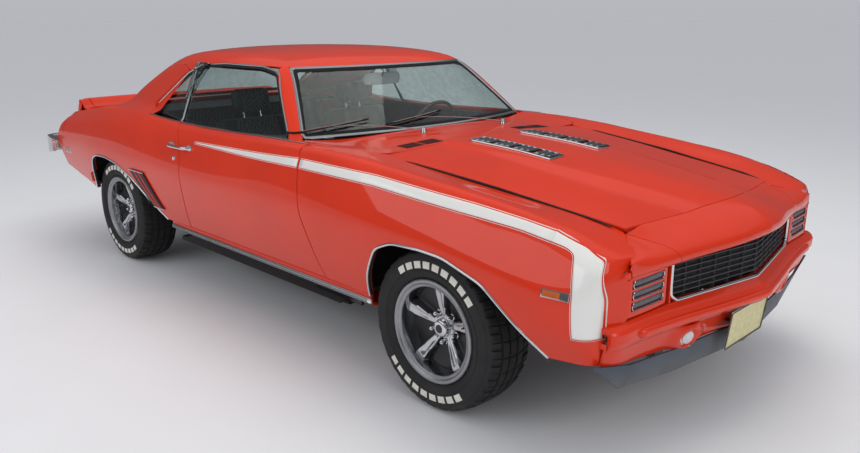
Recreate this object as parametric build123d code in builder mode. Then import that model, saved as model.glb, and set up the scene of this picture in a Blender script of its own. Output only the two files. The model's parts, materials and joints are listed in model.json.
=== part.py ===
from build123d import *
from collections import namedtuple
from math import cos, hypot, radians, sin
import os


# Muscle car, two-door hardtop coupe, left-hand drive, standing on its four wheels.
# Frame: X forward, Y to the car's left, Z up, origin on the ground below the middle of the
# overall length. Millimetres and degrees.

# ---- overall sizes ----
wheelbase = 2743.0
front_overhang = 905.0
rear_overhang = 1035.0
overall_width = 1880.0
roof_height = 1322.0
overall_length = front_overhang + wheelbase + rear_overhang
front_axle_x = overall_length / 2 - front_overhang
rear_axle_x = front_axle_x - wheelbase
half_width = overall_width / 2

# ---- gaps and walls ----
shut_gap = 7.0
seat_gap = 0.3
skin = 12.0
glass_thickness = 6.0
plate = 15.0

# ---- wheels and tyres ----
tyre_radius = 321.0
tyre_width = 225.0
tread_half = 90.0
front_wheel_y = 765.0
rear_wheel_y = 757.0
hub_height = tyre_radius
rim_bead_radius = 190.5
rim_lip_radius = 206.0
hub_radius = 62.0
cap_radius = 36.0
spoke_count = 5
lug_count = 5
lug_circle_radius = 60.3
disc_radius = 140.0

# ---- steering ----
kingpin_y = 700.0
kingpin_radius = 9.0
pin_clearance = 0.4

# ---- heights along the side ----
sill_height = 380.0
rocker_bottom = 225.0
rocker_inner_y = 745.0
floor_height = 225.0


def front(dx):
    """A place along the car measured from the front axle."""
    return front_axle_x + dx


def rear(dx):
    """A place along the car measured from the rear axle."""
    return rear_axle_x + dx


# The seam between hood and fender runs straight, seen from above.
hood_corner_dx = 617.0
hood_corner_y = 566.0
hood_rear_dx = -470.0
hood_rear_seam_y = 663.0


def hood_seam_y(dx):
    """Where the hood seam lies across the car."""
    share = (hood_corner_dx - dx) / (hood_corner_dx - hood_rear_dx)
    return hood_corner_y + (hood_rear_seam_y - hood_corner_y) * share


def hood_seam_in(dx):
    """Distance of the hood seam inboard of the widest line."""
    return half_width - hood_seam_y(dx)


# Body side sections. "in" columns are distances inboard of the widest line of the car.
SideRow = namedtuple(
    "SideRow",
    "x sill_in sill_z low_in low_z crease_in crease_z shoulder_in shoulder_z "
    "peak_in peak_z seam_in seam_z",
)
SIDE_ROWS = [
    SideRow(rear(-880), 105, 455, 80, 540, 48, 664, 75, 775, 150, 840, 225, 848),
    SideRow(rear(-457), 85, 400, 55, 520, 22, 680, 55, 822, 135, 898, 225, 912),
    SideRow(rear(-283), 52, 395, 38, 500, 14, 686, 48, 840, 130, 922, 225, 937),
    SideRow(rear(0), 62, sill_height, 32, 480, 4, 690, 40, 855, 125, 945, 262, 957),
    SideRow(rear(408), 66, sill_height, 36, 480, 3, 688, 45, 870, 118, 972, 160, 980),
    SideRow(rear(817), 70, sill_height, 37, 480, 3, 683, 45, 845, 80, 915, 140, 922),
    SideRow(front(-1350), 70, sill_height, 37, 480, 0, 681, 40, 850, 75, 922, 130, 930),
    SideRow(front(-800), 70, sill_height, 37, 480, 2, 680, 35, 870, 70, 945, 120, 950),
    SideRow(front(-700), 70, sill_height, 37, 480, 3, 680, 40, 865, 75, 943, hood_seam_in(-700), 945),
    SideRow(front(-300), 72, sill_height, 38, 480, 4, 680, 55, 850, 105, 918, hood_seam_in(-300), 898),
    SideRow(front(100), 74, sill_height, 38, 480, 6, 676, 65, 815, 118, 880, hood_seam_in(100), 850),
    SideRow(front(500), 80, 395, 32, 490, 22, 610, 85, 750, 135, 825, hood_seam_in(500), 802),
    SideRow(front(640), 88, 405, 42, 495, 32, 600, 85, 725, 135, 792, hood_seam_in(640), 778),
    SideRow(front(808), 95, 480, 60, 525, 60, 600, 80, 690, 115, 736, 212, 730),
]


def side_block(inset, inner_y=None, drop=0.0, ends=0.0):
    """Solid of the left body side, set in from the outer skin by a wall."""
    last = len(SIDE_ROWS) - 1
    with BuildPart() as block:
        for number, row in enumerate(SIDE_ROWS):
            reach = -ends if number == 0 else ends if number == last else 0.0
            edge_y = half_width - row.seam_in - (30.0 if drop else 0.0)
            close_y = edge_y if inner_y is None else inner_y
            outline = [
                (close_y, row.sill_z - drop),
                (half_width - row.sill_in - inset, row.sill_z - drop),
                (half_width - row.low_in - inset, row.low_z),
                (half_width - row.crease_in - inset, row.crease_z),
                (half_width - row.shoulder_in - inset, row.shoulder_z - inset * 0.3),
                (half_width - row.peak_in - inset * 0.7, row.peak_z - inset),
                (close_y, row.seam_z - inset),
            ]
            with BuildSketch(Plane.YZ.offset(row.x + reach)):
                with BuildLine():
                    Polyline(*outline, close=True)
                make_face()
        loft(ruled=True)
    return block.part


def prism_y(outline, y_from, y_to):
    """Straight block along Y through an outline of (x, z) points."""
    with BuildPart() as block:
        with BuildSketch(Plane.XZ.offset(-y_from)):
            with BuildLine():
                Polyline(*outline, close=True)
            make_face()
        extrude(amount=y_from - y_to)
    return block.part


def prism_x(outline, x_from, x_to):
    """Straight block along X through an outline of (y, z) points."""
    with BuildPart() as block:
        with BuildSketch(Plane.YZ.offset(x_from)):
            with BuildLine():
                Polyline(*outline, close=True)
            make_face()
        extrude(amount=x_to - x_from)
    return block.part


def prism_z(outline, z_from, z_to):
    """Straight block along Z through an outline of (x, y) points."""
    with BuildPart() as block:
        with BuildSketch(Plane.XY.offset(z_from)):
            with BuildLine():
                Polyline(*outline, close=True)
            make_face()
        extrude(amount=z_to - z_from)
    return block.part


def box_between(low, high):
    """Plain box from its low corner to its high corner."""
    size = [b - a for a, b in zip(low, high)]
    with BuildPart() as block:
        with Locations(tuple((a + b) / 2 for a, b in zip(low, high))):
            Box(*size)
    return block.part


def loft_y(profiles):
    """Ruled solid through (y, outline) pairs, each outline of (x, z) points."""
    with BuildPart() as block:
        for y, outline in profiles:
            with BuildSketch(Plane.XZ.offset(-y)):
                with BuildLine():
                    Polyline(*outline, close=True)
                make_face()
        loft(ruled=True)
    return block.part


def mirrored(points):
    """An outline of (along, y) points from the centreline out, closed on the other side."""
    return points + [(a, -b) for a, b in reversed(points) if b > 0]


def combined(*parts):
    """One part of several solids."""
    with BuildPart() as block:
        for each in parts:
            add(each)
    return block.part


def cut_from(base, *tools):
    """The base with each tool taken away."""
    with BuildPart() as block:
        add(base)
        for tool in tools:
            add(tool, mode=Mode.SUBTRACT)
    return block.part


def common(base, *tools):
    """What the base shares with every tool."""
    with BuildPart() as block:
        add(base)
        for tool in tools:
            add(tool, mode=Mode.INTERSECT)
    return block.part


def other_side(piece):
    """The piece mirrored to the car's right."""
    with BuildPart() as block:
        mirror(piece, about=Plane.XZ)
    return block.part


os.makedirs("parts", exist_ok=True)
written = []


def keep(piece, name):
    """Labels one finished sub-part and writes its STEP file."""
    piece.label = name
    export_step(piece, f"parts/{name}.step")
    written.append(name)


# ---- seams and openings in the side, as (x, z) points ----
above = roof_height + 50
# door seams from sill to belt, at the middle of the gap
front_seam = [
    (front(-630), sill_height - 80),
    (front(-638), sill_height),
    (front(-690), 550),
    (front(-735), 680),
    (front(-772), 850),
    (front(-790), 949),
    (front(-795), above),
]
rear_seam = [
    (rear(910), sill_height - 80),
    (rear(910), sill_height),
    (rear(945), 550),
    (rear(955), 680),
    (rear(930), 800),
    (rear(817), 918),
    (rear(800), 940),
    (rear(800), above),
]
half_gap = shut_gap / 2


def shifted(line, dx):
    """A seam line moved along the car."""
    return [(x + dx, z) for x, z in line]


door_outline = shifted(front_seam, -half_gap) + shifted(rear_seam, half_gap)[::-1]
door_inner_outline = shifted(front_seam, -25) + shifted(rear_seam, 25)[::-1]
fender_outline = shifted(front_seam, half_gap) + [
    (front(300), above),
    (front(760), 790),
    (front(806), 738),
    (front(808), 573),
    (front(794), 524),
    (front(738), 520),
    (front(734), 408),
    (front(520), 300),
]
quarter_outline = shifted(rear_seam, -half_gap) + [
    (rear(-700), above),
    (rear(-790), 862),
    (rear(-862), 720),
    (rear(-845), 500),
    (rear(-600), 455),
    (rear(-290), 405),
    (rear(-270), 300),
]
front_arch = [
    (front(-352), 0),
    (front(-352), 340),
    (front(-318), 500),
    (front(-245), 615),
    (front(-145), 654),
    (front(110), 655),
    (front(300), 607),
    (front(535), 381),
    (front(600), 300),
    (front(600), 0),
]
rear_arch = [
    (rear(-290), 0),
    (rear(-288), 412),
    (rear(-238), 622),
    (rear(-138), 655),
    (rear(140), 638),
    (rear(305), 580),
    (rear(655), 368),
    (rear(700), 0),
]
outboard = half_width + 60
front_arch_cut = prism_y(front_arch, 500, outboard)
rear_arch_cut = prism_y(rear_arch, 500, outboard)

outer_block = side_block(0)
inner_block = side_block(skin, drop=60, ends=30)
side_skin = cut_from(outer_block, inner_block)

# ---- roof, pillars and windows ----
# Horizontal rings of the upper body, from the centre of the windshield round to the centre of
# the rear window: x at the middle, corner x and y, widest y, rear corner x and y, rear middle x.
RoofRing = namedtuple("RoofRing", "z front_x corner_x corner_y side_x side_y rear_x rear_y back_x")
ROOF_RINGS = [
    RoofRing(930, front(-795), front(-925), 800, front(-1950), 815, rear(-270), 660, rear(-262)),
    RoofRing(1238, front(-1165), front(-1262), 632, front(-1950), 668, rear(275), 575, rear(220)),
    RoofRing(1288, front(-1290), front(-1390), 560, front(-1900), 600, rear(420), 530, rear(385)),
    RoofRing(roof_height, front(-1540), front(-1600), 250, front(-1750), 270, rear(745), 250,
             rear(700)),
]


def roof_block(inset, dip=0.0):
    """Solid of the upper body, set in from its outer surface by a wall."""
    last = len(ROOF_RINGS) - 1
    with BuildPart() as block:
        for number, ring in enumerate(ROOF_RINGS):
            height = ring.z - dip if number == 0 else ring.z - inset
            half = [
                (ring.front_x - inset, 0.0),
                (ring.corner_x - inset, ring.corner_y - inset),
                (ring.side_x, ring.side_y - inset),
                (ring.rear_x + inset, ring.rear_y - inset),
                (ring.back_x + inset, 0.0),
            ]
            with BuildSketch(Plane.XY.offset(height)):
                with BuildLine():
                    Polyline(*mirrored(half), close=True)
                make_face()
        loft(ruled=True)
    return block.part


pillar_wall = 32.0
glass_set_back = 8.0
roof_outer = roof_block(0)
roof_inner = roof_block(pillar_wall, dip=40)
roof_shell = cut_from(roof_outer, roof_inner)
glass_layer = cut_from(roof_block(glass_set_back), roof_block(glass_set_back + glass_thickness, dip=40))

windshield_low = 962.0
windshield_high = 1228.0
window_top = 1218.0


def windshield_outline(grow):
    """The windshield opening as (y, z) points."""
    half = [
        (738.0 + grow, windshield_low - grow),
        (578.0 + grow, windshield_high + grow),
    ]
    return [(-y, z) for y, z in half] + [(y, z) for y, z in reversed(half)]


def rear_window_outline(grow):
    """The rear window opening as (y, z) points."""
    half = [(585.0 + grow, 975.0 - grow), (515.0 + grow, 1226.0 + grow)]
    return [(-y, z) for y, z in half] + [(y, z) for y, z in reversed(half)]


side_window = [
    (front(-870), 930),
    (front(-918), 962),
    (front(-1262), window_top - 6),
    (front(-1300), window_top),
    (rear(715), window_top - 18),
    (rear(640), window_top - 50),
    (rear(408), 998),
    (rear(395), 985),
    (rear(395), 930),
]
# outboard of the pillar beside the windshield
pillar_side = [(772, 880), (770, windshield_low), (612, windshield_high), (612, above),
               (outboard, above), (outboard, 880)]
pillar_zone = prism_x(pillar_side, rear(300), front(-600))
windshield_cut = prism_x(windshield_outline(0), front(-1500), front(-600))
rear_window_cut = prism_x(rear_window_outline(0), rear(-400), rear(560))
side_window_cut = common(prism_y(side_window, 400, outboard), pillar_zone)

# The roof panel keeps the pillars beside the windshield. The sail behind the side window belongs
# to the quarter panel.
sail_seam_z = 1200.0
sail_zone = prism_y(
    [
        (rear(790), 900),
        (rear(790), sail_seam_z),
        (rear(-100), sail_seam_z),
        (rear(-330), 1000),
        (rear(-330), 900),
    ],
    300,
    outboard,
)
rear_roof_zone = box_between((rear(-400), -outboard, 900), (rear(790), outboard, sail_seam_z))

with BuildPart() as roof_panel:
    add(roof_shell)
    add(windshield_cut, mode=Mode.SUBTRACT)
    add(rear_window_cut, mode=Mode.SUBTRACT)
    add(side_window_cut, mode=Mode.SUBTRACT)
    add(other_side(side_window_cut), mode=Mode.SUBTRACT)
    add(rear_roof_zone, mode=Mode.SUBTRACT)
    add(outer_block, mode=Mode.SUBTRACT)
    add(other_side(outer_block), mode=Mode.SUBTRACT)
keep(roof_panel.part, "roof_panel")

# ---- body side panels ----
with BuildPart() as quarter_panel_left:
    add(side_skin)
    add(prism_y(quarter_outline, 300, outboard), mode=Mode.INTERSECT)
    add(rear_arch_cut, mode=Mode.SUBTRACT)
sail_left = cut_from(common(roof_shell, sail_zone), side_window_cut, rear_window_cut, outer_block)
spoiler_cap_profile = [
    (rear(-655), 870),
    (rear(-722), 950),
    (rear(-742), 952),
    (rear(-785), 884),
    (rear(-785), 850),
    (rear(-655), 850),
]
spoiler_cap = prism_y(spoiler_cap_profile, half_width - 225.0, half_width - 150.0)
with BuildPart() as quarter_with_sail:
    add(quarter_panel_left.part)
    add(sail_left)
    add(spoiler_cap)
keep(quarter_with_sail.part, "quarter_panel_left")
keep(other_side(quarter_with_sail.part), "quarter_panel_right")

fender_cap = common(outer_block, prism_y(
    [(front(794), 573), (front(794), 740), (front(820), 740), (front(820), 573)], 300, outboard))
with BuildPart() as front_fender_left:
    add(side_skin)
    add(prism_y(fender_outline, 300, outboard), mode=Mode.INTERSECT)
    add(front_arch_cut, mode=Mode.SUBTRACT)
    add(fender_cap)
keep(front_fender_left.part, "front_fender_left")
keep(other_side(front_fender_left.part), "front_fender_right")

# ---- rockers under the doors ----
rocker_front_x = front(-356)
rocker_rear_x = rear(690)
moulding_low = 345.0
moulding_high = 375.0
rocker_profile = [
    (rocker_inner_y, rocker_bottom + 5),
    (rocker_inner_y, moulding_high),
    (866.0, moulding_high),
    (874.0, moulding_high - 4),
    (874.0, moulding_low + 2),
    (862.0, moulding_low - 6),
    (850.0, rocker_bottom + 20),
    (835.0, rocker_bottom),
    (rocker_inner_y + 10, rocker_bottom),
]
rocker_left = prism_x(rocker_profile, rocker_rear_x, rocker_front_x)
keep(combined(rocker_left, other_side(rocker_left)), "rockers")

# ---- doors ----
door_inner_y = 775.0
hinge_x = front(-600)
hinge_y = 895.0
hinge_pin_radius = 5.0
hinge_eye_radius = 10.0
hinge_strap_height = 30.0
hinge_heights = (590.0, 745.0)
strap_depth = 143.0
strap_width = 16.0
door_skin = 16.0
door_body = side_block(0, inner_y=door_inner_y)
door_core = side_block(door_skin - 5, inner_y=door_inner_y)
door_thin = cut_from(door_body, side_block(door_skin, inner_y=door_inner_y - 20, drop=60, ends=30))
door_shell = common(door_thin, prism_y(door_outline, 300, outboard))
door_box = common(door_core, prism_y(door_inner_outline, 300, outboard))


def ring_plan(x, y, outer, inner):
    """Outer and inner circles of a hinge eye, as a sketch face."""
    with BuildSketch() as eye:
        with Locations((x, y)):
            Circle(outer)
            Circle(inner, mode=Mode.SUBTRACT)
    return eye.sketch


def door_strap(height):
    """Goose-neck strap from the hinge pin in and back to the door's inner box."""
    low = height - hinge_strap_height / 2
    door_end_x = front(-775)
    with BuildPart() as strap:
        with BuildSketch(Plane.XY.offset(low)):
            with Locations((hinge_x, hinge_y)):
                Circle(hinge_eye_radius)
            with BuildLine():
                Polyline(
                    (hinge_x - strap_width / 2, hinge_y),
                    (hinge_x - strap_width / 2, hinge_y - strap_depth + strap_width),
                    (door_end_x, hinge_y - strap_depth + strap_width),
                    (door_end_x, hinge_y - strap_depth),
                    (hinge_x + strap_width / 2, hinge_y - strap_depth),
                    (hinge_x + strap_width / 2, hinge_y),
                    close=True,
                )
            make_face()
            with Locations((hinge_x, hinge_y)):
                Circle(hinge_pin_radius + pin_clearance, mode=Mode.SUBTRACT)
        extrude(amount=hinge_strap_height)
    return strap.part


def strap_foot(height):
    """Block that ties a strap's end to the door's inner box."""
    low = height - hinge_strap_height / 2
    return box_between(
        (front(-860), hinge_y - strap_depth, low),
        (front(-760), door_inner_y + 8, low + hinge_strap_height),
    )


with BuildPart() as door_left:
    add(door_shell)
    add(door_box)
    for height in hinge_heights:
        add(door_strap(height))
        add(strap_foot(height))
keep(door_left.part, "door_left")
keep(other_side(door_left.part), "door_right")

door_glass_outline = [
    (front(-884), 900),
    (front(-937), 962),
    (front(-1276), window_top - 14),
    (front(-1300), window_top - shut_gap),
    (rear(745), window_top - 18 - shut_gap),
    (rear(792), 960),
    (rear(822), 900),
]
door_glass_left = cut_from(
    common(glass_layer, prism_y(door_glass_outline, 300, outboard), pillar_zone),
    door_left.part)
keep(door_glass_left, "door_glass_left")
keep(other_side(door_glass_left), "door_glass_right")

# ---- fixed glass ----
windshield = common(glass_layer, prism_x(windshield_outline(-seat_gap), front(-1500), front(-600)))
keep(windshield, "windshield")
rear_window = common(glass_layer, prism_x(rear_window_outline(-seat_gap), rear(-400), rear(560)))
keep(rear_window, "rear_window")
quarter_glass_outline = [
    (rear(782), 960),
    (rear(735), window_top - 18 - seat_gap),
    (rear(715), window_top - 18 - seat_gap),
    (rear(640), window_top - 50 - seat_gap),
    (rear(409), 998),
    (rear(396), 985),
    (rear(396), 930),
    (rear(790), 930),
]
quarter_glass_left = cut_from(
    common(glass_layer, prism_y(quarter_glass_outline, 300, outboard)), quarter_with_sail.part)
keep(combined(quarter_glass_left, other_side(quarter_glass_left)), "quarter_glass")

# ---- hood, header, cowl: plan outlines as (x, y) points and lengthwise sections ----
hood_rear_x = front(hood_rear_dx)
hood_corner_x = front(hood_corner_dx)
hood_nose_x = front(716)
HoodRow = namedtuple("HoodRow", "x edge_y edge_z foot_y foot_z bulge_y bulge_z mid_z")
HOOD_ROWS = [
    HoodRow(front(-520), 700, 917, 300, 932, 262, 942, 945),
    HoodRow(front(-100), 655, 878, 285, 903, 240, 921, 928),
    HoodRow(front(350), 610, 820, 255, 850, 205, 868, 880),
    HoodRow(front(760), 560, 772, 215, 790, 150, 800, 814),
]


def hood_slab(top_drop, depth):
    """Ruled slab that follows the hood's top."""
    with BuildPart() as slab:
        for row in HOOD_ROWS:
            half = [
                (row.edge_y, row.edge_z - top_drop),
                (row.foot_y, row.foot_z - top_drop),
                (row.bulge_y, row.bulge_z - top_drop),
                (0.0, row.mid_z - top_drop),
            ]
            top = [(-y, z) for y, z in half] + [(y, z) for y, z in reversed(half) if y > 0]
            low = [(y, z - depth) for y, z in reversed(top)]
            with BuildSketch(Plane.YZ.offset(row.x)):
                with BuildLine():
                    Polyline(*(top + low), close=True)
                make_face()
        loft(ruled=True)
    return slab.part


def hood_plan(inset):
    """The hood's outline from above, set in all round."""
    half = [
        (hood_rear_x + inset, 0.0),
        (hood_rear_x + inset, hood_rear_seam_y - shut_gap - inset),
        (hood_corner_x - inset * 0.9, hood_corner_y - shut_gap - inset),
        (hood_nose_x - inset, 0.0),
    ]
    return mirrored(half)


# two rows of four louvre blocks on the bulge
ornament_rows_y = 176.0
ornament_width = 98.0
ornament_length = 445.0
ornament_count = 4
ornament_rise = 12.0
ornament_rear_x = front(-399)
ornament_pitch = ornament_length / ornament_count
with BuildPart() as hood:
    add(common(hood_slab(0, 14), prism_z(hood_plan(0), 600, 1100)))
    add(common(hood_slab(10, 26), prism_z(hood_plan(30), 600, 1100)))
hood_louvres = []
for side in (-1, 1):
    for number in range(ornament_count):
        low_x = ornament_rear_x + number * ornament_pitch + 5
        mid_y = side * ornament_rows_y
        louvre = common(
            hood_slab(-ornament_rise, 30),
            box_between((low_x, mid_y - ornament_width / 2, 700),
                        (low_x + ornament_pitch - 10, mid_y + ornament_width / 2, 1100)),
        )
        hood_louvres.append(louvre)
hood_hinge_x = front(-360)
hood_hinge_z = 846.0
hood_hinge_y = 590.0
lid_pin_radius = 6.0
lid_eye_radius = 15.0
lid_lug_width = 12.0


def lug_y(x, z, y_mid, top_z, bottom_x, width):
    """Lug with an eye for a cross pin, reaching up to the lid above it."""
    with BuildPart() as lug:
        with BuildSketch(Plane.XZ.offset(-(y_mid - width / 2))):
            with Locations((x, z)):
                Circle(lid_eye_radius)
            with BuildLine():
                Polyline((x - lid_eye_radius, z), (x - lid_eye_radius, top_z),
                         (bottom_x, top_z), (x + lid_eye_radius, z), close=True)
            make_face()
            with Locations((x, z)):
                Circle(lid_pin_radius + pin_clearance, mode=Mode.SUBTRACT)
        extrude(amount=-width)
    return lug.part


hood_lugs = [lug_y(hood_hinge_x, hood_hinge_z, side * hood_hinge_y, 892, hood_hinge_x + 40,
                   lid_lug_width) for side in (-1, 1)]
hood_whole = combined(hood.part, *hood_louvres, *hood_lugs)
keep(hood_whole, "hood")

header_plan = mirrored([
    (hood_nose_x + shut_gap, 0.0),
    (hood_corner_x + shut_gap, hood_corner_y - shut_gap),
    (hood_corner_x + shut_gap, hood_corner_y),
    (front(747), 727.0),
    (front(790), 727.0),
    (front(800), 470.0),
    (front(890), 0.0),
])
header_slab_half = [
    (0.0, [(front(690), 822), (front(790), 800), (front(876), 740), (front(876), 715),
           (front(846), 700), (front(690), 790)]),
    (470.0, [(front(600), 812), (front(720), 762), (front(778), 706), (front(778), 690),
             (front(752), 680), (front(600), 780)]),
    (740.0, [(front(590), 785), (front(690), 745), (front(750), 712), (front(750), 698),
             (front(725), 690), (front(590), 750)]),
]
header_slab = loft_y([(-y, o) for y, o in reversed(header_slab_half[1:])] + header_slab_half)
header_panel = common(header_slab, prism_z(header_plan, 500, 1000))
header_panel = cut_from(header_panel, front_fender_left.part, other_side(front_fender_left.part))
keep(header_panel, "header_panel")

cowl_thickness = 14.0
cowl_gap = 20.0
with BuildPart() as cowl_top:
    for x, side_z, mid_z in ((front(-940), 926, 944), (front(-470), 915, 936)):
        with BuildSketch(Plane.YZ.offset(x)):
            with BuildLine():
                Polyline((-690, side_z), (-350, mid_z), (350, mid_z), (690, side_z),
                         (690, side_z - cowl_thickness), (350, mid_z - cowl_thickness),
                         (-350, mid_z - cowl_thickness), (-690, side_z - cowl_thickness), close=True)
            make_face()
    loft(ruled=True)
cowl_plan = mirrored([
    (front(-800), 0.0),
    (front(-925), 800.0),
    (front(-800), 800.0),
    (hood_rear_x - cowl_gap, 682.0),
    (hood_rear_x - cowl_gap, 0.0),
])
cowl_panel = cut_from(common(cowl_top.part, prism_z(cowl_plan, 600, 1100)),
                      front_fender_left.part, other_side(front_fender_left.part), roof_panel.part)
keep(cowl_panel, "cowl_panel")

# ---- deck, tail and rear bumper ----
deck_seam_y = half_width - 225.0
deck_front_x = rear(-290)
deck_rear_x = rear(-787)
DeckRow = namedtuple("DeckRow", "x edge_z mid_z")
DECK_ROWS = [DeckRow(rear(-200), 943, 957), DeckRow(rear(-457), 914, 930), DeckRow(rear(-830), 852, 866)]


def deck_slab(top_drop, depth):
    """Ruled slab that follows the deck's top."""
    with BuildPart() as slab:
        for row in DECK_ROWS:
            edge_z = row.edge_z - top_drop
            mid_z = row.mid_z - top_drop
            with BuildSketch(Plane.YZ.offset(row.x)):
                with BuildLine():
                    Polyline((-deck_seam_y, edge_z), (-300, mid_z), (300, mid_z), (deck_seam_y, edge_z),
                             (deck_seam_y, edge_z - depth), (300, mid_z - depth),
                             (-300, mid_z - depth), (-deck_seam_y, edge_z - depth), close=True)
                make_face()
        loft(ruled=True)
    return slab.part


deck_filler_plate = common(deck_slab(0, skin), box_between(
    (deck_front_x + shut_gap, -deck_seam_y, 800), (rear(-205), deck_seam_y, 1000)))
rear_sill = common(roof_shell, box_between((rear(-330), -300, 900), (rear(790), 300, sail_seam_z)))
deck_filler = cut_from(combined(deck_filler_plate, cut_from(rear_sill, rear_window_cut)),
                       quarter_with_sail.part, other_side(quarter_with_sail.part))
keep(deck_filler, "deck_filler")

spoiler_profile = [
    (rear(-640), 878),
    (rear(-722), 955),
    (rear(-742), 957),
    (deck_rear_x, 884),
    (deck_rear_x, 858),
    (rear(-640), 868),
]
lid_side_y = deck_seam_y - shut_gap
deck_hinge_x = rear(-365)
deck_hinge_z = 868.0
deck_hinge_y = 500.0
lid_plan = [(deck_front_x, -lid_side_y), (deck_front_x, lid_side_y),
            (deck_rear_x, lid_side_y), (deck_rear_x, -lid_side_y)]
lid_inner = [(deck_front_x - 30, -lid_side_y + 30), (deck_front_x - 30, lid_side_y - 30),
             (deck_rear_x + 30, lid_side_y - 30), (deck_rear_x + 30, -lid_side_y + 30)]
deck_lugs = [lug_y(deck_hinge_x, deck_hinge_z, side * deck_hinge_y, 906, deck_hinge_x + 15.5,
                   lid_lug_width) for side in (-1, 1)]
deck_lid = combined(
    common(deck_slab(0, 14), prism_z(lid_plan, 700, 1100)),
    common(deck_slab(10, 22), prism_z(lid_inner, 700, 1100)),
    prism_y(spoiler_profile, -lid_side_y, lid_side_y),
    *deck_lugs,
)
keep(deck_lid, "deck_lid")

interior_left = side_block(skin, inner_y=0)
tail_top_x = rear(-797)
tail_bend_x = rear(-862)
tail_low_x = rear(-845)
tail_profile = [
    (tail_top_x + 6, 840),
    (tail_bend_x, 720),
    (tail_low_x, 500),
    (rear(-825), 425),
    (rear(-813), 425),
    (tail_low_x + 12, 500),
    (tail_bend_x + 13, 720),
    (tail_top_x + 19, 840),
]
tail_half = cut_from(common(prism_y(tail_profile, 0, half_width), side_block(skin - 3, inner_y=0)),
                     quarter_with_sail.part)
rear_plate_width = 305.0
rear_plate_height = 152.0
rear_plate_low = 418.0
plate_hole_pitch = 178.0
plate_hole_radius = 3.5
plate_sheet = 3.0
rear_plate_x = rear(-872)
tail_pad = box_between((rear_plate_x, -60, 470), (tail_low_x + 6, 60, 540))
tail_panel = combined(tail_half, other_side(tail_half), tail_pad)
lamp_z_low = 735.0
lamp_z_high = 832.0
lamp_depth = 16.0
lamp_starts = (330.0, 482.0, 634.0)
lamp_width = 140.0
tail_slope = (tail_top_x + 6 - tail_bend_x) / (840.0 - 720.0)


def tail_face_x(z):
    """Where the outside of the tail panel is at a height."""
    return tail_bend_x + (z - 720.0) * tail_slope


lamp_profile = [
    (tail_face_x(lamp_z_high) - seat_gap, lamp_z_high),
    (tail_face_x(lamp_z_low) - seat_gap, lamp_z_low),
    (tail_face_x(lamp_z_low) - lamp_depth, lamp_z_low),
    (tail_face_x(lamp_z_high) - lamp_depth, lamp_z_high),
]
lamps_left = [prism_y(lamp_profile, y, y + lamp_width) for y in lamp_starts]
tail_lamps = combined(*lamps_left, *[other_side(each) for each in lamps_left])
keep(tail_panel, "tail_panel")
keep(tail_lamps, "tail_lamps")

bumper_low = 575.0
bumper_high = 697.0
bumper_back_x = rear(-1035)


def rear_bumper_profile(shift):
    """Section of the rear bumper bar, moved forward by a shift."""
    return [
        (rear(-965), bumper_low + 8),
        (rear(-1012) + shift, bumper_low),
        (bumper_back_x + shift, bumper_low + 40),
        (bumper_back_x + 4 + shift, bumper_high - 10),
        (rear(-1005) + shift, bumper_high),
        (rear(-965), bumper_high),
    ]


bumper_ys = ((0.0, 0.0), (600.0, 4.0), (850.0, 16.0), (885.0, 34.0))
bumper_bar = loft_y([(-y, rear_bumper_profile(s)) for y, s in reversed(bumper_ys[1:])]
                    + [(y, rear_bumper_profile(s)) for y, s in bumper_ys])
bumper_wing = prism_z([(rear(-1003), 872), (rear(-1003), 885), (rear(-985), 912), (rear(-840), 922),
                       (rear(-825), 918), (rear(-825), 908), (rear(-965), 890), (rear(-965), 872)],
                      bumper_low + 12, bumper_high - 6)
bumper_bracket = box_between((rear(-966), 380, 600), (tail_bend_x + 9, 440, 660))
rear_bumper = cut_from(combined(bumper_bar, bumper_wing, other_side(bumper_wing), bumper_bracket,
                                other_side(bumper_bracket)), tail_panel,
                       quarter_with_sail.part, other_side(quarter_with_sail.part))
keep(rear_bumper, "rear_bumper")

# ---- nose: support, grille, headlamp covers, bumper, valance and dam ----
support_back_x = front(695)
support_front_x = front(712)
with BuildPart() as radiator_support:
    add(prism_x([(-700, 425), (700, 425), (700, 690), (-700, 690)], support_back_x, support_front_x))
    add(box_between((support_back_x - 5, -400, 470), (support_front_x + 5, 400, 655)),
        mode=Mode.SUBTRACT)
keep(cut_from(radiator_support.part, header_panel, front_fender_left.part,
              other_side(front_fender_left.part)), "radiator_support")

grille_low = 546.0
grille_high = 676.0
grille_centre_x = front(842)
grille_corner_x = front(752)
grille_corner_y = 462.0
grille_depth = 22.0
grille_columns = 15
grille_rows = 6
grille_border = 12.0
grille_bar = 5.0
grille_half = hypot(grille_centre_x - grille_corner_x, grille_corner_y)
grille_height = grille_high - grille_low
hole_pitch_x = (grille_half - 2 * grille_border + grille_bar) / grille_columns
hole_pitch_z = (grille_height - 2 * grille_border + grille_bar) / grille_rows
along = Vector(grille_corner_x - grille_centre_x, grille_corner_y, 0).normalized()
facing = along.cross(Vector(0, 0, 1))
grille_middle = ((grille_centre_x + grille_corner_x) / 2, grille_corner_y / 2,
                 (grille_low + grille_high) / 2)
with BuildPart() as grille_half_part:
    with BuildSketch(Plane(origin=grille_middle, x_dir=along, z_dir=facing)):
        Rectangle(grille_half + 6, grille_height)
        with GridLocations(hole_pitch_x, hole_pitch_z, grille_columns, grille_rows):
            Rectangle(hole_pitch_x - grille_bar, hole_pitch_z - grille_bar, mode=Mode.SUBTRACT)
    extrude(amount=-grille_depth)
grille_side = common(grille_half_part.part, box_between((front(600), 0, 400), (front(900), 472, 800)))
grille_foot = box_between((support_front_x + seat_gap, 410, grille_low), (front(748), 440, grille_high))
grille = cut_from(combined(grille_side, other_side(grille_side), grille_foot,
                           other_side(grille_foot)), header_panel)
keep(grille, "grille")

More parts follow.
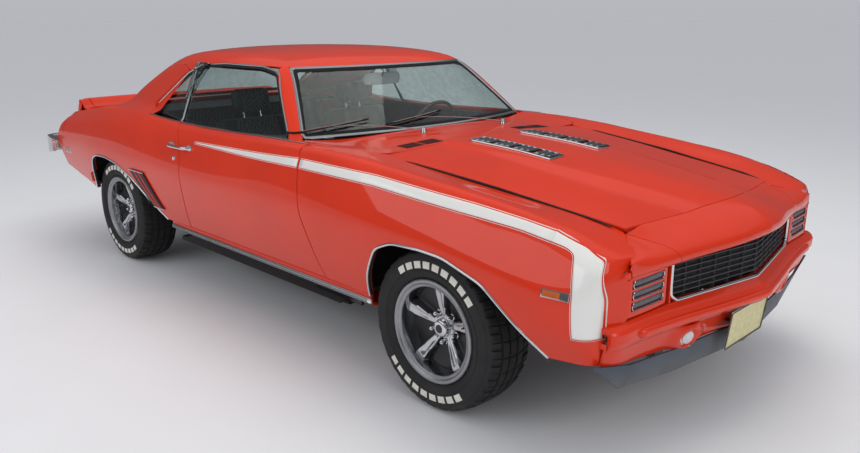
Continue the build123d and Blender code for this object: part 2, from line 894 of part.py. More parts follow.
cover_inner_y = 480.0
cover_outer_y = 722.0
cover_low = 545.0
cover_high = 686.0
slot_heights = (580.0, 615.0, 650.0)
slot_height = 24.0
cover_plan = [(support_front_x + seat_gap, cover_inner_y), (front(751), cover_inner_y),
              (front(746), cover_outer_y), (support_front_x + seat_gap, cover_outer_y)]
with BuildPart() as headlamp_cover:
    add(prism_z(cover_plan, cover_low, cover_high))
    for height in slot_heights:
        add(box_between((front(734), cover_inner_y + 18, height - slot_height / 2),
                        (front(800), cover_outer_y - 18, height + slot_height / 2)),
            mode=Mode.SUBTRACT)
cover_left = cut_from(headlamp_cover.part, header_panel, front_fender_left.part)
keep(combined(cover_left, other_side(cover_left)), "headlamp_covers")

# front bumper sections: y, back, top x and z, crest x and z, nose x and z, low x and z
NoseRow = namedtuple("NoseRow", "y back_x top_x top_z crest_x crest_z nose_x nose_z low_x low_z")
NOSE_ROWS = [
    NoseRow(0, 800, 838, 532, 893, 505, front_overhang, 470, 885, 450),
    NoseRow(460, 722, 768, 538, 835, 516, 846, 480, 828, 456),
    NoseRow(720, 716, 748, 538, 800, 526, 806, 490, 790, 462),
    NoseRow(888, 742, 760, 516, 786, 514, 790, 492, 776, 464),
]


def nose_profile(row):
    """Section of the front bumper at one row."""
    return [
        (front(row.back_x), row.low_z),
        (front(row.low_x), row.low_z),
        (front(row.nose_x), row.nose_z),
        (front(row.crest_x), row.crest_z),
        (front(row.top_x), row.top_z),
        (front(row.back_x), row.top_z),
    ]


nose_bar = loft_y([(-row.y, nose_profile(row)) for row in reversed(NOSE_ROWS[1:])]
                  + [(row.y, nose_profile(row)) for row in NOSE_ROWS])
nose_bracket = box_between((support_front_x + seat_gap, 405, 475), (front(760), 450, 520))
front_bumper = cut_from(combined(nose_bar, nose_bracket, other_side(nose_bracket)),
                        front_fender_left.part, other_side(front_fender_left.part))
keep(front_bumper, "front_bumper")

# valance and dam: y, top x and z, low x and z, dam foot x and z
SkirtRow = namedtuple("SkirtRow", "y top_x top_z low_x low_z foot_x foot_z")
SKIRT_ROWS = [
    SkirtRow(0, 872, 449.7, 838, 370, 826, 280),
    SkirtRow(460, 816, 455.7, 786, 372, 766, 280),
    SkirtRow(700, 778, 461, 750, 380, 712, 284),
    SkirtRow(850, 748, 463, 730, 412, 712, 398),
]
valance_wall = 12.0
dam_wall = 8.0


def skirt_profile(top_x, top_z, low_x, low_z, wall):
    """Section of a leaning sheet between two edges."""
    return [(front(top_x), top_z), (front(low_x), low_z), (front(low_x) - wall, low_z),
            (front(top_x) - wall, top_z)]


def skirt_loft(half):
    """Ruled sheet through sections on both sides of the centre."""
    return loft_y([(-y, outline) for y, outline in reversed(half[1:])] + half)


valance_sheet = skirt_loft([(row.y, skirt_profile(row.top_x, row.top_z, row.low_x, row.low_z,
                                                  valance_wall)) for row in SKIRT_ROWS])
park_lamp_y = 392.0
park_lamp_z = 400.0
park_lamp_radius = 42.0
with BuildPart() as park_lamp:
    with BuildSketch(Plane.YZ.offset(front(775))):
        with Locations((park_lamp_y, park_lamp_z)):
            Circle(park_lamp_radius)
    extrude(amount=38)
front_valance = cut_from(
    combined(valance_sheet, park_lamp.part, other_side(park_lamp.part)),
    front_bumper, front_fender_left.part, other_side(front_fender_left.part))
keep(front_valance, "front_valance")
air_dam = cut_from(
    skirt_loft([(row.y, skirt_profile(row.low_x - 3, row.low_z - seat_gap, row.foot_x, row.foot_z,
                                      dam_wall)) for row in SKIRT_ROWS]),
    front_valance, front_fender_left.part, other_side(front_fender_left.part))
keep(air_dam, "air_dam")

# ---- wheelhouses and inner fenders ----
apron_y = 485.0
apron_wall = 12.0
apron_low = 470.0
firewall_x = front(-645)
wheelhouse_outer = [
    (front(-420), 300),
    (front(-420), 560),
    (front(-330), 702),
    (front(155), 706),
    (front(345), 656),
    (front(560), 440),
    (front(546), 430),
    (front(334), 642),
    (front(150), 690),
    (front(-322), 686),
    (front(-406), 552),
    (front(-406), 300),
]
front_house = common(prism_y(wheelhouse_outer, apron_y, half_width),
                     side_block(skin - 2, inner_y=0))
apron = box_between((firewall_x + plate + seat_gap, apron_y - apron_wall, apron_low),
                    (support_back_x - seat_gap, apron_y, 706))
strip_out = 8.0
seam_strip = prism_z(
    [
        (front(-600), hood_seam_y(-600) + strip_out + apron_wall),
        (front(-600), hood_seam_y(-600) + strip_out),
        (front(600), hood_seam_y(600) + strip_out),
        (front(600), hood_seam_y(600) + strip_out + apron_wall),
    ],
    690,
    1000,
)
hood_bracket_ears = [
    box_between((hood_hinge_x - 24, hood_hinge_y + offset, 690),
                (hood_hinge_x + 12, hood_hinge_y + offset + 8, hood_hinge_z + 9))
    for offset in (lid_lug_width / 2 + 2, -lid_lug_width / 2 - 10)
]


def pin_y(x, z, y_from, y_to, radius):
    """Cross pin along Y."""
    with BuildPart() as pin:
        with BuildSketch(Plane.XZ.offset(-y_from)):
            with Locations((x, z)):
                Circle(radius)
        extrude(amount=y_from - y_to)
    return pin.part


hood_pin = pin_y(hood_hinge_x, hood_hinge_z, hood_hinge_y - 18, hood_hinge_y + 18, lid_pin_radius)
house_roof = box_between((front(-620), apron_y, 690), (front(560), 560, 702))
hood_stand = box_between((hood_hinge_x - 24, hood_hinge_y - 40, 690),
                         (hood_hinge_x + 12, hood_hinge_y + 50, 702))
inner_fender_left = cut_from(
    combined(front_house, apron, common(seam_strip, interior_left), hood_pin, hood_stand,
             *hood_bracket_ears),
    header_panel, cowl_panel, front_fender_left.part)
keep(inner_fender_left, "inner_fender_left")
keep(other_side(inner_fender_left), "inner_fender_right")

house_wall_y = 622.0
rear_house_band = [
    (rear(-345), 430),
    (rear(-345), 560),
    (rear(-245), 705),
    (rear(155), 706),
    (rear(345), 640),
    (rear(440), 560),
    (rear(440), 430),
    (rear(428), 430),
    (rear(428), 552),
    (rear(337), 630),
    (rear(150), 692),
    (rear(-238), 691),
    (rear(-333), 552),
    (rear(-333), 430),
]
rear_house_disc = rear_house_band[:7]
rear_house = common(prism_y(rear_house_band, house_wall_y, half_width), interior_left)
rear_house_wall = prism_y(rear_house_disc, house_wall_y - 8, house_wall_y)
rear_house_left = combined(rear_house, rear_house_wall)
keep(combined(rear_house_left, other_side(rear_house_left)), "rear_wheelhouses")

# ---- floor, firewall and body frame ----
floor_wall = 12.0
floor_front_x = firewall_x
kickup_x = rear(543)
boot_floor_z = 500.0
boot_floor_end_x = rear(-810)
floor_side_y = rocker_inner_y - seat_gap
tunnel_y = 165.0
tunnel_top = 425.0
boot_floor_y = house_wall_y - 8 - seat_gap
cabin_floor = box_between((kickup_x, -floor_side_y, floor_height),
                          (floor_front_x, floor_side_y, floor_height + floor_wall))
tunnel_hole = box_between((kickup_x - 5, -tunnel_y, floor_height - 5),
                          (floor_front_x + 5, tunnel_y, floor_height + 30))
tunnel_profile = [
    (-tunnel_y - 12, floor_height),
    (-tunnel_y - 12, tunnel_top - 40),
    (-tunnel_y + 35, tunnel_top),
    (tunnel_y - 35, tunnel_top),
    (tunnel_y + 12, tunnel_top - 40),
    (tunnel_y + 12, floor_height),
    (tunnel_y, floor_height),
    (tunnel_y, tunnel_top - 45),
    (tunnel_y - 40, tunnel_top - floor_wall),
    (-tunnel_y + 40, tunnel_top - floor_wall),
    (-tunnel_y, tunnel_top - 45),
    (-tunnel_y, floor_height),
]
tunnel = prism_x(tunnel_profile, kickup_x, floor_front_x)
kickup = box_between((kickup_x, -boot_floor_y, floor_height),
                     (kickup_x + floor_wall, boot_floor_y, boot_floor_z + floor_wall))
boot_floor = box_between((boot_floor_end_x, -boot_floor_y, boot_floor_z),
                         (kickup_x, boot_floor_y, boot_floor_z + floor_wall))
boot_sides = box_between((boot_floor_end_x, boot_floor_y - 1, boot_floor_z),
                         (rear(-346), 800, boot_floor_z + floor_wall))
tunnel_end = prism_x([(-tunnel_y, floor_height - 5), (tunnel_y, floor_height - 5),
                      (tunnel_y, tunnel_top - 45), (tunnel_y - 40, tunnel_top - floor_wall),
                      (-tunnel_y + 40, tunnel_top - floor_wall), (-tunnel_y, tunnel_top - 45)],
                     kickup_x - 5, kickup_x + floor_wall + 5)
hinge_posts = []
for side in (-1, 1):
    for offset in (lid_lug_width / 2 + 2, -lid_lug_width / 2 - 10):
        low_y = side * deck_hinge_y + offset
        hinge_posts.append(box_between((deck_hinge_x - 12, low_y, boot_floor_z),
                                       (deck_hinge_x + 12, low_y + 8, deck_hinge_z + 12)))
    hinge_posts.append(pin_y(deck_hinge_x, deck_hinge_z, side * deck_hinge_y - 18,
                             side * deck_hinge_y + 18, lid_pin_radius))
boot_sides_in = common(boot_sides, interior_left)
floor_pan = cut_from(
    combined(cut_from(cabin_floor, tunnel_hole), tunnel, cut_from(kickup, tunnel_end), boot_floor,
             boot_sides_in, other_side(boot_sides_in), *hinge_posts),
    tail_panel)
keep(floor_pan, "floor_pan")

firewall_top = [(-720, 903), (-350, 924.4), (350, 924.4), (720, 903)]
kick_y = 735.0
kick_wall = 13.0
with BuildPart() as firewall:
    add(prism_x([(-kick_y, floor_height + floor_wall + seat_gap)] + firewall_top
                + [(kick_y, floor_height + floor_wall + seat_gap)],
                firewall_x, firewall_x + plate))
    add(box_between((firewall_x - 5, -tunnel_y - 12.3, 0),
                    (firewall_x + plate + 5, tunnel_y + 12.3, tunnel_top + seat_gap)),
        mode=Mode.SUBTRACT)
kick_panel = box_between((front(-900), kick_y - kick_wall, floor_height + floor_wall + seat_gap),
                         (front(-570), kick_y, 900))


def hinge_hardware(height):
    """Two ears and the pin that carry one strap of a door hinge."""
    reach = hinge_strap_height / 2 + 1
    ears = [
        box_between((hinge_x - 12, kick_y - 1, height + low), (hinge_x + 12, hinge_y + 8, height + high))
        for low, high in ((reach, reach + 10), (-reach - 10, -reach))
    ]
    with BuildPart() as pin:
        with BuildSketch(Plane.XY.offset(height - reach - 5)):
            with Locations((hinge_x, hinge_y)):
                Circle(hinge_pin_radius)
        extrude(amount=2 * reach + 10)
    return combined(*ears, pin.part)


side_iron = combined(kick_panel, *[hinge_hardware(height) for height in hinge_heights])
firewall_whole = combined(firewall.part, side_iron, other_side(side_iron))
keep(firewall_whole, "firewall")

shelf_top = 930.0 - seat_gap
shelf = common(box_between((rear(-258), 0, shelf_top - 12), (rear(235), 640, shelf_top)),
               roof_block(pillar_wall - 8, dip=60))
keep(combined(shelf, other_side(shelf)), "rear_shelf")

# ---- chassis ----
rail_low = 300.0
rail_high = 380.0
rail_inner_y = 380.0
rail_outer_y = 440.0
crossmember_half = 90.0
arm_inner_half = 140.0
arm_tip_half = 24.0
lower_arm_z = 205.0
upper_arm_z = 418.0
arm_wall = 20.0
rail = box_between((front(-950), rail_inner_y, floor_height - 60.3),
                   (front(-690), rail_outer_y, floor_height - seat_gap))
rail_ramp = prism_y([(front(-700), floor_height - 60.3), (front(-700), floor_height - seat_gap),
                     (front(-610), floor_height - seat_gap), (front(-470), rail_high),
                     (front(-400), rail_high), (front(-400), rail_low), (front(-440), rail_low),
                     (front(-570), floor_height - 60.3)],
                    rail_inner_y, rail_outer_y)
rail_front = box_between((front(-410), rail_inner_y, rail_low),
                         (support_back_x - seat_gap, rail_outer_y, rail_high))
rail_horn = box_between((front(600), rail_inner_y, rail_low + 20),
                        (support_back_x - seat_gap, rail_outer_y, 470))
crossmember = box_between((front(-crossmember_half), -rail_outer_y, 215),
                          (front(crossmember_half), rail_outer_y, rail_low))


def arm_plate(z_low):
    """Wishbone from the rail out to the kingpin, with an eye for its pin."""
    with BuildPart() as arm:
        with BuildSketch(Plane.XY.offset(z_low)):
            with BuildLine():
                Polyline((front(-arm_inner_half), rail_inner_y + 10),
                         (front(-arm_tip_half), kingpin_y),
                         (front(arm_tip_half), kingpin_y),
                         (front(arm_inner_half), rail_inner_y + 10), close=True)
            make_face()
            with Locations((front(0), kingpin_y)):
                Circle(arm_tip_half)
                Circle(kingpin_radius + pin_clearance, mode=Mode.SUBTRACT)
        extrude(amount=arm_wall)
    return arm.part


upper_stand = box_between((front(-100), rail_inner_y + 5, rail_high - 1),
                          (front(100), rail_outer_y - 5, upper_arm_z + arm_wall))
half_frame = [rail, rail_ramp, rail_front, rail_horn, upper_stand, arm_plate(lower_arm_z),
              arm_plate(upper_arm_z)]
front_subframe = combined(crossmember, *half_frame, *[other_side(each) for each in half_frame])
keep(front_subframe, "front_subframe")

engine_low = rail_low + seat_gap
gearbox_end_x = front(-1300)
with BuildPart() as engine_block:
    add(box_between((front(-560), -260, engine_low), (front(90), 260, 800)))
    add(box_between((gearbox_end_x, -125, engine_low), (front(-560), 125, 400)))
keep(engine_block.part, "engine_block")

spring_y = 500.0
spring_width = 60.0
spring_leaf = 22.0
axle_radius = 38.0
spring_front_x = rear(515)
spring_rear_x = rear(-560)
spring_top = [
    (spring_front_x, 345),
    (rear(150), 284),
    (rear(-150), 284),
    (spring_rear_x, 375),
]
spring_profile = spring_top + [(x, z - spring_leaf) for x, z in reversed(spring_top)]
spring = prism_y(spring_profile, spring_y - spring_width / 2, spring_y + spring_width / 2)
spring_eyes = [box_between((x - 25, spring_y - 30, z - 30), (x + 25, spring_y + 30, boot_floor_z - seat_gap))
               for x, z in ((spring_front_x - 8, 345), (spring_rear_x + 8, 375))]
spring_clamp = box_between((rear(-50), spring_y - 34, 255), (rear(50), spring_y + 34, 330))
axle_tube = pin_y(rear(0), hub_height, -690, 690, axle_radius)
spindle_radius = 16.0
axle_shaft = pin_y(rear(0), hub_height, -(rear_wheel_y + 8), rear_wheel_y + 8, spindle_radius)
with BuildPart() as differential:
    with BuildSketch(Plane.XZ.offset(85)):
        with Locations((rear(10), hub_height)):
            Circle(118)
    extrude(amount=-170)
propshaft_radius = 34.0
with BuildPart() as propshaft:
    with BuildSketch(Plane.YZ.offset(rear(90))):
        with Locations((0, 335)):
            Circle(propshaft_radius)
    extrude(amount=gearbox_end_x - seat_gap - rear(90))
rear_half = [spring, *spring_eyes, spring_clamp]
rear_axle = combined(axle_tube, axle_shaft, differential.part, propshaft.part, *rear_half,
                     *[other_side(each) for each in rear_half])
keep(rear_axle, "rear_axle")

pipe_y = 255.0
pipe_radius = 27.0
pipe_z = 178.0
pipe_front_x = front(-500)
pipe_end_x = rear(-925)
tip_radius = 31.0
tip_length = 110.0
muffler_radius = 72.0
with BuildPart() as exhaust_left:
    with BuildSketch(Plane.YZ.offset(pipe_end_x)):
        with Locations((pipe_y, pipe_z)):
            Circle(pipe_radius)
    extrude(amount=pipe_front_x - pipe_end_x)
    with BuildSketch(Plane.YZ.offset(pipe_end_x)):
        with Locations((pipe_y, pipe_z)):
            Circle(tip_radius)
    extrude(amount=tip_length)
    with BuildSketch(Plane.YZ.offset(rear(760))):
        with Locations((pipe_y, pipe_z - 20)):
            Ellipse(muffler_radius * 1.4, 60)
    extrude(amount=420)
    with BuildSketch(Plane.YZ.offset(pipe_end_x - 1)):
        with Locations((pipe_y, pipe_z)):
            Circle(pipe_radius - 3)
    extrude(amount=121, mode=Mode.SUBTRACT)
pipe_hanger = box_between((rear(600), pipe_y - 12, pipe_z), (rear(640), pipe_y + 12, floor_height - seat_gap))
pipe_riser = box_between((pipe_front_x, pipe_y - 27, pipe_z - 20), (front(-440), pipe_y + 27, 380))
exhaust_riser = cut_from(pipe_riser, engine_block.part)
exhaust_half = combined(exhaust_left.part, pipe_hanger, exhaust_riser)
keep(combined(exhaust_half, other_side(exhaust_half)), "exhaust")

tank = box_between((rear(-790), -380, 305), (rear(-330), 380, boot_floor_z - seat_gap))
keep(tank, "fuel_tank")

# ---- cabin ----
seat_pitch_y = 370.0
seat_width = 500.0
seat_base = floor_height + floor_wall + seat_gap
seat_profile = [
    (front(-1790), seat_base),
    (front(-1380), seat_base),
    (front(-1330), 400),
    (front(-1330), 455),
    (front(-1360), 470),
    (front(-1750), 450),
    (front(-1905), 900),
    (front(-1930), 925),
    (front(-1975), 925),
    (front(-1995), 900),
    (front(-1850), 430),
    (front(-1830), 400),
]
rest_profile = [
    (front(-1935), 924),
    (front(-1925), 945),
    (front(-1945), 1085),
    (front(-2010), 1085),
    (front(-2012), 950),
    (front(-1960), 924),
]
seat_low_y = seat_pitch_y - seat_width / 2
seat_left = cut_from(
    combined(prism_y(seat_profile, seat_low_y, seat_low_y + seat_width),
             prism_y(rest_profile, seat_pitch_y - 125, seat_pitch_y + 125)),
    box_between((front(-2100), 0, 0), (front(-1200), tunnel_y + 12 + seat_gap, tunnel_top)))
keep(seat_left, "front_seat_left")
keep(other_side(seat_left), "front_seat_right")

rear_seat_y = 600.0
rear_seat_profile = [
    (kickup_x + floor_wall + seat_gap, seat_base),
    (rear(650), seat_base),
    (rear(668), 440),
    (rear(655), 522),
    (rear(620), 540),
    (rear(300), 556),
    (rear(165), 890),
    (rear(140), 912),
    (rear(70), 912),
    (rear(200), boot_floor_z + floor_wall + seat_gap),
    (kickup_x + floor_wall + seat_gap, boot_floor_z + floor_wall + seat_gap),
]
rear_seat = cut_from(
    prism_y(rear_seat_profile, -rear_seat_y, rear_seat_y),
    box_between((kickup_x, -tunnel_y - 12.3, 0), (front(-1900), tunnel_y + 12.3, tunnel_top + 0.3)))
keep(rear_seat, "rear_seat")

dash_y = kick_y - kick_wall - seat_gap
dash_profile = [
    (firewall_x - seat_gap, 760),
    (firewall_x - seat_gap, 900),
    (front(-830), 903),
    (front(-985), 905),
    (front(-1030), 885),
    (front(-1035), 865),
    (front(-1005), 760),
    (front(-960), 705),
    (front(-820), 705),
]
wheel_tilt = 22.0
steering_x = front(-1250)
steering_y = 370.0
steering_z = 842.0
steering_rim_radius = 190.0
steering_grip = 12.0
column_radius = 28.0
column_length = 330.0
steering_plane = Plane(origin=(steering_x, steering_y, steering_z),
                       x_dir=(0, -1, 0), z_dir=(-cos(radians(wheel_tilt)), 0, sin(radians(wheel_tilt))))
with BuildPart() as dashboard:
    add(prism_y(dash_profile, -dash_y, dash_y))
    with BuildSketch(steering_plane.offset(-52 - seat_gap)):
        Circle(column_radius)
    extrude(amount=-column_length)
dash_trim = box_between((firewall_x - seat_gap, -800, 200), (front(-300), 800, 1000))
dashboard_part = cut_from(dashboard.part, dash_trim)
keep(dashboard_part, "dashboard")

with BuildPart() as steering_wheel:
    with BuildSketch(Plane(origin=steering_plane.origin + steering_plane.x_dir * steering_rim_radius,
                           x_dir=steering_plane.x_dir, z_dir=steering_plane.y_dir)):
        Circle(steering_grip)
    revolve(axis=Axis(steering_plane.origin, steering_plane.z_dir))
    with BuildSketch(steering_plane.offset(-52)):
        Circle(36)
    extrude(amount=44)
    for angle in (0, 180, 270):
        with BuildSketch(steering_plane.offset(-16)):
            with PolarLocations(108, 1, start_angle=angle):
                Rectangle(150, 30)
        extrude(amount=8)
keep(steering_wheel.part, "steering_wheel")

# ---- knuckles and wheels ----
lower_pin_low = lower_arm_z - 4
knuckle_low = lower_arm_z + arm_wall + seat_gap
knuckle_high = upper_arm_z - seat_gap
with BuildPart() as knuckle_left:
    add(box_between((front(-17), kingpin_y - 16, knuckle_low), (front(17), kingpin_y + 16, knuckle_high)))
    with BuildSketch(Plane.XY.offset(lower_pin_low)):
        with Locations((front(0), kingpin_y)):
            Circle(kingpin_radius)
    extrude(amount=upper_arm_z + arm_wall + 4 - lower_pin_low)
    add(pin_y(front(0), hub_height, kingpin_y, front_wheel_y + 8, spindle_radius))
keep(knuckle_left.part, "knuckle_left")
keep(other_side(knuckle_left.part), "knuckle_right")


def wheel_plane(axle_x, wheel_y):
    """Sketch plane through a wheel's axis: local x is the radius, local y points outboard."""
    return Plane(origin=(axle_x, wheel_y, hub_height), x_dir=(1, 0, 0), z_dir=(0, 0, 1))


def wheel_axis(axle_x, wheel_y):
    """The axis that a wheel turns on."""
    return Axis((axle_x, wheel_y, hub_height), (0, 1, 0))


rim_profile = [
    (rim_lip_radius, 100),
    (198, 106),
    (176, 98),
    (168, 60),
    (168, 30),
    (176, 10),
    (176, -86),
    (184, -95),
    (rim_lip_radius - 3, -97),
    (rim_lip_radius - 3, -91),
    (rim_bead_radius, -88),
    (184, -78),
    (184, 78),
    (rim_bead_radius, 88),
    (rim_lip_radius, 93),
]
hub_profile = [
    (spindle_radius + pin_clearance, -40),
    (46, -40),
    (46, -25),
    (disc_radius, -25),
    (disc_radius, -3),
    (hub_radius + 12, -3),
    (hub_radius + 12, 16),
    (cap_radius, 24),
    (cap_radius, 48),
    (cap_radius - 8, 58),
    (0, 60),
    (0, 10),
    (spindle_radius + pin_clearance, 10),
]
spoke_profile = [(cap_radius - 6, 8), (cap_radius - 6, 30), (110, 50), (172, 66), (172, 34), (100, 16)]
tyre_side = tyre_width / 2


def make_rim(axle_x, wheel_y):
    """Styled rim with its hub, disc, cap, spokes and lug nuts, on the car's left."""
    plane = wheel_plane(axle_x, wheel_y)
    axis = wheel_axis(axle_x, wheel_y)
    with BuildPart() as rim:
        for profile in (rim_profile, hub_profile):
            with BuildSketch(plane):
                with BuildLine():
                    Polyline(*profile, close=True)
                make_face()
            revolve(axis=axis)
    spokes = []
    for number in range(spoke_count):
        with BuildPart() as spoke:
            with BuildSketch(plane):
                with BuildLine():
                    Polyline(*spoke_profile, close=True)
                make_face()
            extrude(amount=21, both=True)
        spokes.append(spoke.part.rotate(axis, 90 + number * 360 / spoke_count))
    lugs = []
    for number in range(lug_count):
        turn = radians(90 + (number + 0.5) * 360 / lug_count)
        centre_x = axle_x + lug_circle_radius * cos(turn)
        centre_z = hub_height + lug_circle_radius * sin(turn)
        lugs.append(pin_y(centre_x, centre_z, wheel_y + 14, wheel_y + 34, 10))
    return combined(rim.part, *spokes, *lugs)


def make_tyre(axle_x, wheel_y):
    """Hollow tyre on the rim's beads, on the car's left."""
    with BuildPart() as tyre:
        with BuildSketch(wheel_plane(axle_x, wheel_y)):
            with BuildLine():
                Line((rim_bead_radius + seat_gap, -86), (rim_bead_radius + seat_gap, -74))
                Line((rim_bead_radius + seat_gap, -74), (214, -82))
                ThreePointArc((214, -82), (262, -tyre_side + 12), (300, -82))
                Line((300, -82), (tyre_radius - 14, -70))
                Line((tyre_radius - 14, -70), (tyre_radius - 14, 70))
                Line((tyre_radius - 14, 70), (300, 82))
                ThreePointArc((300, 82), (262, tyre_side - 12), (214, 82))
                Line((214, 82), (rim_bead_radius + seat_gap, 74))
                Line((rim_bead_radius + seat_gap, 74), (rim_bead_radius + seat_gap, 86))
                Line((rim_bead_radius + seat_gap, 86), (rim_lip_radius + 1, 92.5))
                ThreePointArc((rim_lip_radius + 1, 92.5), (258, tyre_side), (306, 102))
                ThreePointArc((306, 102), (316, 96), (tyre_radius - 1, tread_half - 6))
                Line((tyre_radius - 1, tread_half - 6), (tyre_radius, 0))
                Line((tyre_radius, 0), (tyre_radius - 1, -tread_half + 6))
                ThreePointArc((tyre_radius - 1, -tread_half + 6), (316, -96), (306, -102))
                ThreePointArc((306, -102), (258, -tyre_side), (rim_lip_radius + 1, -92.5))
                Line((rim_lip_radius + 1, -92.5), (rim_bead_radius + seat_gap, -86))
            make_face()
        revolve(axis=wheel_axis(axle_x, wheel_y))
    return tyre.part


for place, axle_x, wheel_y in (("front", front(0), front_wheel_y), ("rear", rear(0), rear_wheel_y)):
    rim = make_rim(axle_x, wheel_y)
    tyre = make_tyre(axle_x, wheel_y)
    keep(rim, f"rim_{place}_left")
    keep(other_side(rim), f"rim_{place}_right")
    keep(tyre, f"tyre_{place}_left")
    keep(other_side(tyre), f"tyre_{place}_right")

# ---- blank number plates ----
front_plate_y = -205.0
front_plate_x = front(892)
plate_z_low = 296.0


def blank_plate(x, y, z_low):
    """Blank plate with its two fixing holes."""
    with BuildPart() as number_plate:
        with BuildSketch(Plane.YZ.offset(x)):
            with Locations((y, z_low + rear_plate_height / 2)):
                Rectangle(rear_plate_width, rear_plate_height)
            with Locations((y - plate_hole_pitch / 2, z_low + rear_plate_height - 16),
                           (y + plate_hole_pitch / 2, z_low + rear_plate_height - 16)):
                Circle(plate_hole_radius, mode=Mode.SUBTRACT)
        extrude(amount=plate_sheet)
    return number_plate.part


front_plate = blank_plate(front_plate_x, front_plate_y, plate_z_low)
rear_plate = blank_plate(rear_plate_x - plate_sheet - seat_gap, 0, rear_plate_low)
plate_stay = cut_from(
    box_between((front(790), front_plate_y - 60, 405), (front_plate_x - seat_gap, front_plate_y + 60, 440)),
    front_valance, front_bumper).solids().sort_by(Axis.X)[-1]
keep(combined(front_plate, rear_plate), "number_plates")
keep(plate_stay, "plate_stay")
print(len(written), "nodes")
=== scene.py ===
"""Muscle car, two-door hardtop: its skins, trim, glass, cabin and wheels, built as curved surfaces."""
import json
from math import pi, radians

import bmesh
import bpy
import numpy as np
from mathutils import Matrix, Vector

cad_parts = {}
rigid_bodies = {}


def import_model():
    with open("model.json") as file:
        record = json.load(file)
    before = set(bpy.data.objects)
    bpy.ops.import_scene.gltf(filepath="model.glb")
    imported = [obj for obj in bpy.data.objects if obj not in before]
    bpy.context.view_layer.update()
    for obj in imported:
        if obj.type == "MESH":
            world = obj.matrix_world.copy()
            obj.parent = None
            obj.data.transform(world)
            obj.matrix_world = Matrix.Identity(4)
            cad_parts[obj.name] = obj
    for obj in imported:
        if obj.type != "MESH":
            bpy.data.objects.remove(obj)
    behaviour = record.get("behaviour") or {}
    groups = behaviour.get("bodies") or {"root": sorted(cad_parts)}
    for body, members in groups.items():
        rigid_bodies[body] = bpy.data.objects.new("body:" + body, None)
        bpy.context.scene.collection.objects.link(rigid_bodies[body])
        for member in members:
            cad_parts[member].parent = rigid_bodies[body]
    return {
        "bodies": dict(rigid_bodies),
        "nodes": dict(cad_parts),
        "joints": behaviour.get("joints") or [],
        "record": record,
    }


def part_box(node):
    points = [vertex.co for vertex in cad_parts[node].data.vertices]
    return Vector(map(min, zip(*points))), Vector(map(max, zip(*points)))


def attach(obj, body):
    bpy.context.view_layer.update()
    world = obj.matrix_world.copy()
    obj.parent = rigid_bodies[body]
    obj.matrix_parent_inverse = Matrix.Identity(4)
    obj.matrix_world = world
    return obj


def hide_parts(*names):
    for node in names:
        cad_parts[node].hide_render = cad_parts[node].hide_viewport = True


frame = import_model()

bl_info = {
    "name": "Muscle car",
    "version": (1, 0, 0),
    "blender": (4, 5, 0),
    "location": "3D View > Sidebar > Muscle car",
    "description": "Panels, trim, glass, cabin and wheels of a two-door hardtop, and a plain stage",
    "category": "Add Mesh",
}

JOINTS = {joint["name"]: joint for joint in frame["joints"]}
FRONT_AXLE = np.array(JOINTS["wheel_front_left_spin"]["pos_m"])
REAR_AXLE = np.array(JOINTS["wheel_rear_left_spin"]["pos_m"])
SIDES = (("left", 1.0), ("right", -1.0))
HALF_WIDTH = 0.94
HALF_GAP = 0.0035
MIRRORED = np.array([1.0, -1.0, 1.0])


def F(dx):
    """Place along the car in metres, from millimetres ahead of the front axle."""
    return FRONT_AXLE[0] + np.asarray(dx, float) / 1000


def R(dx):
    """Place along the car in metres, from millimetres ahead of the rear axle."""
    return REAR_AXLE[0] + np.asarray(dx, float) / 1000


# ---------------------------------------------------------------- numbers and curves

def lattice(along, across):
    """Two arrays of a grid's values: along its rows and across them, each from (first, last, count)."""
    return np.meshgrid(np.linspace(*along), np.linspace(*across), indexing="ij")


def blunt(y, radius):
    """Distance from the middle, rounded where it turns there."""
    return np.sqrt(np.asarray(y) ** 2 + radius ** 2) - radius


def unit(way):
    """A direction as a vector of length one."""
    return np.asarray(way, float) / np.linalg.norm(way)


def square_to(way):
    """A direction and two square to it, all of length one."""
    way = unit(way)
    side = unit(np.cross((0, 0, 1), way))
    return way, side, np.cross(way, side)


def bell(count, reach):
    """Weights of a bell curve, that sum to one, and their places."""
    place = np.linspace(-reach, reach, count)
    weight = np.exp(-place ** 2 / 2)
    return place, weight / weight.sum()


def spline(xs, ys, at):
    """Natural cubic through the rows of a table: the second derivative is continuous and zero at both ends."""
    xs, ys = np.asarray(xs, float), np.asarray(ys, float)
    ys = ys.reshape(len(xs), -1)
    n, h = len(xs), np.diff(xs)
    system, slopes = np.eye(n), np.zeros_like(ys)
    k = np.arange(1, n - 1)
    system[k, k - 1], system[k, k], system[k, k + 1] = h[:-1], 2 * (h[:-1] + h[1:]), h[1:]
    chord = np.diff(ys, axis=0) / h[:, None]
    slopes[1:-1] = 6 * np.diff(chord, axis=0)
    bend = np.linalg.solve(system, slopes)
    at = np.clip(np.asarray(at, float), xs[0], xs[-1])
    i = np.clip(np.searchsorted(xs, at, side="right") - 1, 0, n - 2)
    a, w = (at - xs[i])[..., None], h[i][..., None]
    return (ys[i] + a * (chord[i] - w * (2 * bend[i] + bend[i + 1]) / 6)
            + a ** 2 * bend[i] / 2 + a ** 3 * (bend[i + 1] - bend[i]) / (6 * w))


def corner_weights(knots, at, count, spread):
    """Weights of points at the knots for a polyline through them, its corners softened over a spread."""
    fine, weight = bell(count, 2.2)
    near = np.clip(at[:, None] + fine * spread, knots[0], knots[-1])
    return sum(w * np.stack([np.interp(near[:, j], knots, row) for row in np.eye(len(knots))], 1)
               for j, w in enumerate(weight))


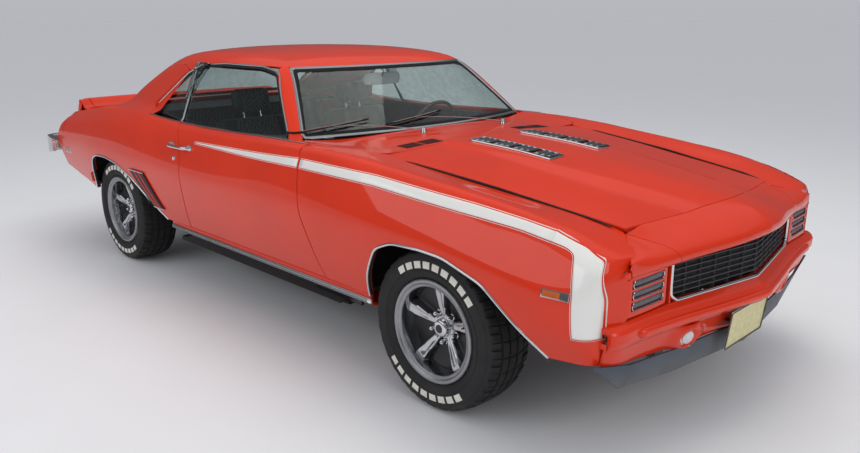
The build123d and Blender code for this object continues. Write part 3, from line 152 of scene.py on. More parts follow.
def faired(xs, ys, at, width):
    """The spline through a table, averaged under a bell of the given width, so that highlights run straight."""
    fine, weight = bell(21, 2.5)
    lo, hi = min(xs), max(xs)
    at = np.asarray(at, float)
    near = at[..., None] + fine * width
    near = np.where(near < lo, 2 * lo - near, near)
    over = near > hi
    near = np.where(over, 2 * hi - near, near)
    low = (at[..., None] + fine * width) < lo
    value = spline(xs, ys, near)
    ends = spline(xs, ys, np.array([lo, hi]))
    value = np.where(low[..., None], 2 * ends[0] - value, value)
    value = np.where(over[..., None], 2 * ends[1] - value, value)
    return np.einsum("...kc,k->...c", value, weight)


def resample(points, count):
    """Points evenly spaced by length along a polyline."""
    points = np.asarray(points, float)
    run = np.concatenate([[0], np.cumsum(np.linalg.norm(np.diff(points, axis=0), axis=1))])
    at = np.linspace(0, run[-1], count)
    return np.stack([np.interp(at, run, points[:, k]) for k in range(points.shape[1])], 1)


def rounded(points, count, radius):
    """A polyline with its corners rounded: positions averaged under a bell along its length, ends kept."""
    fine = resample(points, 1201)
    length = np.linalg.norm(np.diff(fine, axis=0), axis=1).sum()
    reach = max(1, int(radius / length * 1200))
    kernel = bell(2 * reach + 1, 2.2)[1]
    mirrored_low = 2 * fine[0] - fine[reach:0:-1]
    mirrored_high = 2 * fine[-1] - fine[-2:-reach - 2:-1]
    padded = np.vstack([mirrored_low, fine, mirrored_high])
    smooth = np.stack([np.convolve(padded[:, k], kernel, "valid") for k in range(fine.shape[1])], 1)
    return resample(smooth, count)


def joined(*curves):
    """Curves end to end, without the repeated points."""
    return np.vstack([curves[0]] + [c[1:] for c in curves[1:]])


def between(curve_a, curve_b, count, ease=0.0):
    """Grid of straight lines from one curve to another; ease crowds the rows towards both."""
    s = np.linspace(0, 1, count)
    s = s + ease * np.sin(2 * pi * (s - 0.5)) / (2 * pi)
    s = (s - s[0]) / (s[-1] - s[0])
    return curve_a[None] * (1 - s)[:, None, None] + curve_b[None] * s[:, None, None]


def blend_max(a, b, width):
    """The larger of two fields, with a rounded fillet of the given width where they are alike."""
    near = np.clip(1 - np.abs(a - b) / width, 0, 1)
    return np.maximum(a, b) + width / 4 * near ** 2


def blend_min(a, b, width):
    """The smaller of two fields, with a rounded edge."""
    return -blend_max(-a, -b, width)


# ---------------------------------------------------------------- the body's outer surface

# columns: place along the car; then inboard distance and height of the sill, the low line, the
# crease, the shoulder, the peak and the top seam, in millimetres
SIDE_TABLE = [
    (R(-900), (106, 457), (82, 541), (50, 664), (77, 772), (150, 836), (222, 846)),
    (R(-880), (105, 455), (80, 540), (48, 664), (75, 775), (149, 840), (222, 849)),
    (R(-457), (85, 400), (55, 520), (22, 680), (55, 822), (135, 898), (225, 912)),
    (R(-283), (60, 385), (42, 500), (12, 686), (48, 840), (130, 922), (225, 937)),
    (R(0), (62, 380), (33, 480), (5, 690), (40, 858), (122, 946), (225, 958)),
    (R(408), (66, 380), (36, 480), (3, 688), (42, 866), (102, 944), (235, 960)),
    (R(817), (70, 380), (37, 480), (3, 683), (43, 850), (84, 922), (240, 942)),
    (F(-1350), (70, 380), (37, 480), (2, 681), (40, 851), (76, 922), (245, 942)),
    (F(-800), (70, 380), (37, 480), (2, 680), (36, 862), (72, 938), (250, 950)),
    (F(-700), (70, 380), (37, 480), (3, 680), (40, 861), (76, 938), (256, 943)),
    (F(-300), (72, 380), (38, 480), (4, 679), (54, 850), (102, 918), (292, 898)),
    (F(100), (74, 380), (38, 480), (7, 674), (66, 818), (117, 881), (328, 850)),
    (F(500), (80, 392), (34, 492), (25, 630), (80, 758), (132, 826), (364, 802)),
    (F(640), (88, 402), (46, 495), (44, 610), (80, 728), (134, 783), (362, 772)),
    (F(750), (92, 410), (58, 500), (57, 602), (78, 680), (136, 730), (300, 724)),
    (F(830), (96, 418), (63, 502), (62, 600), (86, 650), (136, 696), (300, 690)),
]
AXIS_HEIGHT = 0.55
ALONG = np.linspace(R(-900), F(830), 640)
ANGLES = np.radians(np.linspace(-34, 92, 505))


def side_sections():
    """Radius of the body side about the line y 0, z 0.55: each row of the table is faired along the car,
    a cubic and a softened polyline through the six points are averaged, and the result is read by angle."""
    places = np.array([row[0] for row in SIDE_TABLE])
    table = np.array([np.ravel(row[1:]) for row in SIDE_TABLE]) / 1000
    rows = faired(places, table, ALONG, 0.085).reshape(len(ALONG), 6, 2)
    points = np.stack([HALF_WIDTH - rows[..., 0], rows[..., 1]], -1)
    foot = points[:, :1] + (points[:, :1] - points[:, 1:2]) * np.array([1.3, 1.3])
    middle = np.stack([np.zeros(len(ALONG)), points[:, -1, 1] + 0.004], -1)[:, None]
    points = np.concatenate([foot, points, middle], 1)
    knots = np.arange(8.0)
    t = np.linspace(0, 7, 281)
    curved, straight = spline(knots, np.eye(8), t), corner_weights(knots, t, 13, 0.11)
    share = np.interp(t, [0, 4, 5.4, 7], [0.55, 0.55, 0.25, 0.0])[:, None]
    profile = np.einsum("tk,mkc->mtc", curved * share + straight * (1 - share), points)
    angle = np.arctan2(profile[..., 1] - AXIS_HEIGHT, profile[..., 0])
    radius = np.hypot(profile[..., 0], profile[..., 1] - AXIS_HEIGHT)
    angle = np.maximum.accumulate(angle, axis=1)
    return np.array([np.interp(ANGLES, a, r) for a, r in zip(angle, radius)])


SIDE_RADIUS = side_sections()


def cubic_weights(s):
    """Weights of four neighbours for a cubic that passes through the middle two."""
    return np.stack([-s ** 3 + 2 * s ** 2 - s, 3 * s ** 3 - 5 * s ** 2 + 2,
                     -3 * s ** 3 + 4 * s ** 2 + s, s ** 3 - s ** 2], -1) / 2


def side_radius(x, angle):
    """The table of radii read between its rows with a cubic both ways."""
    i = np.clip((x - ALONG[0]) / (ALONG[1] - ALONG[0]), 1, len(ALONG) - 2.001)
    j = np.clip((angle - ANGLES[0]) / (ANGLES[1] - ANGLES[0]), 1, len(ANGLES) - 2.001)
    i0, j0 = i.astype(int), j.astype(int)
    wi, wj = cubic_weights(i - i0), cubic_weights(j - j0)
    total = 0
    for a in range(4):
        row = np.clip(i0 - 1 + a, 0, len(ALONG) - 1)
        for b in range(4):
            total = total + wi[..., a] * wj[..., b] * SIDE_RADIUS[row, np.clip(j0 - 1 + b, 0, len(ANGLES) - 1)]
    return total


ROOF_LINE = np.array([
    (R(200), 1.2262), (R(300), 1.2610), (R(400), 1.2880), (R(520), 1.3070), (R(660), 1.3170),
    (R(840), 1.3218), (F(-1640), 1.3215), (F(-1500), 1.3150), (F(-1380), 1.3040), (F(-1280), 1.2870),
    (F(-1180), 1.2600), (F(-1100), 1.2310),
])


def glasshouse(x, y, z):
    """Depth inside the upper body: the least of the depths behind the side glass, windshield, rear window
    and roof surfaces, with the edges between them rounded."""
    y = np.abs(y)
    rise = z - 0.93
    places = [R(-420), R(-100), R(300), R(793), R(1300), F(-925), F(-700)]
    low = spline(places, [0.622, 0.708, 0.786, 0.815, 0.817, 0.803, 0.770], x)[..., 0]
    lean = spline(places, [0.360, 0.500, 0.570, 0.480, 0.495, 0.560, 0.560], x)[..., 0]
    side = (low - lean * rise - 0.10 * rise ** 2 - y) * 0.90
    front = (F(-795) - 1.2013 * rise - 0.212 * y ** 2 + 0.10 * rise * (0.31 - rise) - x) * 0.64
    back = (x - (R(-262) + 1.50 * rise + 0.20 * rise ** 2 + 0.17 * y ** 2 * np.clip(rise / 0.3, 0, 1))) * 0.55
    top = faired(ROOF_LINE[:, 0], ROOF_LINE[:, 1], x, 0.05)[..., 0] - 0.060 * y ** 2 - 0.10 * y ** 4 - z
    depth = blend_min(top, side, 0.075)
    depth = blend_min(depth, front, 0.035)
    return blend_min(depth, back, 0.060) - 2.5 * np.clip(0.905 - z, 0, 1)


def depth_inside(x, y, z):
    """Depth inside the whole body: side sections and upper body joined with a fillet."""
    angle = np.arctan2(z - AXIS_HEIGHT, np.abs(y))
    side = (side_radius(x, angle) - np.hypot(y, z - AXIS_HEIGHT)) * 0.97
    nose = (F(757) - x - 0.361 * (np.abs(y) - 0.704)) * 0.94
    side = np.where(x > F(450), blend_min(side, nose, 0.045), side)
    fillet = np.interp(x, [R(-330), R(-150), R(380), R(560)], [0.050, 0.085, 0.075, 0.030])
    return blend_max(side, glasshouse(x, y, z), fillet)


def march(start, way, reach, field, steps=22):
    """Where each ray from inside a field of depths first leaves it, by halving."""
    low, high = np.zeros(start.shape[:-1]), np.full(start.shape[:-1], float(reach))
    for _ in range(steps):
        middle = (low + high) / 2
        p = start + way * middle[..., None]
        within = field(p[..., 0], p[..., 1], p[..., 2]) > 0
        low, high = np.where(within, middle, low), np.where(within, high, middle)
    return start + way * low[..., None]


def skin(x, angle, steps=22):
    """Point of the outer surface at a place along the car and an angle about its long axis."""
    x, angle = np.broadcast_arrays(np.asarray(x, float), np.asarray(angle, float))
    start = np.stack([x, np.zeros_like(x), np.full_like(x, AXIS_HEIGHT)], -1)
    way = np.stack([np.zeros_like(x), np.cos(angle), np.sin(angle)], -1)
    return march(start, way, 1.3, depth_inside, steps)


def crest_angles():
    """Angle of the fender's crest at places from the nose back to the door."""
    x, angle = np.meshgrid(np.linspace(F(-780), F(756), 160), np.radians(np.linspace(8, 40, 120)), indexing="ij")
    highest = angle[0, np.argmax(skin(x, angle)[..., 2], axis=1)]
    return x[:, 0], np.convolve(np.pad(highest, 5, "edge"), np.hanning(13)[1:-1] / 6.0, "valid") - radians(0.5)


CREST_PLACES, CREST_ANGLES = crest_angles()


HALVINGS = 15


def halved(low, high, before):
    """The angle between two at which a test turns false, by halving."""
    for _ in range(HALVINGS):
        middle = (low + high) / 2
        near = before(middle)
        low, high = np.where(near, middle, low), np.where(near, high, middle)
    return (low + high) / 2


def angle_at(x, z):
    """The angle at which the outer surface reaches a height, by halving; ahead of the doors no higher than the
    fender's crest."""
    x, z = np.broadcast_arrays(np.asarray(x, float), np.asarray(z, float))
    high = np.where(x < F(-780), radians(66), np.interp(x, CREST_PLACES, CREST_ANGLES))
    return halved(np.full(x.shape, radians(-33)), high, lambda angle: skin(x, angle, HALVINGS)[..., 2] < z)


def angle_to(x, y):
    """The angle at which the upper side of the surface comes in to a distance from the middle."""
    x, y = np.broadcast_arrays(np.asarray(x, float), np.asarray(y, float))
    return halved(np.full(x.shape, radians(18)), np.full(x.shape, radians(90)),
                  lambda angle: skin(x, angle, HALVINGS)[..., 1] > y)


def skin_height(x, y):
    """Height of the upper side of the surface at a place in plan."""
    return skin(x, angle_to(x, np.abs(y)))[..., 2]


def by_height(points):
    """Outline points (x, z) turned to (x, angle)."""
    points = np.asarray(points, float)
    return np.stack([points[:, 0], angle_at(points[:, 0], points[:, 1])], 1)


def by_width(points):
    """Outline points (x, y) turned to (x, angle)."""
    points = np.asarray(points, float)
    return np.stack([points[:, 0], angle_to(points[:, 0], points[:, 1])], 1)


# ---------------------------------------------------------------- meshes

def grid_normals(grid):
    """Unit normals of a grid of points, from its differences both ways."""
    normal = np.cross(np.gradient(grid, axis=1), np.gradient(grid, axis=0))
    size = np.linalg.norm(normal, axis=-1, keepdims=True)
    return normal / np.where(size < 1e-12, 1, size)


def facing(grid, way):
    """The grid, with its rows turned round if its faces look away from a direction."""
    return grid if np.sum(grid_normals(grid).mean((0, 1)) * np.asarray(way)) > 0 else grid[::-1]


def faces_of(rows, columns, offset=0, wrap=False):
    """Quads of a grid; wrap closes it across the last column."""
    i, j = np.meshgrid(np.arange(rows - 1), np.arange(columns if wrap else columns - 1), indexing="ij")
    k = (j + 1) % columns
    quads = np.stack([i * columns + j, i * columns + k, (i + 1) * columns + k, (i + 1) * columns + j], -1)
    return quads.reshape(-1, 4) + offset


# the record's slot that goes with each finish, where it has one
SLOTS = {
    "paint": "body_paint", "chrome": "chrome", "bright": "chrome", "mirror": "chrome", "plastic": "black_plastic",
    "bar": "black_plastic", "dial": "black_plastic", "dam": "black_plastic", "black": "black_paint",
    "under": "black_paint", "vinyl": "vinyl", "cloth": "vinyl", "carpet": "vinyl", "glass": "glass",
    "ribs": "glass", "clear_lens": "glass", "clear_pane": "glass", "red_lens": "red_lens", "steel": "steel",
    "plate": "plate_blank", "polished": "wheel_metal", "dull": "wheel_metal", "iron": "cast_iron",
    "orange_block": "cast_iron",
}
PANEL = 0.001                               # thickness of the skins


def build(name, parts, finish, body="body", node=None, slot=None, sharp=40, wall=0.0, mirror=False):
    """A mesh object from parts of (points, faces) or (points, faces, mark): welded, shaded smooth with sharp edges
    past an angle, riding on its body and standing for its node. A mark picks one of several finishes."""
    finishes = [finish] if isinstance(finish, str) else finish
    points, faces, marks = [], [], []
    total = 0
    for part in parts:
        p, f = np.asarray(part[0], float).reshape(-1, 3), part[1]
        points.append(p)
        even = isinstance(f, np.ndarray)
        faces.extend((f + total).tolist() if even else [[k + total for k in face] for face in f])
        marks.extend([part[2] if len(part) > 2 else 0] * len(f))
        total += len(p)
    points = np.vstack(points)
    if mirror:
        points = points * MIRRORED
        faces = [face[::-1] for face in faces]
    mesh = bpy.data.meshes.new(name)
    mesh.from_pydata(points.tolist(), [], faces)
    for each in finishes:
        mesh.materials.append(M[each])
    mesh.polygons.foreach_set("material_index", marks)
    mesh.validate()
    work = bmesh.new()
    work.from_mesh(mesh)
    bmesh.ops.remove_doubles(work, verts=work.verts, dist=1e-5)
    bmesh.ops.dissolve_degenerate(work, dist=1e-7, edges=work.edges)
    work.to_mesh(mesh)
    work.free()
    mesh.polygons.foreach_set("use_smooth", [True] * len(mesh.polygons))
    mesh.set_sharp_from_angle(angle=radians(sharp))
    piece = bpy.data.objects.new(name, mesh)
    bpy.context.scene.collection.objects.link(piece)
    if wall:
        shell = piece.modifiers.new("wall", "SOLIDIFY")
        shell.thickness, shell.offset = wall, -1
    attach(piece, body)
    if node:
        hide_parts(node)
    slot = slot or SLOTS.get(finishes[0])
    return piece


def pair(name, parts, finish, body="body", node=None, **settings):
    """The same piece on the car's left and right: @ in a body or a node stands for the side."""
    return [build(name + "_" + side, parts, finish, body.replace("@", side), node and node.replace("@", side),
                  mirror=sign < 0, **settings) for side, sign in SIDES]


def with_rim(grid, depth, edges="ablr", lip=0.0013):
    """A grid with its edges turned in: two short rows round the corner and one at full depth.
    a and b are the first and last rows, l and r the first and last columns."""
    normal = grid_normals(grid)
    outward = np.array([0.0, 0.7, 1.0, 1.0]) * lip
    inward = np.array([0.0, 0.7 * lip, 2.4 * lip, depth])

    def plan(count, first, last):
        before, after = ([3, 2, 1] if first else []), ([1, 2, 3] if last else [])
        base = [0] * len(before) + list(range(count)) + [count - 1] * len(after)
        way = [-1] * len(before) + [0] * count + [1] * len(after)
        return np.array(base), np.array(before + [0] * count + after), np.array(way)

    rows, row_step, row_way = plan(grid.shape[0], "a" in edges, "b" in edges)
    cols, col_step, col_way = plan(grid.shape[1], "l" in edges, "r" in edges)
    point = grid[rows][:, cols]
    inner = normal[np.clip(rows, 1, grid.shape[0] - 2)][:, np.clip(cols, 1, grid.shape[1] - 2)]
    along, across = np.gradient(grid, axis=0), np.gradient(grid, axis=1)
    along /= np.maximum(np.linalg.norm(along, axis=-1, keepdims=True), 1e-9)
    across /= np.maximum(np.linalg.norm(across, axis=-1, keepdims=True), 1e-9)
    point = point + along[rows][:, cols] * (outward[row_step] * row_way)[:, None, None]
    point = point + across[rows][:, cols] * (outward[col_step] * col_way)[None, :, None]
    return point - inner * inward[np.maximum(row_step[:, None], col_step[None])][..., None]


def sheet_part(grid, mark=0):
    """A grid as a part for build()."""
    return grid.reshape(-1, 3), faces_of(*grid.shape[:2]), mark


def frames_along(path, up, closed):
    """Side and up vectors at each point of a path, kept square to it."""
    path = np.asarray(path, float)
    if closed:
        way = np.roll(path, -1, 0) - np.roll(path, 1, 0)
    else:
        way = np.gradient(path, axis=0)
    way /= np.maximum(np.linalg.norm(way, axis=1, keepdims=True), 1e-9)
    up = np.broadcast_to(np.asarray(up, float), way.shape)
    side = np.cross(up, way)
    side /= np.maximum(np.linalg.norm(side, axis=1, keepdims=True), 1e-9)
    return side, np.cross(way, side)


def outward(points, faces):
    """A closed part for build(), with its faces turned outward, told by the sign of its volume."""
    quads = np.array([face for face in faces if len(face) == 4])
    corner = points[quads] - points.mean(0)
    a, b, c, d = (corner[:, k] for k in range(4))
    volume = np.sum(np.cross(a, b) * c) + np.sum(np.cross(a, c) * d)
    if volume < 0:
        faces = [list(face)[::-1] for face in faces]
    return points, faces


def swept(path, section, up=(0, 0, 1), closed=False, scale=None):
    """A closed section of (across, up) points carried along a path, its ends capped; scale sizes it at each point."""
    path = np.asarray(path, float)
    section = np.asarray(section, float)
    side, top = frames_along(path, up, closed)
    size = np.ones(len(path)) if scale is None else np.asarray(scale, float)
    grid = (path[:, None] + side[:, None] * (section[None, :, :1] * size[:, None, None])
            + top[:, None] * (section[None, :, 1:] * size[:, None, None]))
    if closed:
        grid = np.concatenate([grid, grid[:1]])
    n, m = grid.shape[:2]
    faces = faces_of(n, m, wrap=True).tolist()
    if not closed:
        faces += [list(range(m))[::-1], list(range((n - 1) * m, n * m))]
    return outward(grid.reshape(-1, 3), faces)


def oval(wide, high, count, power=1.0):
    """A round or rounded-square section: power below 1 squares it."""
    a = np.linspace(0, 2 * pi, count, endpoint=False)
    return np.stack([wide * np.sign(np.cos(a)) * np.abs(np.cos(a)) ** power,
                     high * np.sign(np.sin(a)) * np.abs(np.sin(a)) ** power], 1)


def turned(profile, count, centre=(0, 0, 0), closed=False):
    """A profile of (radius, along y) points turned round the y axis through a centre."""
    profile = np.asarray(profile, float)
    a = np.linspace(0, 2 * pi, count, endpoint=False)
    ring = np.stack([np.cos(a), np.zeros(count), np.sin(a)], 1)
    grid = profile[:, None, :1] * ring[None] + profile[:, None, 1:] * np.array([0, 1.0, 0]) + np.asarray(centre)
    if closed:
        grid = np.concatenate([grid, grid[:1]])
    return outward(grid.reshape(-1, 3), faces_of(len(grid), count, wrap=True).tolist())


def upright(profile, centre, count):
    """A profile of (radius, height) turned about an upright axis."""
    points, faces = turned(profile, count)
    return outward(points[:, [0, 2, 1]] + np.asarray(centre), faces)


def boxed(low, high, bulge=0.0, count=3):
    """A block between two corners with a fine grid on each face, rounded by a power law towards a pillow."""
    low, high = np.asarray(low, float), np.asarray(high, float)
    u, v = lattice((-1, 1, count), (-1, 1, count))
    one = np.ones_like(u)
    sides = [np.stack(c, -1) for c in (
        (one, u, v), (-one, v, u), (v, one, u), (u, -one, v), (u, v, one), (v, u, -one))]
    points = np.stack(sides)
    if bulge:
        size = np.linalg.norm(points, axis=-1, keepdims=True)
        points = points * (1 - bulge) + points / size * 1.3 * bulge
    points = (low + high) / 2 + points * (high - low) / 2
    faces = np.concatenate([faces_of(count, count, k * count * count) for k in range(6)])
    return outward(points.reshape(-1, 3), faces.tolist())


# ---------------------------------------------------------------- materials

def linear(code):
    """Linear colour of an sRGB hex code."""
    value = np.array([int(code[k:k + 2], 16) for k in (0, 2, 4)]) / 255
    value = np.where(value <= 0.04045, value / 12.92, ((value + 0.055) / 1.055) ** 2.4)
    return (*value.tolist(), 1.0)


def add_node(tree, kind, links=(), **settings):
    """One node: a setting named after a socket (s_Name) sets its value, any other a property; links are
    (from socket, own socket) pairs."""
    node = tree.nodes.new(kind)
    for key, value in settings.items():
        if key.startswith("s_"):
            node.inputs[key[2:].replace("_", " ")].default_value = value
        else:
            setattr(node, key, value)
    for source, socket in links:
        tree.links.new(source, node.inputs[socket])
    return node


def ramp(tree, source, stops):
    """A colour ramp: stops are (place, linear colour)."""
    node = add_node(tree, "ShaderNodeValToRGB", [(source, "Fac")])
    while len(node.color_ramp.elements) < len(stops):
        node.color_ramp.elements.new(0.5)
    for element, (place, colour) in zip(node.color_ramp.elements, stops):
        element.position, element.color = place, colour
    return node.outputs["Color"]


def surface(name, colour, roughness, metallic=0.0, tone=0.06, tone_mm=40.0, grain_mm=1.0, grain=0.02,
            rough_spread=0.05, coat=0.0, coat_roughness=0.03, ior=1.5, sheen=0.0, dirt=None):
    """A finish: colour varied by a slow noise, roughness by a finer one, and a bump of the grain's real size.
    dirt is (low, high, colour, share): a veil of dust that fades out from a low to a high level."""
    material = bpy.data.materials.new(name)
    material.use_nodes = True
    tree = material.node_tree
    shader = tree.nodes["Principled BSDF"]
    place = add_node(tree, "ShaderNodeTexCoord").outputs["Object"]
    slow = add_node(tree, "ShaderNodeTexNoise", [(place, "Vector")], s_Scale=1000 / tone_mm, s_Detail=3.0)
    fine = add_node(tree, "ShaderNodeTexNoise", [(place, "Vector")], s_Scale=1000 / grain_mm, s_Detail=2.0)
    base = np.array(linear(colour)[:3])
    dark, light = (tuple(np.clip(base * share, 0, 1)) + (1.0,) for share in (1 - tone, 1 + tone))
    tint = ramp(tree, slow.outputs["Fac"], [(0.3, dark), (0.7, light)])
    if dirt:
        low, high, dust, share = dirt
        height = add_node(tree, "ShaderNodeSeparateXYZ", [(place, "Vector")]).outputs["Z"]
        band = add_node(tree, "ShaderNodeMapRange", [(height, "Value")], clamp=True)
        band.inputs["From Min"].default_value, band.inputs["From Max"].default_value = high, low
        band.inputs["To Max"].default_value = share
        veil = add_node(tree, "ShaderNodeMath", [(band.outputs["Result"], 0), (slow.outputs["Fac"], 1)],
                        operation="MULTIPLY")
        mixed = add_node(tree, "ShaderNodeMix", [(veil.outputs[0], 0), (tint, 6)], data_type="RGBA")
        mixed.inputs[7].default_value = linear(dust)
        tint = mixed.outputs[2]
    tree.links.new(tint, shader.inputs["Base Color"])
    rough = add_node(tree, "ShaderNodeMapRange", [(fine.outputs["Fac"], "Value")])
    rough.inputs["To Min"].default_value = max(roughness - rough_spread, 0.02)
    rough.inputs["To Max"].default_value = min(roughness + rough_spread, 1)
    tree.links.new(rough.outputs["Result"], shader.inputs["Roughness"])
    bump = add_node(tree, "ShaderNodeBump", [(fine.outputs["Fac"], "Height")], s_Strength=grain,
                    s_Distance=grain_mm / 1000)
    tree.links.new(bump.outputs["Normal"], shader.inputs["Normal"])
    shader.inputs["Metallic"].default_value = metallic
    if metallic < 0.5:
        shader.inputs["IOR"].default_value = ior
    shader.inputs["Coat Weight"].default_value = coat
    shader.inputs["Coat Roughness"].default_value = coat_roughness
    shader.inputs["Sheen Weight"].default_value = sheen
    return material


def make_finishes(paint, stripe):
    """All finishes of the car, by short name."""
    m = {}
    # two-stage enamel: deep red-orange under a clear coat, with the faint ripple that sprayed paint keeps
    m["paint"] = surface("sprayed_enamel_red_orange", paint, 0.42, tone=0.05, tone_mm=300, grain_mm=2.5,
                         grain=0.012, coat=0.7, coat_roughness=0.03)
    m["paint"].node_tree.nodes["Principled BSDF"].inputs["Specular IOR Level"].default_value = 0.12
    m["stripe"] = surface("sprayed_enamel_white", stripe, 0.4, tone=0.03, tone_mm=200, grain_mm=2.5,
                          grain=0.01, coat=1.0, coat_roughness=0.05)
    # triple-plated steel: mirror with a faint haze
    m["chrome"] = surface("chrome_plated_steel", "D8D9DB", 0.07, metallic=1.0, tone=0.04, tone_mm=60,
                          grain_mm=4, grain=0.01, rough_spread=0.02)
    m["bright"] = surface("bright_anodised_aluminium", "C9CACC", 0.22, metallic=1.0, tone=0.05, tone_mm=30,
                          grain_mm=0.8, grain=0.03, rough_spread=0.05)
    m["polished"] = surface("polished_wheel_alloy", "C4C5C8", 0.16, metallic=1.0, tone=0.06, tone_mm=50, grain_mm=1.2,
                            grain=0.02, rough_spread=0.06)
    m["dull"] = surface("satin_silver_lacquer", "9C9DA0", 0.38, metallic=0.9, tone=0.06, tone_mm=30, grain_mm=0.9,
                        grain=0.05)
    m["bar"] = surface("grey_anodised_bars", "55575A", 0.45, metallic=0.6, tone=0.06, tone_mm=30, grain_mm=0.9,
                       grain=0.04)
    m["black"] = surface("satin_black_enamel", "17171A", 0.42, tone=0.2, tone_mm=60, grain_mm=1.2, grain=0.04,
                         coat=0.15, coat_roughness=0.3)
    m["under"] = surface("rubberised_underseal", "1B1A1A", 0.85, tone=0.35, tone_mm=50, grain_mm=4, grain=0.5)
    m["steel"] = surface("bare_pressed_steel", "6E6E70", 0.45, metallic=1.0, tone=0.2, tone_mm=50, grain_mm=1.2,
                         grain=0.08, rough_spread=0.15)
    m["ribs"] = surface("ribbed_grey_lens", "5E6166", 0.2, metallic=0.35, tone=0.25, tone_mm=6, grain_mm=2.4,
                        grain=0.3, coat=0.7)
    m["orange_block"] = surface("cast_iron_orange_enamel", "B5421A", 0.45, tone=0.2, tone_mm=60, grain_mm=2.5,
                                grain=0.35, coat=0.2, coat_roughness=0.3)
    m["iron"] = surface("cast_iron_enamel", "3A3532", 0.6, tone=0.25, tone_mm=60, grain_mm=2.5, grain=0.35)
    m["plastic"] = surface("black_moulded_plastic", "1A1A1C", 0.55, tone=0.15, tone_mm=80, grain_mm=1.4,
                           grain=0.15)
    m["dam"] = surface("grey_moulded_urethane", "3A4553", 0.55, tone=0.12, tone_mm=120, grain_mm=1.6, grain=0.15,
                       dirt=(0.27, 0.40, "8A8273", 0.5))
    m["rubber"] = surface("tyre_rubber", "1B1B1C", 0.72, tone=0.25, tone_mm=90, grain_mm=1.5, grain=0.2,
                          dirt=(0.0, 0.12, "6F675B", 0.35))
    m["letter"] = surface("white_sidewall_rubber", "D3D0C6", 0.6, tone=0.08, tone_mm=25, grain_mm=1.2, grain=0.1)
    m["seal"] = surface("window_rubber", "101011", 0.6, tone=0.15, tone_mm=40, grain_mm=1, grain=0.1)
    # vinyl with a pressed leather grain, 2 mm cells
    m["vinyl"] = surface("black_grained_vinyl", "1D1D20", 0.5, tone=0.15, tone_mm=120, grain_mm=2.2, grain=0.25,
                         sheen=0.1)
    m["carpet"] = surface("looped_carpet", "151517", 0.95, tone=0.4, tone_mm=6, grain_mm=3.5, grain=0.9, sheen=0.3)
    m["cloth"] = surface("headliner_cloth", "202024", 0.9, tone=0.15, tone_mm=30, grain_mm=2, grain=0.3, sheen=0.2)
    m["plate"] = surface("painted_plate_cream", "CBC28F", 0.5, tone=0.12, tone_mm=18, grain_mm=1.5, grain=0.06,
                         coat=0.2, coat_roughness=0.3)
    m["amber"] = surface("amber_acrylic", "B9561A", 0.12, tone=0.1, tone_mm=8, grain_mm=2.5, grain=0.25,
                         coat=0.5, ior=1.49)
    m["red_lens"] = surface("red_acrylic", "8E0C10", 0.12, tone=0.15, tone_mm=9, grain_mm=3, grain=0.3, coat=0.6,
                            ior=1.49)
    m["clear_lens"] = surface("ribbed_clear_acrylic", "C9CDD2", 0.15, tone=0.12, tone_mm=7, grain_mm=3.5, grain=0.4,
                              coat=0.6, ior=1.49)
    m["mirror"] = surface("silvered_glass", "C4CACF", 0.04, metallic=1.0, tone=0.02, grain=0.0, rough_spread=0.01)
    m["dial"] = surface("printed_dial", "202326", 0.35, tone=0.1, tone_mm=10, grain=0.02, coat=0.6)
    m["glass"] = glass_finish("laminated_safety_glass", "E6F1EE")
    m["clear_pane"] = glass_finish("clear_instrument_glass", "F4F6F6")
    m["wood"] = wood_finish()
    m["weave"] = weave_finish()
    return m


def glass_finish(name, tint):
    """Thin sheet glass: clear with a faint green cast, mirror-like at the edges of view, with a trace of dust."""
    material = bpy.data.materials.new(name)
    material.use_nodes = True
    tree = material.node_tree
    shader = tree.nodes["Principled BSDF"]
    place = add_node(tree, "ShaderNodeTexCoord").outputs["Object"]
    dust = add_node(tree, "ShaderNodeTexNoise", [(place, "Vector")], s_Scale=30.0, s_Detail=4.0)
    rough = add_node(tree, "ShaderNodeMapRange", [(dust.outputs["Fac"], "Value")])
    rough.inputs["To Min"].default_value, rough.inputs["To Max"].default_value = 0.0, 0.03
    tree.links.new(rough.outputs["Result"], shader.inputs["Roughness"])
    shade = ramp(tree, dust.outputs["Fac"], [(0.3, linear(tint)), (0.75, linear("D9E4E1"))])
    tree.links.new(shade, shader.inputs["Base Color"])
    shader.inputs["Transmission Weight"].default_value = 1.0
    shader.inputs["IOR"].default_value = 1.45
    material.use_transparent_shadow = True
    return material


def wood_finish():
    """Walnut-grained moulded rim: bands 3 mm apart stretched round the wheel, under lacquer."""
    material = surface("walnut_grained_rim", "4A2412", 0.3, tone=0.3, tone_mm=12, grain_mm=1.5, grain=0.05,
                       coat=0.6, coat_roughness=0.1)
    tree = material.node_tree
    place = add_node(tree, "ShaderNodeTexCoord").outputs["Object"]
    bands = add_node(tree, "ShaderNodeTexWave", [(place, "Vector")], s_Scale=52.0, s_Distortion=6.0,
                     s_Detail=2.0, bands_direction="Y")
    tint = ramp(tree, bands.outputs["Fac"], [(0.2, linear("2E140A")), (0.8, linear("6A3A1C"))])
    tree.links.new(tint, tree.nodes["Principled BSDF"].inputs["Base Color"])
    return material


def weave_finish():
    """Woven seat insert: two crossing threads 6 mm apart, each light where it lies on top."""
    material = surface("black_white_woven_vinyl", "38383B", 0.7, tone=0.2, tone_mm=20, grain_mm=1.5, grain=0.2)
    tree = material.node_tree
    place = add_node(tree, "ShaderNodeTexCoord").outputs["Object"]
    checks = add_node(tree, "ShaderNodeTexChecker", [(place, "Vector")], s_Scale=90.0)
    checks.inputs["Color1"].default_value, checks.inputs["Color2"].default_value = linear("6B6B6D"), linear("17171A")
    tree.links.new(checks.outputs["Color"], tree.nodes["Principled BSDF"].inputs["Base Color"])
    return material


M = {}


# ---------------------------------------------------------------- outlines shared by the panels

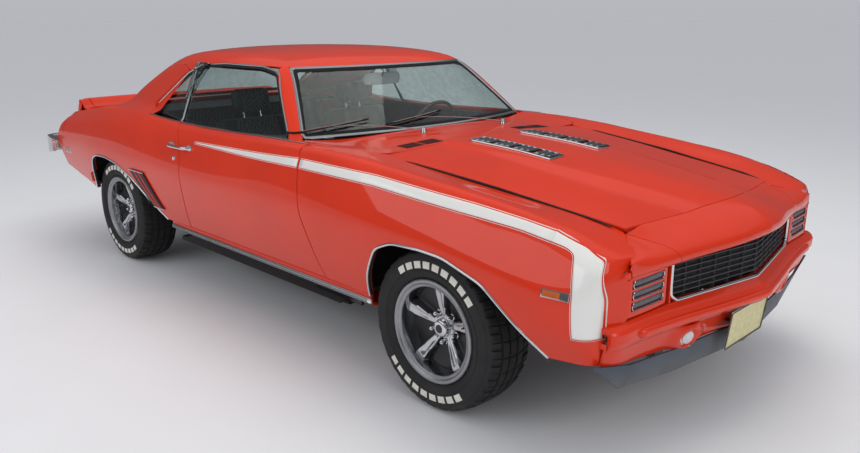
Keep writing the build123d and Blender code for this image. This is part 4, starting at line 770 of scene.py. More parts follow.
FRONT_SEAM = [(F(-630), 0.30), (F(-638), 0.38), (F(-690), 0.55), (F(-735), 0.68), (F(-772), 0.85), (F(-790), 0.936)]
REAR_SEAM = [(R(910), 0.30), (R(912), 0.38), (R(938), 0.52), (R(950), 0.64), (R(946), 0.74), (R(915), 0.83),
             (R(850), 0.893), (R(806), 0.938)]
FRONT_ARCH = [(F(-352), 0.378), (F(-346), 0.42), (F(-318), 0.5), (F(-250), 0.61), (F(-150), 0.653), (F(0), 0.660),
              (F(120), 0.655), (F(300), 0.6), (F(430), 0.49), (F(535), 0.386)]
REAR_ARCH = [(R(655), 0.378), (R(560), 0.435), (R(430), 0.518), (R(305), 0.59), (R(140), 0.643), (R(0), 0.660),
             (R(-138), 0.655), (R(-220), 0.622), (R(-262), 0.55), (R(-288), 0.42)]
SILL, BELT = 0.385, 0.822                   # heights of the doors' lower edge and of the glass line
LID_HALF, DECK_HALF = 0.7045, 0.7115        # half-widths of the deck lid and of its opening
HOOD_BACK, HOOD_FRONT = -470, 617           # the hood's side seams, from the front wheels' centre
HOOD_SEAM = ((HOOD_BACK, 663.0), (HOOD_FRONT, 566.0))


def hood_seam(dx):
    """Distance from the middle of the straight seam between hood and fender."""
    (a, ya), (b, yb) = HOOD_SEAM
    return (ya + (yb - ya) * (np.asarray(dx, float) - a) / (b - a)) / 1000


def shift_x(points, dx):
    """An outline moved along the car."""
    return np.asarray(points, float) + np.array([dx, 0])


def clip_low(points, z):
    """An outline from the first height up."""
    points = np.asarray(points, float)
    at = np.interp(z, points[:, 1], points[:, 0])
    return np.vstack([[at, z], points[points[:, 1] > z + 1e-6]])


def side_grid(low, high, rows, ease):
    """Skin between two (x, angle) curves."""
    grid = between(low, high, rows, ease)
    return skin(grid[..., 0], grid[..., 1])


# ---------------------------------------------------------------- the body's panels

def fender_parts():
    """Front fender: grid from the sill and wheel arch up to the door seam, hood seam and nose edge."""
    seam = clip_low(shift_x(FRONT_SEAM, HALF_GAP), SILL)
    arch = rounded(FRONT_ARCH, 90, 0.05)
    low = joined(by_height(resample([seam[0], arch[0]], 26)), by_height(arch),
                 by_height(resample([arch[-1], (F(640), 0.398), (F(714), 0.408)], 24)))
    nose = rounded([(F(714), 0.408), (F(720), 0.505), (F(732), 0.522), (F(746), 0.540), (F(748.5), 0.575),
                    (F(748.5), 0.690), (F(744), 0.716)], 24, 0.012)
    cowl = by_width(resample([(F(-790), 0.83), (F(-640), 0.79), (F(-500), 0.72),
                              (F(HOOD_BACK), hood_seam(HOOD_BACK))], 16))
    along = np.linspace(HOOD_BACK, HOOD_FRONT, 60)
    hood_edge = by_width(np.stack([F(along), hood_seam(along)], 1))
    nose_edge = by_width(resample([(F(HOOD_FRONT), hood_seam(HOOD_FRONT)), (F(690), 0.655), (F(742), 0.727)], 18))
    top = joined(cowl, hood_edge, nose_edge)
    rear = joined(by_height(resample(seam, 60)), np.array([[F(-787), angle_to(F(-787), 0.845)]]))
    high = joined(resample(rear, 26), resample(top, 90), resample(by_height(nose)[::-1], 24))
    grid = facing(side_grid(low, high, 28, 0.35), (0, 1, 0))
    return [sheet_part(with_rim(grid, 0.022))]


def door_parts():
    """Door skin: grid between the two door seams, from the sill to the belt."""
    ahead = clip_low(shift_x(FRONT_SEAM, -HALF_GAP), SILL)
    behind = clip_low(shift_x(REAR_SEAM, HALF_GAP), SILL)
    back = joined(by_height(rounded(behind, 69, 0.04)), np.array([[behind[-1][0], radians(24.6)]]))
    front = joined(by_height(rounded(ahead, 69, 0.03)), np.array([[ahead[-1][0], radians(24.6)]]))
    back[-1, 1], front[-1, 1] = angle_to(back[-1, 0], BELT), angle_to(front[-1, 0], BELT)
    grid = facing(side_grid(resample(front, 50), resample(back, 50), 46, 0.3), (0, 1, 0))
    return [sheet_part(with_rim(grid, 0.030))]


def quarter_parts():
    """Quarter panel with the sail: grid from the sill, arch and tail's foot up to the door seam, belt, window,
    roof seam, rear window and deck."""
    seam = clip_low(shift_x(REAR_SEAM, -HALF_GAP), SILL)
    arch = rounded(REAR_ARCH, 84, 0.05)
    low = joined(by_height(resample([seam[0], arch[0]], 20)), by_height(arch),
                 by_height(rounded([arch[-1], (R(-400), 0.432), (R(-600), 0.455), (R(-845), 0.5)], 48, 0.05)))
    door_edge = by_height(rounded(seam, 40, 0.03))
    belt = np.array([[x, angle_to(x, BELT)] for x in np.linspace(seam[-1][0], R(420), 14)])
    window = by_height(rounded([(R(400), 0.972), (R(415), 1.003), (R(640), 1.168), (R(662), 1.186)], 24, 0.02))
    window = joined(np.array([belt[-1]]), window)
    roof_seam = by_height(resample([(R(662), 1.186), (R(560), 1.218), (R(330), 1.2)], 14))
    glass_edge = by_width(resample([(R(330), 0.560), (R(215), 0.560), (R(-120), 0.60), (R(-190), 0.615)], 24))
    deck = by_width(resample([(R(-190), 0.615), (R(-262), 0.68), (R(-300), DECK_HALF), (R(-787), DECK_HALF)], 32))
    tail = by_height(rounded([(R(-787), 0.838), (R(-815), 0.80), (R(-858), 0.722), (R(-862), 0.66), (R(-845), 0.5)],
                             20, 0.02))
    first = resample(door_edge, 20)
    upper = resample(joined(belt, window[1:], roof_seam, glass_edge), 84)
    high = joined(first, upper, resample(deck, 29), resample(tail, len(low) - 20 - 83 - 28 + 1))
    grid = facing(side_grid(low, high[:len(low)], 31, 0.2), (0, 1, 0))
    return [sheet_part(with_rim(grid, 0.022))]


CABIN_MIDDLE = -1500.0                      # where rays from inside the cabin start, from the front axle


def march_ahead(y, z, back=CABIN_MIDDLE, sign=1.0):
    """Point of the upper body straight ahead of, or behind, a place on a cross plane."""
    y, z = np.broadcast_arrays(np.asarray(y, float), np.asarray(z, float))
    start = np.stack([np.full(y.shape, float(F(back))), y, z], -1)
    return march(start, np.broadcast_to([sign, 0, 0], start.shape), 1.6, glasshouse)


def march_round(z, turn):
    """Point of the upper body at a height, in a direction from the middle of the front seats."""
    z, turn = np.broadcast_arrays(np.asarray(z, float), np.asarray(turn, float))
    start = np.stack([np.full(z.shape, float(F(CABIN_MIDDLE))), np.zeros(z.shape), z], -1)
    return march(start, np.stack([np.cos(turn), np.sin(turn), np.zeros(z.shape)], -1), 1.6, glasshouse)


WINDSHIELD = dict(low=0.948, high=1.236, low_y=0.752, high_y=0.588)
REAR_WINDOW = dict(low=0.972, high=1.228, low_y=0.592, high_y=0.515)
SIDE_WINDOW_FRONT = [(F(-962), 0.918), (F(-978), 0.940), (F(-1004), 0.965), (F(-1262), 1.212), (F(-1285), 1.222)]


def opening_edge(opening, v, u=1.0):
    """(y, z) on a windshield-shaped opening: v runs up the side, u across."""
    v = np.asarray(v, float)
    y = opening["low_y"] + (opening["high_y"] - opening["low_y"]) * v
    z = opening["low"] + (opening["high"] - opening["low"]) * v
    return y * u, z


def roof_parts():
    """Roof: rows run from the drip line in to the middle; each row's ends lie on the tops of the windshield and
    the rear window."""
    y = np.linspace(0.60, 0, 24)
    top = march_ahead(y, np.full(24, WINDSHIELD["high"] + 0.004))
    front_angle, front_x = np.arctan2(top[:, 2] - AXIS_HEIGHT, y), top[:, 0]
    y = np.linspace(0.53, 0, 24)
    low = march_ahead(y, np.full(24, REAR_WINDOW["high"] + 0.004), -1900, -1.0)
    rear_angle = np.concatenate([[angle_at(R(330), 1.204)], np.arctan2(low[:, 2] - AXIS_HEIGHT, y)])
    rear_x = np.concatenate([[R(330)], low[:, 0]])
    edge = by_height(rounded([(top[0, 0], WINDSHIELD["high"] + 0.004), (F(-1330), 1.243), (F(-1600), 1.244),
                              (R(1000), 1.243), (R(780), 1.232), (R(662), 1.192), (R(560), 1.222),
                              (R(330), 1.204)], 76, 0.03))
    rows = np.linspace(0, 1, 27)[:, None]
    share = ((edge[:, 0] - edge[-1, 0]) / (edge[0, 0] - edge[-1, 0]))[None]
    angle = edge[None, :, 1] * (1 - rows) + pi / 2 * rows
    ahead = np.interp(angle[:, 0], front_angle, front_x)[:, None]
    behind = np.interp(angle[:, -1], rear_angle, rear_x)[:, None]
    x = behind + share * (ahead - behind)
    grid = facing(skin(x, angle), (0, 0, 1))
    if grid[0, 5, 1] < grid[-1, 5, 1]:
        grid = grid[::-1]
    whole = np.concatenate([grid, (grid * MIRRORED)[::-1][1:]])
    return facing(whole, (0, 0, 1))


def pillar_parts():
    """Windshield pillar: at each height, from the side window's edge round to the windshield's edge."""
    z = np.linspace(0.918, WINDSHIELD["high"] + 0.006, 50)
    edge_x, edge_z = np.transpose(SIDE_WINDOW_FRONT)
    side_x = np.interp(z, edge_z, edge_x)
    spot = np.stack([side_x, np.zeros(50), z], -1)
    side = march(spot, np.broadcast_to([0.0, 1.0, 0.0], spot.shape), 1.2, glasshouse)
    v = (z - WINDSHIELD["low"]) / (WINDSHIELD["high"] - WINDSHIELD["low"])
    y = opening_edge(WINDSHIELD, np.clip(v, -0.05, 1.05))[0] + 0.004
    front = march_ahead(y, z)
    turn_a = np.arctan2(side[:, 1], side[:, 0] - F(CABIN_MIDDLE))
    turn_b = np.arctan2(front[:, 1], front[:, 0] - F(CABIN_MIDDLE))
    turn = between(turn_a[:, None], turn_b[:, None], 14)[..., 0]
    grid = facing(march_round(z[None] + 0 * turn, turn), (0.7, 0.7, 0.2))
    return [sheet_part(with_rim(grid, 0.020))]


def window_grid(opening, back, sign, inset=0.006, rows=30, columns=60):
    """Glass across an opening, set in from the body's surface."""
    v, u = lattice((-0.03, 1.03, rows), (-1.02, 1.02, columns))
    y, z = opening_edge(opening, v, u)
    grid = facing(march_ahead(y, z, back, sign), (sign, 0, 0.5))
    return grid - grid_normals(grid) * inset


def outline_path(opening, back, sign, grow=0.0):
    """The edge of an opening as a closed path on the body's surface, with rounded corners."""
    v = np.array([0.5, 1, 1, 0, 0, 0.5])
    u = np.array([-1, -1, 1, 1, -1, -1])
    y, z = opening_edge(opening, v, u)
    path = rounded(np.stack([y * (1 + grow), z + np.array([0, 1, 1, -1, -1, 0]) * grow * 0.5], 1), 180, 0.02)
    return march_ahead(path[:, 0], path[:, 1], back, sign)


# hood rows: place, edge, foot and top of the bulge as (y, z), and the middle's height, in millimetres
HOOD_TABLE = [(-520, 700, 917, 318, 931, 268, 941, 944), (-300, 676, 898, 308, 917, 256, 930, 937),
              (-100, 655, 877, 297, 901, 240, 918, 926), (130, 632, 849, 278, 876, 222, 893, 904),
              (350, 610, 820, 258, 848, 200, 866, 877), (560, 585, 794, 236, 819, 172, 834, 846),
              (760, 560, 768, 215, 789, 145, 800, 813)]


def softened(u, radius):
    """Zero below, u above, with a rounded corner."""
    return 0.5 * (u + np.sqrt(u ** 2 + radius ** 2))


def hood_height(x, y):
    """Height of the hood: across the car a polyline from the middle over the bulge, its foot and the edge, its
    corners rounded; along the car each of its points follows a cubic."""
    dx = (np.asarray(x) - FRONT_AXLE[0]) * 1000
    row = spline([r[0] for r in HOOD_TABLE], np.array([r[1:] for r in HOOD_TABLE]) / 1000, dx)
    edge_y, edge_z, foot_y, foot_z, top_y, top_z, mid = [row[..., k] for k in range(7)]
    across = blunt(y, 0.03)
    s1, s2, s3 = (top_z - mid) / top_y, (foot_z - top_z) / (foot_y - top_y), (edge_z - foot_z) / (edge_y - foot_y)
    return (mid + s1 * across + (s2 - s1) * softened(across - top_y, 0.022)
            + (s3 - s2) * softened(across - foot_y, 0.03) - 0.05 * softened(across - edge_y + 0.12, 0.05) ** 2)


def hood_front(y):
    """Place of the hood's front edge."""
    return F(716) - (F(716) - F(HOOD_FRONT)) * blunt(y, 0.06) / 0.505


def hood_parts(lift=0.0, inset=0.0, rows=48, columns=71):
    """Hood: a height over a plan whose sides are the straight seams and whose nose is the slanted edge."""
    w, s = lattice((-1, 1, columns), (0, 1, rows))
    x = F(HOOD_BACK) + s * 1.1
    for _ in range(6):
        y = w * (hood_seam((x - FRONT_AXLE[0]) * 1000) - 0.0048 - inset)
        x = F(HOOD_BACK) + inset + s * (hood_front(y) - F(HOOD_BACK) - 2 * inset)
    z = hood_height(x, y) + lift
    return facing(np.stack([x, y, z], -1), (0, 0, 1))


LIP_KNOTS = [0, 0.3, 0.62, 0.80, 0.9, 1.0]
HEADER_PLAN = np.linspace(0.5, 0.727, 24)
HEADER_RISE = skin_height(np.interp(HEADER_PLAN, [0.560, 0.60, 0.655, 0.727], [F(622), F(652), F(694), F(742)]),
                          HEADER_PLAN)


def header_edge(y):
    """Height of the fender's inner edge beside the header."""
    return np.interp(y, HEADER_PLAN, HEADER_RISE)


def header_point(y, s):
    """Header panel: at each distance from the middle, a curve from the hood's front edge over the lip and back
    under it to the grille."""
    a = np.abs(y)
    start = hood_front(a) + 0.005
    start = np.where(a > 0.560, np.interp(a, [0.560, 0.566, 0.60, 0.655, 0.727],
                                          [F(620), F(620), F(647.5), F(692.5), F(744.5)]), start)
    places = [0, 0.15, 0.30, 0.47, 0.60, 0.727]
    lip = spline(places, [F(880), F(862), F(826), F(788), F(768), F(750)], a)[..., 0]
    lip_z = spline(places, [0.730, 0.722, 0.712, 0.704, 0.700, 0.698], a)[..., 0]
    crown = spline(places, [0.052, 0.046, 0.037, 0.033, 0.034, 0.027], a)[..., 0]
    share = np.clip((a - 0.50) / 0.06, 0, 1)
    z0 = hood_height(start, np.minimum(a, 0.56)) * (1 - share) + (header_edge(a) - 0.0008) * share
    outer = np.clip((a - 0.60) / 0.127, 0, 1)
    px = np.stack([start, start + (lip - start) * 0.52, np.maximum(lip - 0.018, start + (lip - start) * 0.86), lip,
                   lip - 0.004, lip - 0.030], -1)
    pz = np.stack([z0, z0 * 0.40 + lip_z * 0.60 + crown * 0.62, lip_z + 0.030 - 0.003 * outer,
                   lip_z + 0.004, lip_z - 0.016, lip_z - 0.026], -1)
    weights = spline(LIP_KNOTS, np.eye(6), s)
    return np.stack([np.sum(px * weights, -1), y, np.sum(pz * weights, -1)], -1)


def header_side(s):
    """Distance from the middle of the seam between the header and the brows over the lamps."""
    return 0.563 - 0.097 * s


def header_parts():
    """Header panel between the hood and the grille, peaked in the middle."""
    w, s = lattice((-1, 1, 81), (0, 1, 24))
    return facing(header_point(w * (header_side(s) - 0.0018), s), (0.4, 0, 1))


def brow_parts():
    """Brow over the lamp covers, from the header's side seam to the fender."""
    w, s = lattice((0, 1, 21), (0, 1, 24))
    inner = header_side(s) + 0.0018
    grid = header_point(inner + w * (0.727 - inner), s)
    # on to the fender's front edge, which falls as it runs outward
    x = np.array([F(744.5), F(746), F(749), F(750), F(750), F(722)])
    z = np.array([0.7195, 0.714, 0.702, 0.690, 0.676, 0.672])
    edge = skin(np.minimum(x, F(748.5)), angle_at(np.minimum(x, F(748.5)), z))
    edge[0] = grid[-1, 0]
    edge[-1, 1] = edge[-2, 1]
    edge[:, 0] = x
    at = np.stack([np.interp(s[0], LIP_KNOTS, edge[:, k]) for k in range(3)], -1)
    share = np.linspace(0, 1, 5)[1:, None, None]
    grid = np.concatenate([grid, grid[-1][None] * (1 - share) + at[None] * share])
    return facing(grid, (0.4, 0, 1))


def cowl_height(x, y):
    """Cowl: falls slightly to the sides and rises to the windshield."""
    return 0.9355 + 0.012 * (F(HOOD_BACK) - np.asarray(x)) / 0.33 - 0.052 * np.asarray(y) ** 2 - 0.004


def cowl_edge(x):
    """Half-width of the cowl along the car."""
    return np.interp(x, [F(-925), F(-790), F(-640), F(-500), F(HOOD_BACK)], [0.814, 0.816, 0.786, 0.716, 0.660])


def cowl_parts():
    """Cowl panel between the hood, the fenders and the windshield's foot."""
    w, s = lattice((-1, 1, 81), (0, 1, 16))
    x = F(-490) + s * (F(-830) - F(-490))
    y = w * cowl_edge(x)
    x = F(-490) + s * (F(-812) - 0.17 * y ** 2 - F(-490))
    y = w * cowl_edge(x)
    share = np.clip((np.abs(y) - 0.50) / (cowl_edge(x) - 0.50), 0, 1)
    share = share ** 2 * (3 - 2 * share)
    z = cowl_height(x, y) * (1 - share) + (skin_height(x, cowl_edge(x)) - 0.001) * share
    return facing(np.stack([x, y, z], -1), (0, 0, 1))


def deck_height(x, y):
    """Deck: falls to the tail and to the sides."""
    mid = spline([R(-800), R(-640), R(-457), R(-290), R(-200)], [0.872, 0.903, 0.929, 0.947, 0.956], x)[..., 0]
    return mid - 0.010 * (np.abs(y) / 0.4) ** 2 * 0.8


def deck_grid(x_from, x_to, rows, wide, columns=43, lift=0.0):
    """Part of the deck between two places along the car."""
    x, y = lattice((x_from, x_to, rows), (-wide, wide, columns))
    return facing(np.stack([x, y, deck_height(x, y) + lift], -1), (0, 0, 1))


def make_body():
    """The painted panels, the roof and the hood."""
    pair("fender", fender_parts(), "paint", "body", "front_fender_@", wall=PANEL)
    pair("door_skin", door_parts(), "paint", "door_@", "door_@", wall=PANEL)
    pair("quarter", quarter_parts(), "paint", "body", "quarter_panel_@", wall=PANEL)
    pair("pillar", pillar_parts(), "paint", wall=PANEL)
    roof = roof_parts()
    build("roof", [sheet_part(with_rim(roof, 0.012))], "paint", "body", "roof_panel", wall=PANEL)
    build("hood_skin", [sheet_part(with_rim(hood_parts(), 0.020))], "paint", "hood", "hood", wall=PANEL)
    build("header", [sheet_part(with_rim(header_parts(), 0.012, "al"))], "paint", "body", "header_panel", wall=PANEL)
    pair("brow", [sheet_part(with_rim(brow_parts(), 0.012))], "paint", wall=PANEL)
    build("cowl", [sheet_part(with_rim(cowl_parts(), 0.012))], "paint", "body", "cowl_panel", wall=PANEL)


# ---------------------------------------------------------------- the stage

def make_stage(light, lens):
    """Pale floor and world, soft lamps and the camera."""
    scene = bpy.context.scene
    scene.view_settings.view_transform = "Standard"
    world = bpy.data.worlds.new("studio")
    scene.world = world
    world.use_nodes = True
    tree = world.node_tree
    tree.nodes.clear()
    rays = add_node(tree, "ShaderNodeLightPath")
    glossy = add_node(tree, "ShaderNodeMath", [(rays.outputs["Is Glossy Ray"], 0),
                                               (rays.outputs["Is Transmission Ray"], 1)], operation="MAXIMUM")
    seen = add_node(tree, "ShaderNodeMath", [(rays.outputs["Is Camera Ray"], 0), (glossy.outputs[0], 1)],
                    operation="MAXIMUM")
    place = add_node(tree, "ShaderNodeTexCoord").outputs["Generated"]
    height = add_node(tree, "ShaderNodeSeparateXYZ", [(place, "Vector")]).outputs["Z"]
    sky = ramp(tree, height, [(0.0, linear("B6B7BD")), (0.04, linear("B6B7BD")), (0.5, linear("E0E2E4"))])
    pale = add_node(tree, "ShaderNodeBackground", [(sky, "Color")], s_Strength=1.0)
    lit = add_node(tree, "ShaderNodeBackground", s_Color=linear("F6F7FC"), s_Strength=0.72)
    room = ramp(tree, height, [(0.0, linear("6E7073")), (0.48, linear("7C7F83")), (0.56, linear("C9CCD0")),
                               (0.80, linear("E8EAEC")), (1.0, linear("B0B3B8"))])
    mirrored = add_node(tree, "ShaderNodeBackground", [(room, "Color")], s_Strength=0.60)
    mix = add_node(tree, "ShaderNodeMixShader", [(seen.outputs[0], 0), (lit.outputs[0], 1), (pale.outputs[0], 2)])
    both = add_node(tree, "ShaderNodeMixShader", [(rays.outputs["Is Glossy Ray"], 0), (mix.outputs[0], 1),
                                                  (mirrored.outputs[0], 2)])
    add_node(tree, "ShaderNodeOutputWorld", [(both.outputs[0], "Surface")])

    mesh = bpy.data.meshes.new("floor")
    size = 400.0
    mesh.from_pydata([(-size, -size, 0), (size, -size, 0), (size, size, 0), (-size, size, 0)], [], [(0, 1, 2, 3)])
    floor = bpy.data.objects.new("floor", mesh)
    scene.collection.objects.link(floor)
    paper = surface("pale_seamless_paper", "DCDDDF", 0.9, tone=0.01, tone_mm=400, grain_mm=3, grain=0.02)
    mesh.materials.append(paper)

    def lamp(name, at, to, size, power, colour="FFFFFF"):
        bulb = bpy.data.lights.new(name, "AREA")
        bulb.shape, bulb.size, bulb.size_y = "RECTANGLE", size[0], size[1]
        bulb.energy, bulb.color = power * light, linear(colour)[:3]
        holder = bpy.data.objects.new(name, bulb)
        holder.location = at
        holder.rotation_euler = (Vector(to) - Vector(at)).to_track_quat("-Z", "Y").to_euler()
        scene.collection.objects.link(holder)
        return holder

    lamp("overhead", (0.6, 0.6, 5.2), (0.2, 0, 0.6), (5.5, 3.2), 130, "FFFDF8").visible_glossy = False
    lamp("side", (-1.0, -6.0, 3.2), (0, 0, 0.6), (6.0, 2.4), 75, "FBFCFF")
    lamp("front", (6.5, -1.0, 3.0), (0.8, 0, 0.6), (3.0, 2.4), 55, "FFFFFF")

    camera = bpy.data.cameras.new("camera")
    camera.lens, camera.sensor_width, camera.clip_start = lens, 36.0, 0.05
    holder = bpy.data.objects.new("camera", camera)
    holder.location = (FRONT_AXLE[0] + 1.9295, -2.7794, 1.4641)
    yaw, pitch = radians(135.34), radians(-15.03)      # from the car's own axes: to the left of ahead, and down
    way = Vector((np.cos(yaw) * np.cos(pitch), np.sin(yaw) * np.cos(pitch), np.sin(pitch)))
    holder.rotation_euler = way.to_track_quat("-Z", "Y").to_euler()
    scene.collection.objects.link(holder)
    scene.camera = holder


# ---------------------------------------------------------------- the nose

FRONT_PLATE_Y = -0.080
GRILLE = dict(low=0.546, high=0.690, centre=846.0, corner=757.0, half=0.482)


def v_face(y, centre, corner, half):
    """Place along the car of a face that leans back from the middle, its point slightly rounded."""
    return F(centre) - (centre - corner) / 1000 * blunt(y, 0.012) / half


def grille_parts():
    """Egg-crate grille: thin horizontal and upright bars over a V-shaped plane, on a dark backing sheet."""
    g, parts = GRILLE, []
    y = np.linspace(-g["half"] + 0.004, g["half"] - 0.004, 81)
    thin = np.array([(0.010, -0.0016), (-0.004, -0.0012), (-0.004, 0.0012), (0.010, 0.0016)])
    for z in np.linspace(g["low"] + 0.021, g["high"] - 0.018, 6):
        path = np.stack([v_face(y, g["centre"] - 12, g["corner"] - 12, g["half"]), y, np.full(81, z)], 1)
        parts.append(swept(path, thin))
    for y0 in np.linspace(-g["half"], g["half"], 13)[1:-1]:
        x = float(v_face(y0, g["centre"] - 12, g["corner"] - 12, g["half"]))
        parts.append(boxed((x - 0.012, y0 - 0.0010, g["low"]), (x + 0.002, y0 + 0.0010, g["high"]), count=2))
    v, u = lattice((g["low"] - 0.012, g["high"] + 0.01, 2), (y[0], y[-1], len(y)))
    sheet = np.stack([v_face(u, g["centre"] - 42, g["corner"] - 40, g["half"]), u, v], -1)
    parts.append(sheet_part(facing(sheet, (1, 0, 0)), 1))
    return parts


def nose_lamp_parts():
    """Headlamp cover: a painted plate with three slots and a body-coloured frame round the grille's end."""
    plate, lens, trim = [], [], []
    y0, y1 = 0.514, 0.728

    def face(y):
        return F(757) - 0.012 * ((np.asarray(y) - y0) / (y1 - y0)) ** 2

    heights = [0.549, 0.565, 0.597, 0.603, 0.634, 0.640, 0.671, 0.694]
    for low, high in zip(heights[0::2], heights[1::2]):
        z, w = lattice((low, high, 4), (y0 + 0.006, y1 + 0.01, 14))
        plate.append(sheet_part(with_rim(facing(np.stack([face(w), w, z], -1), (1, 0, 0)), 0.020)))
    for y_a, y_b in ((y0 + 0.004, y0 + 0.020), (y1 - 0.012, y1 + 0.012)):
        z, w = lattice((0.549, 0.694, 14), (y_a, y_b, 4))
        plate.append(sheet_part(with_rim(facing(np.stack([face(w) + 0.0004, w, z], -1), (1, 0, 0)), 0.018)))
    for low, high in zip(heights[1:-1:2], heights[2:-1:2]):
        wide = y1 - 0.016 - (y0 + 0.022)
        v, w = lattice((0, 1, 6), (0, 1, 85))
        y = y0 + 0.022 + w * wide
        z = low + v * (high - low)
        rib = 0.0035 * np.abs(np.sin(w * pi * 21)) + 0.004 * np.sin(v * pi)
        lens.append(sheet_part(facing(np.stack([face(y) - 0.012 + rib, y, z], -1), (1, 0, 0))))
        edge = rounded([(y0 + 0.030, low + 0.002), (y0 + 0.022, (low + high) / 2), (y0 + 0.030, high - 0.002),
                        (y1 - 0.024, high - 0.002), (y1 - 0.016, (low + high) / 2), (y1 - 0.024, low + 0.002),
                        (y0 + 0.030, low + 0.002)], 60, 0.006)[:-1]
        path = np.stack([face(edge[:, 0]) - 0.001, edge[:, 0], edge[:, 1]], 1)
        trim.append(swept(path, oval(0.0022, 0.0035, 8), up=(1, 0, 0), closed=True))
    return plate, lens, trim


BUMPER_ROWS = [(0.0, 812, 846, 541, 879, 521, 893, 502, 889, 470, 872, 449), (0.20, 782, 808, 541, 840, 522, 854, 503,
               851, 471, 836, 450), (0.46, 728, 762, 541, 789, 526, 803, 509, 801, 475, 788, 452),
               (0.70, 716, 746, 540, 764, 530, 775, 516, 774, 482, 762, 458),
               (0.78, 704, 738, 538, 756, 528, 765, 516, 764, 484, 752, 460),
               (0.826, 690, 722, 534, 738, 524, 744, 514, 744, 488, 734, 464)]


def bumper_parts():
    """Front bumper: a section of six points, rounded, whose points follow cubics across the car; then the
    half-round ridge along it, which ends in a nose on each side."""
    y = np.concatenate([np.linspace(-0.826, -0.03, 60), np.linspace(-0.02, 0.02, 9), np.linspace(0.03, 0.826, 60)])
    table = np.array([row[1:] for row in BUMPER_ROWS])
    rows = spline([row[0] for row in BUMPER_ROWS], table, blunt(y, 0.015))
    back = rows[:, 0]
    xs = np.stack([back, rows[:, 1], rows[:, 3], rows[:, 5], rows[:, 7], rows[:, 9], back], 1)
    zs = np.stack([rows[:, 2] - 2, rows[:, 2], rows[:, 4], rows[:, 6], rows[:, 8], rows[:, 10], rows[:, 10] + 4], 1)
    weights = corner_weights(np.linspace(0, 1, 7), np.linspace(0, 1, 35), 9, 0.018)
    x, z = xs @ weights.T, zs @ weights.T
    grid = np.stack([F(x), np.broadcast_to(y[:, None], x.shape), z / 1000], -1)
    parts = [sheet_part(with_rim(facing(grid, (1, 0, 0.3)), 0.02, "ab"))]
    y = np.linspace(-0.705, 0.705, 111)
    row = spline([0, 0.2, 0.46, 0.60, 0.705], [(883, 488), (846, 488), (796, 491), (777, 494), (766, 497)],
                 blunt(y, 0.012))
    path = np.stack([F(row[:, 0]), y, row[:, 1] / 1000], 1)
    end = np.sqrt(np.clip(1 - np.clip((np.abs(y) - 0.680) / 0.026, 0, 1) ** 2, 0.0004, 1))
    ridge = oval(0.022, 0.0185, 28, 0.8)
    parts.append(swept(path, ridge, scale=end))
    return parts


SKIRT_ROWS = [(0.0, 868, 452, 850, 410, 836, 372), (0.20, 832, 453, 816, 410, 803, 372),
              (0.46, 785, 455, 772, 412, 762, 374), (0.66, 758, 458, 748, 420, 740, 386),
              (0.78, 742, 461, 734, 430, 724, 398), (0.828, 716, 465, 712, 436, 708, 410)]


def valance_point(y, s):
    """Valance under the bumper: a curve from top to foot that bulges round each lamp."""
    a = blunt(y, 0.015)
    row = spline([r[0] for r in SKIRT_ROWS], np.array([r[1:] for r in SKIRT_ROWS]), a)
    w = np.stack([(1 - s) ** 2, 2 * s * (1 - s), s ** 2], -1)
    x = row[..., 0] * w[..., 0] + row[..., 2] * w[..., 1] + row[..., 4] * w[..., 2]
    z = row[..., 1] * w[..., 0] + row[..., 3] * w[..., 1] + row[..., 5] * w[..., 2]
    round_lamp = np.hypot((a - 0.392) / 0.078, (z - 406) / 50)
    bulge = np.exp(-round_lamp ** 4 * 0.9) * 26
    sink = np.clip(1 - (round_lamp / 0.62) ** 6, 0, 1) * 20
    return np.stack([F(x + bulge - sink), y, (z - np.exp(-round_lamp ** 4) * 6 * s) / 1000], -1)


def valance_parts():
    """The valance across the nose."""
    y, s = lattice((-0.828, 0.828, 145), (0, 1, 18))
    return facing(valance_point(y, s), (1, 0, -0.1))


def lamp_dish(centre, way, radius, rings=14, count=64, depth=0.010, rib=0.0):
    """A round lens: a shallow dome with ribs, turned to face a direction."""
    way, side, top = square_to(way)
    r, a = np.meshgrid(np.linspace(0.001, 1, rings), np.linspace(0, 2 * pi, count, endpoint=False), indexing="ij")
    out = depth * (1 - r ** 2) + rib * np.sin(r * pi * 6)
    points = (np.asarray(centre) + radius * r[..., None] * (np.cos(a)[..., None] * side + np.sin(a)[..., None] * top)
              + out[..., None] * way)
    return points.reshape(-1, 3), faces_of(rings, count, wrap=True)[:, ::-1].tolist() + [list(range(count))]


def ring_path(centre, way, radius, count=64):
    """A circle about a direction."""
    _, side, top = square_to(way)
    a = np.linspace(0, 2 * pi, count, endpoint=False)
    return np.asarray(centre) + radius * (np.cos(a)[:, None] * side + np.sin(a)[:, None] * top)


def plate_parts(corner, right, down):
    """A blank plate with a pressed border, from its top left corner and two edges."""
    corner, right, down = (np.asarray(v, float) for v in (corner, right, down))
    u, v = lattice((0, 1, 41), (0, 1, 25))
    wide, high = np.linalg.norm(right), np.linalg.norm(down)
    normal = np.cross(right, down) / (wide * high)
    border = np.minimum(np.minimum(u, 1 - u) * wide, np.minimum(v, 1 - v) * high)
    lift = 0.0018 * np.exp(-((border - 0.009) / 0.003) ** 2)
    return corner + u[..., None] * right + v[..., None] * down + normal * lift[..., None]


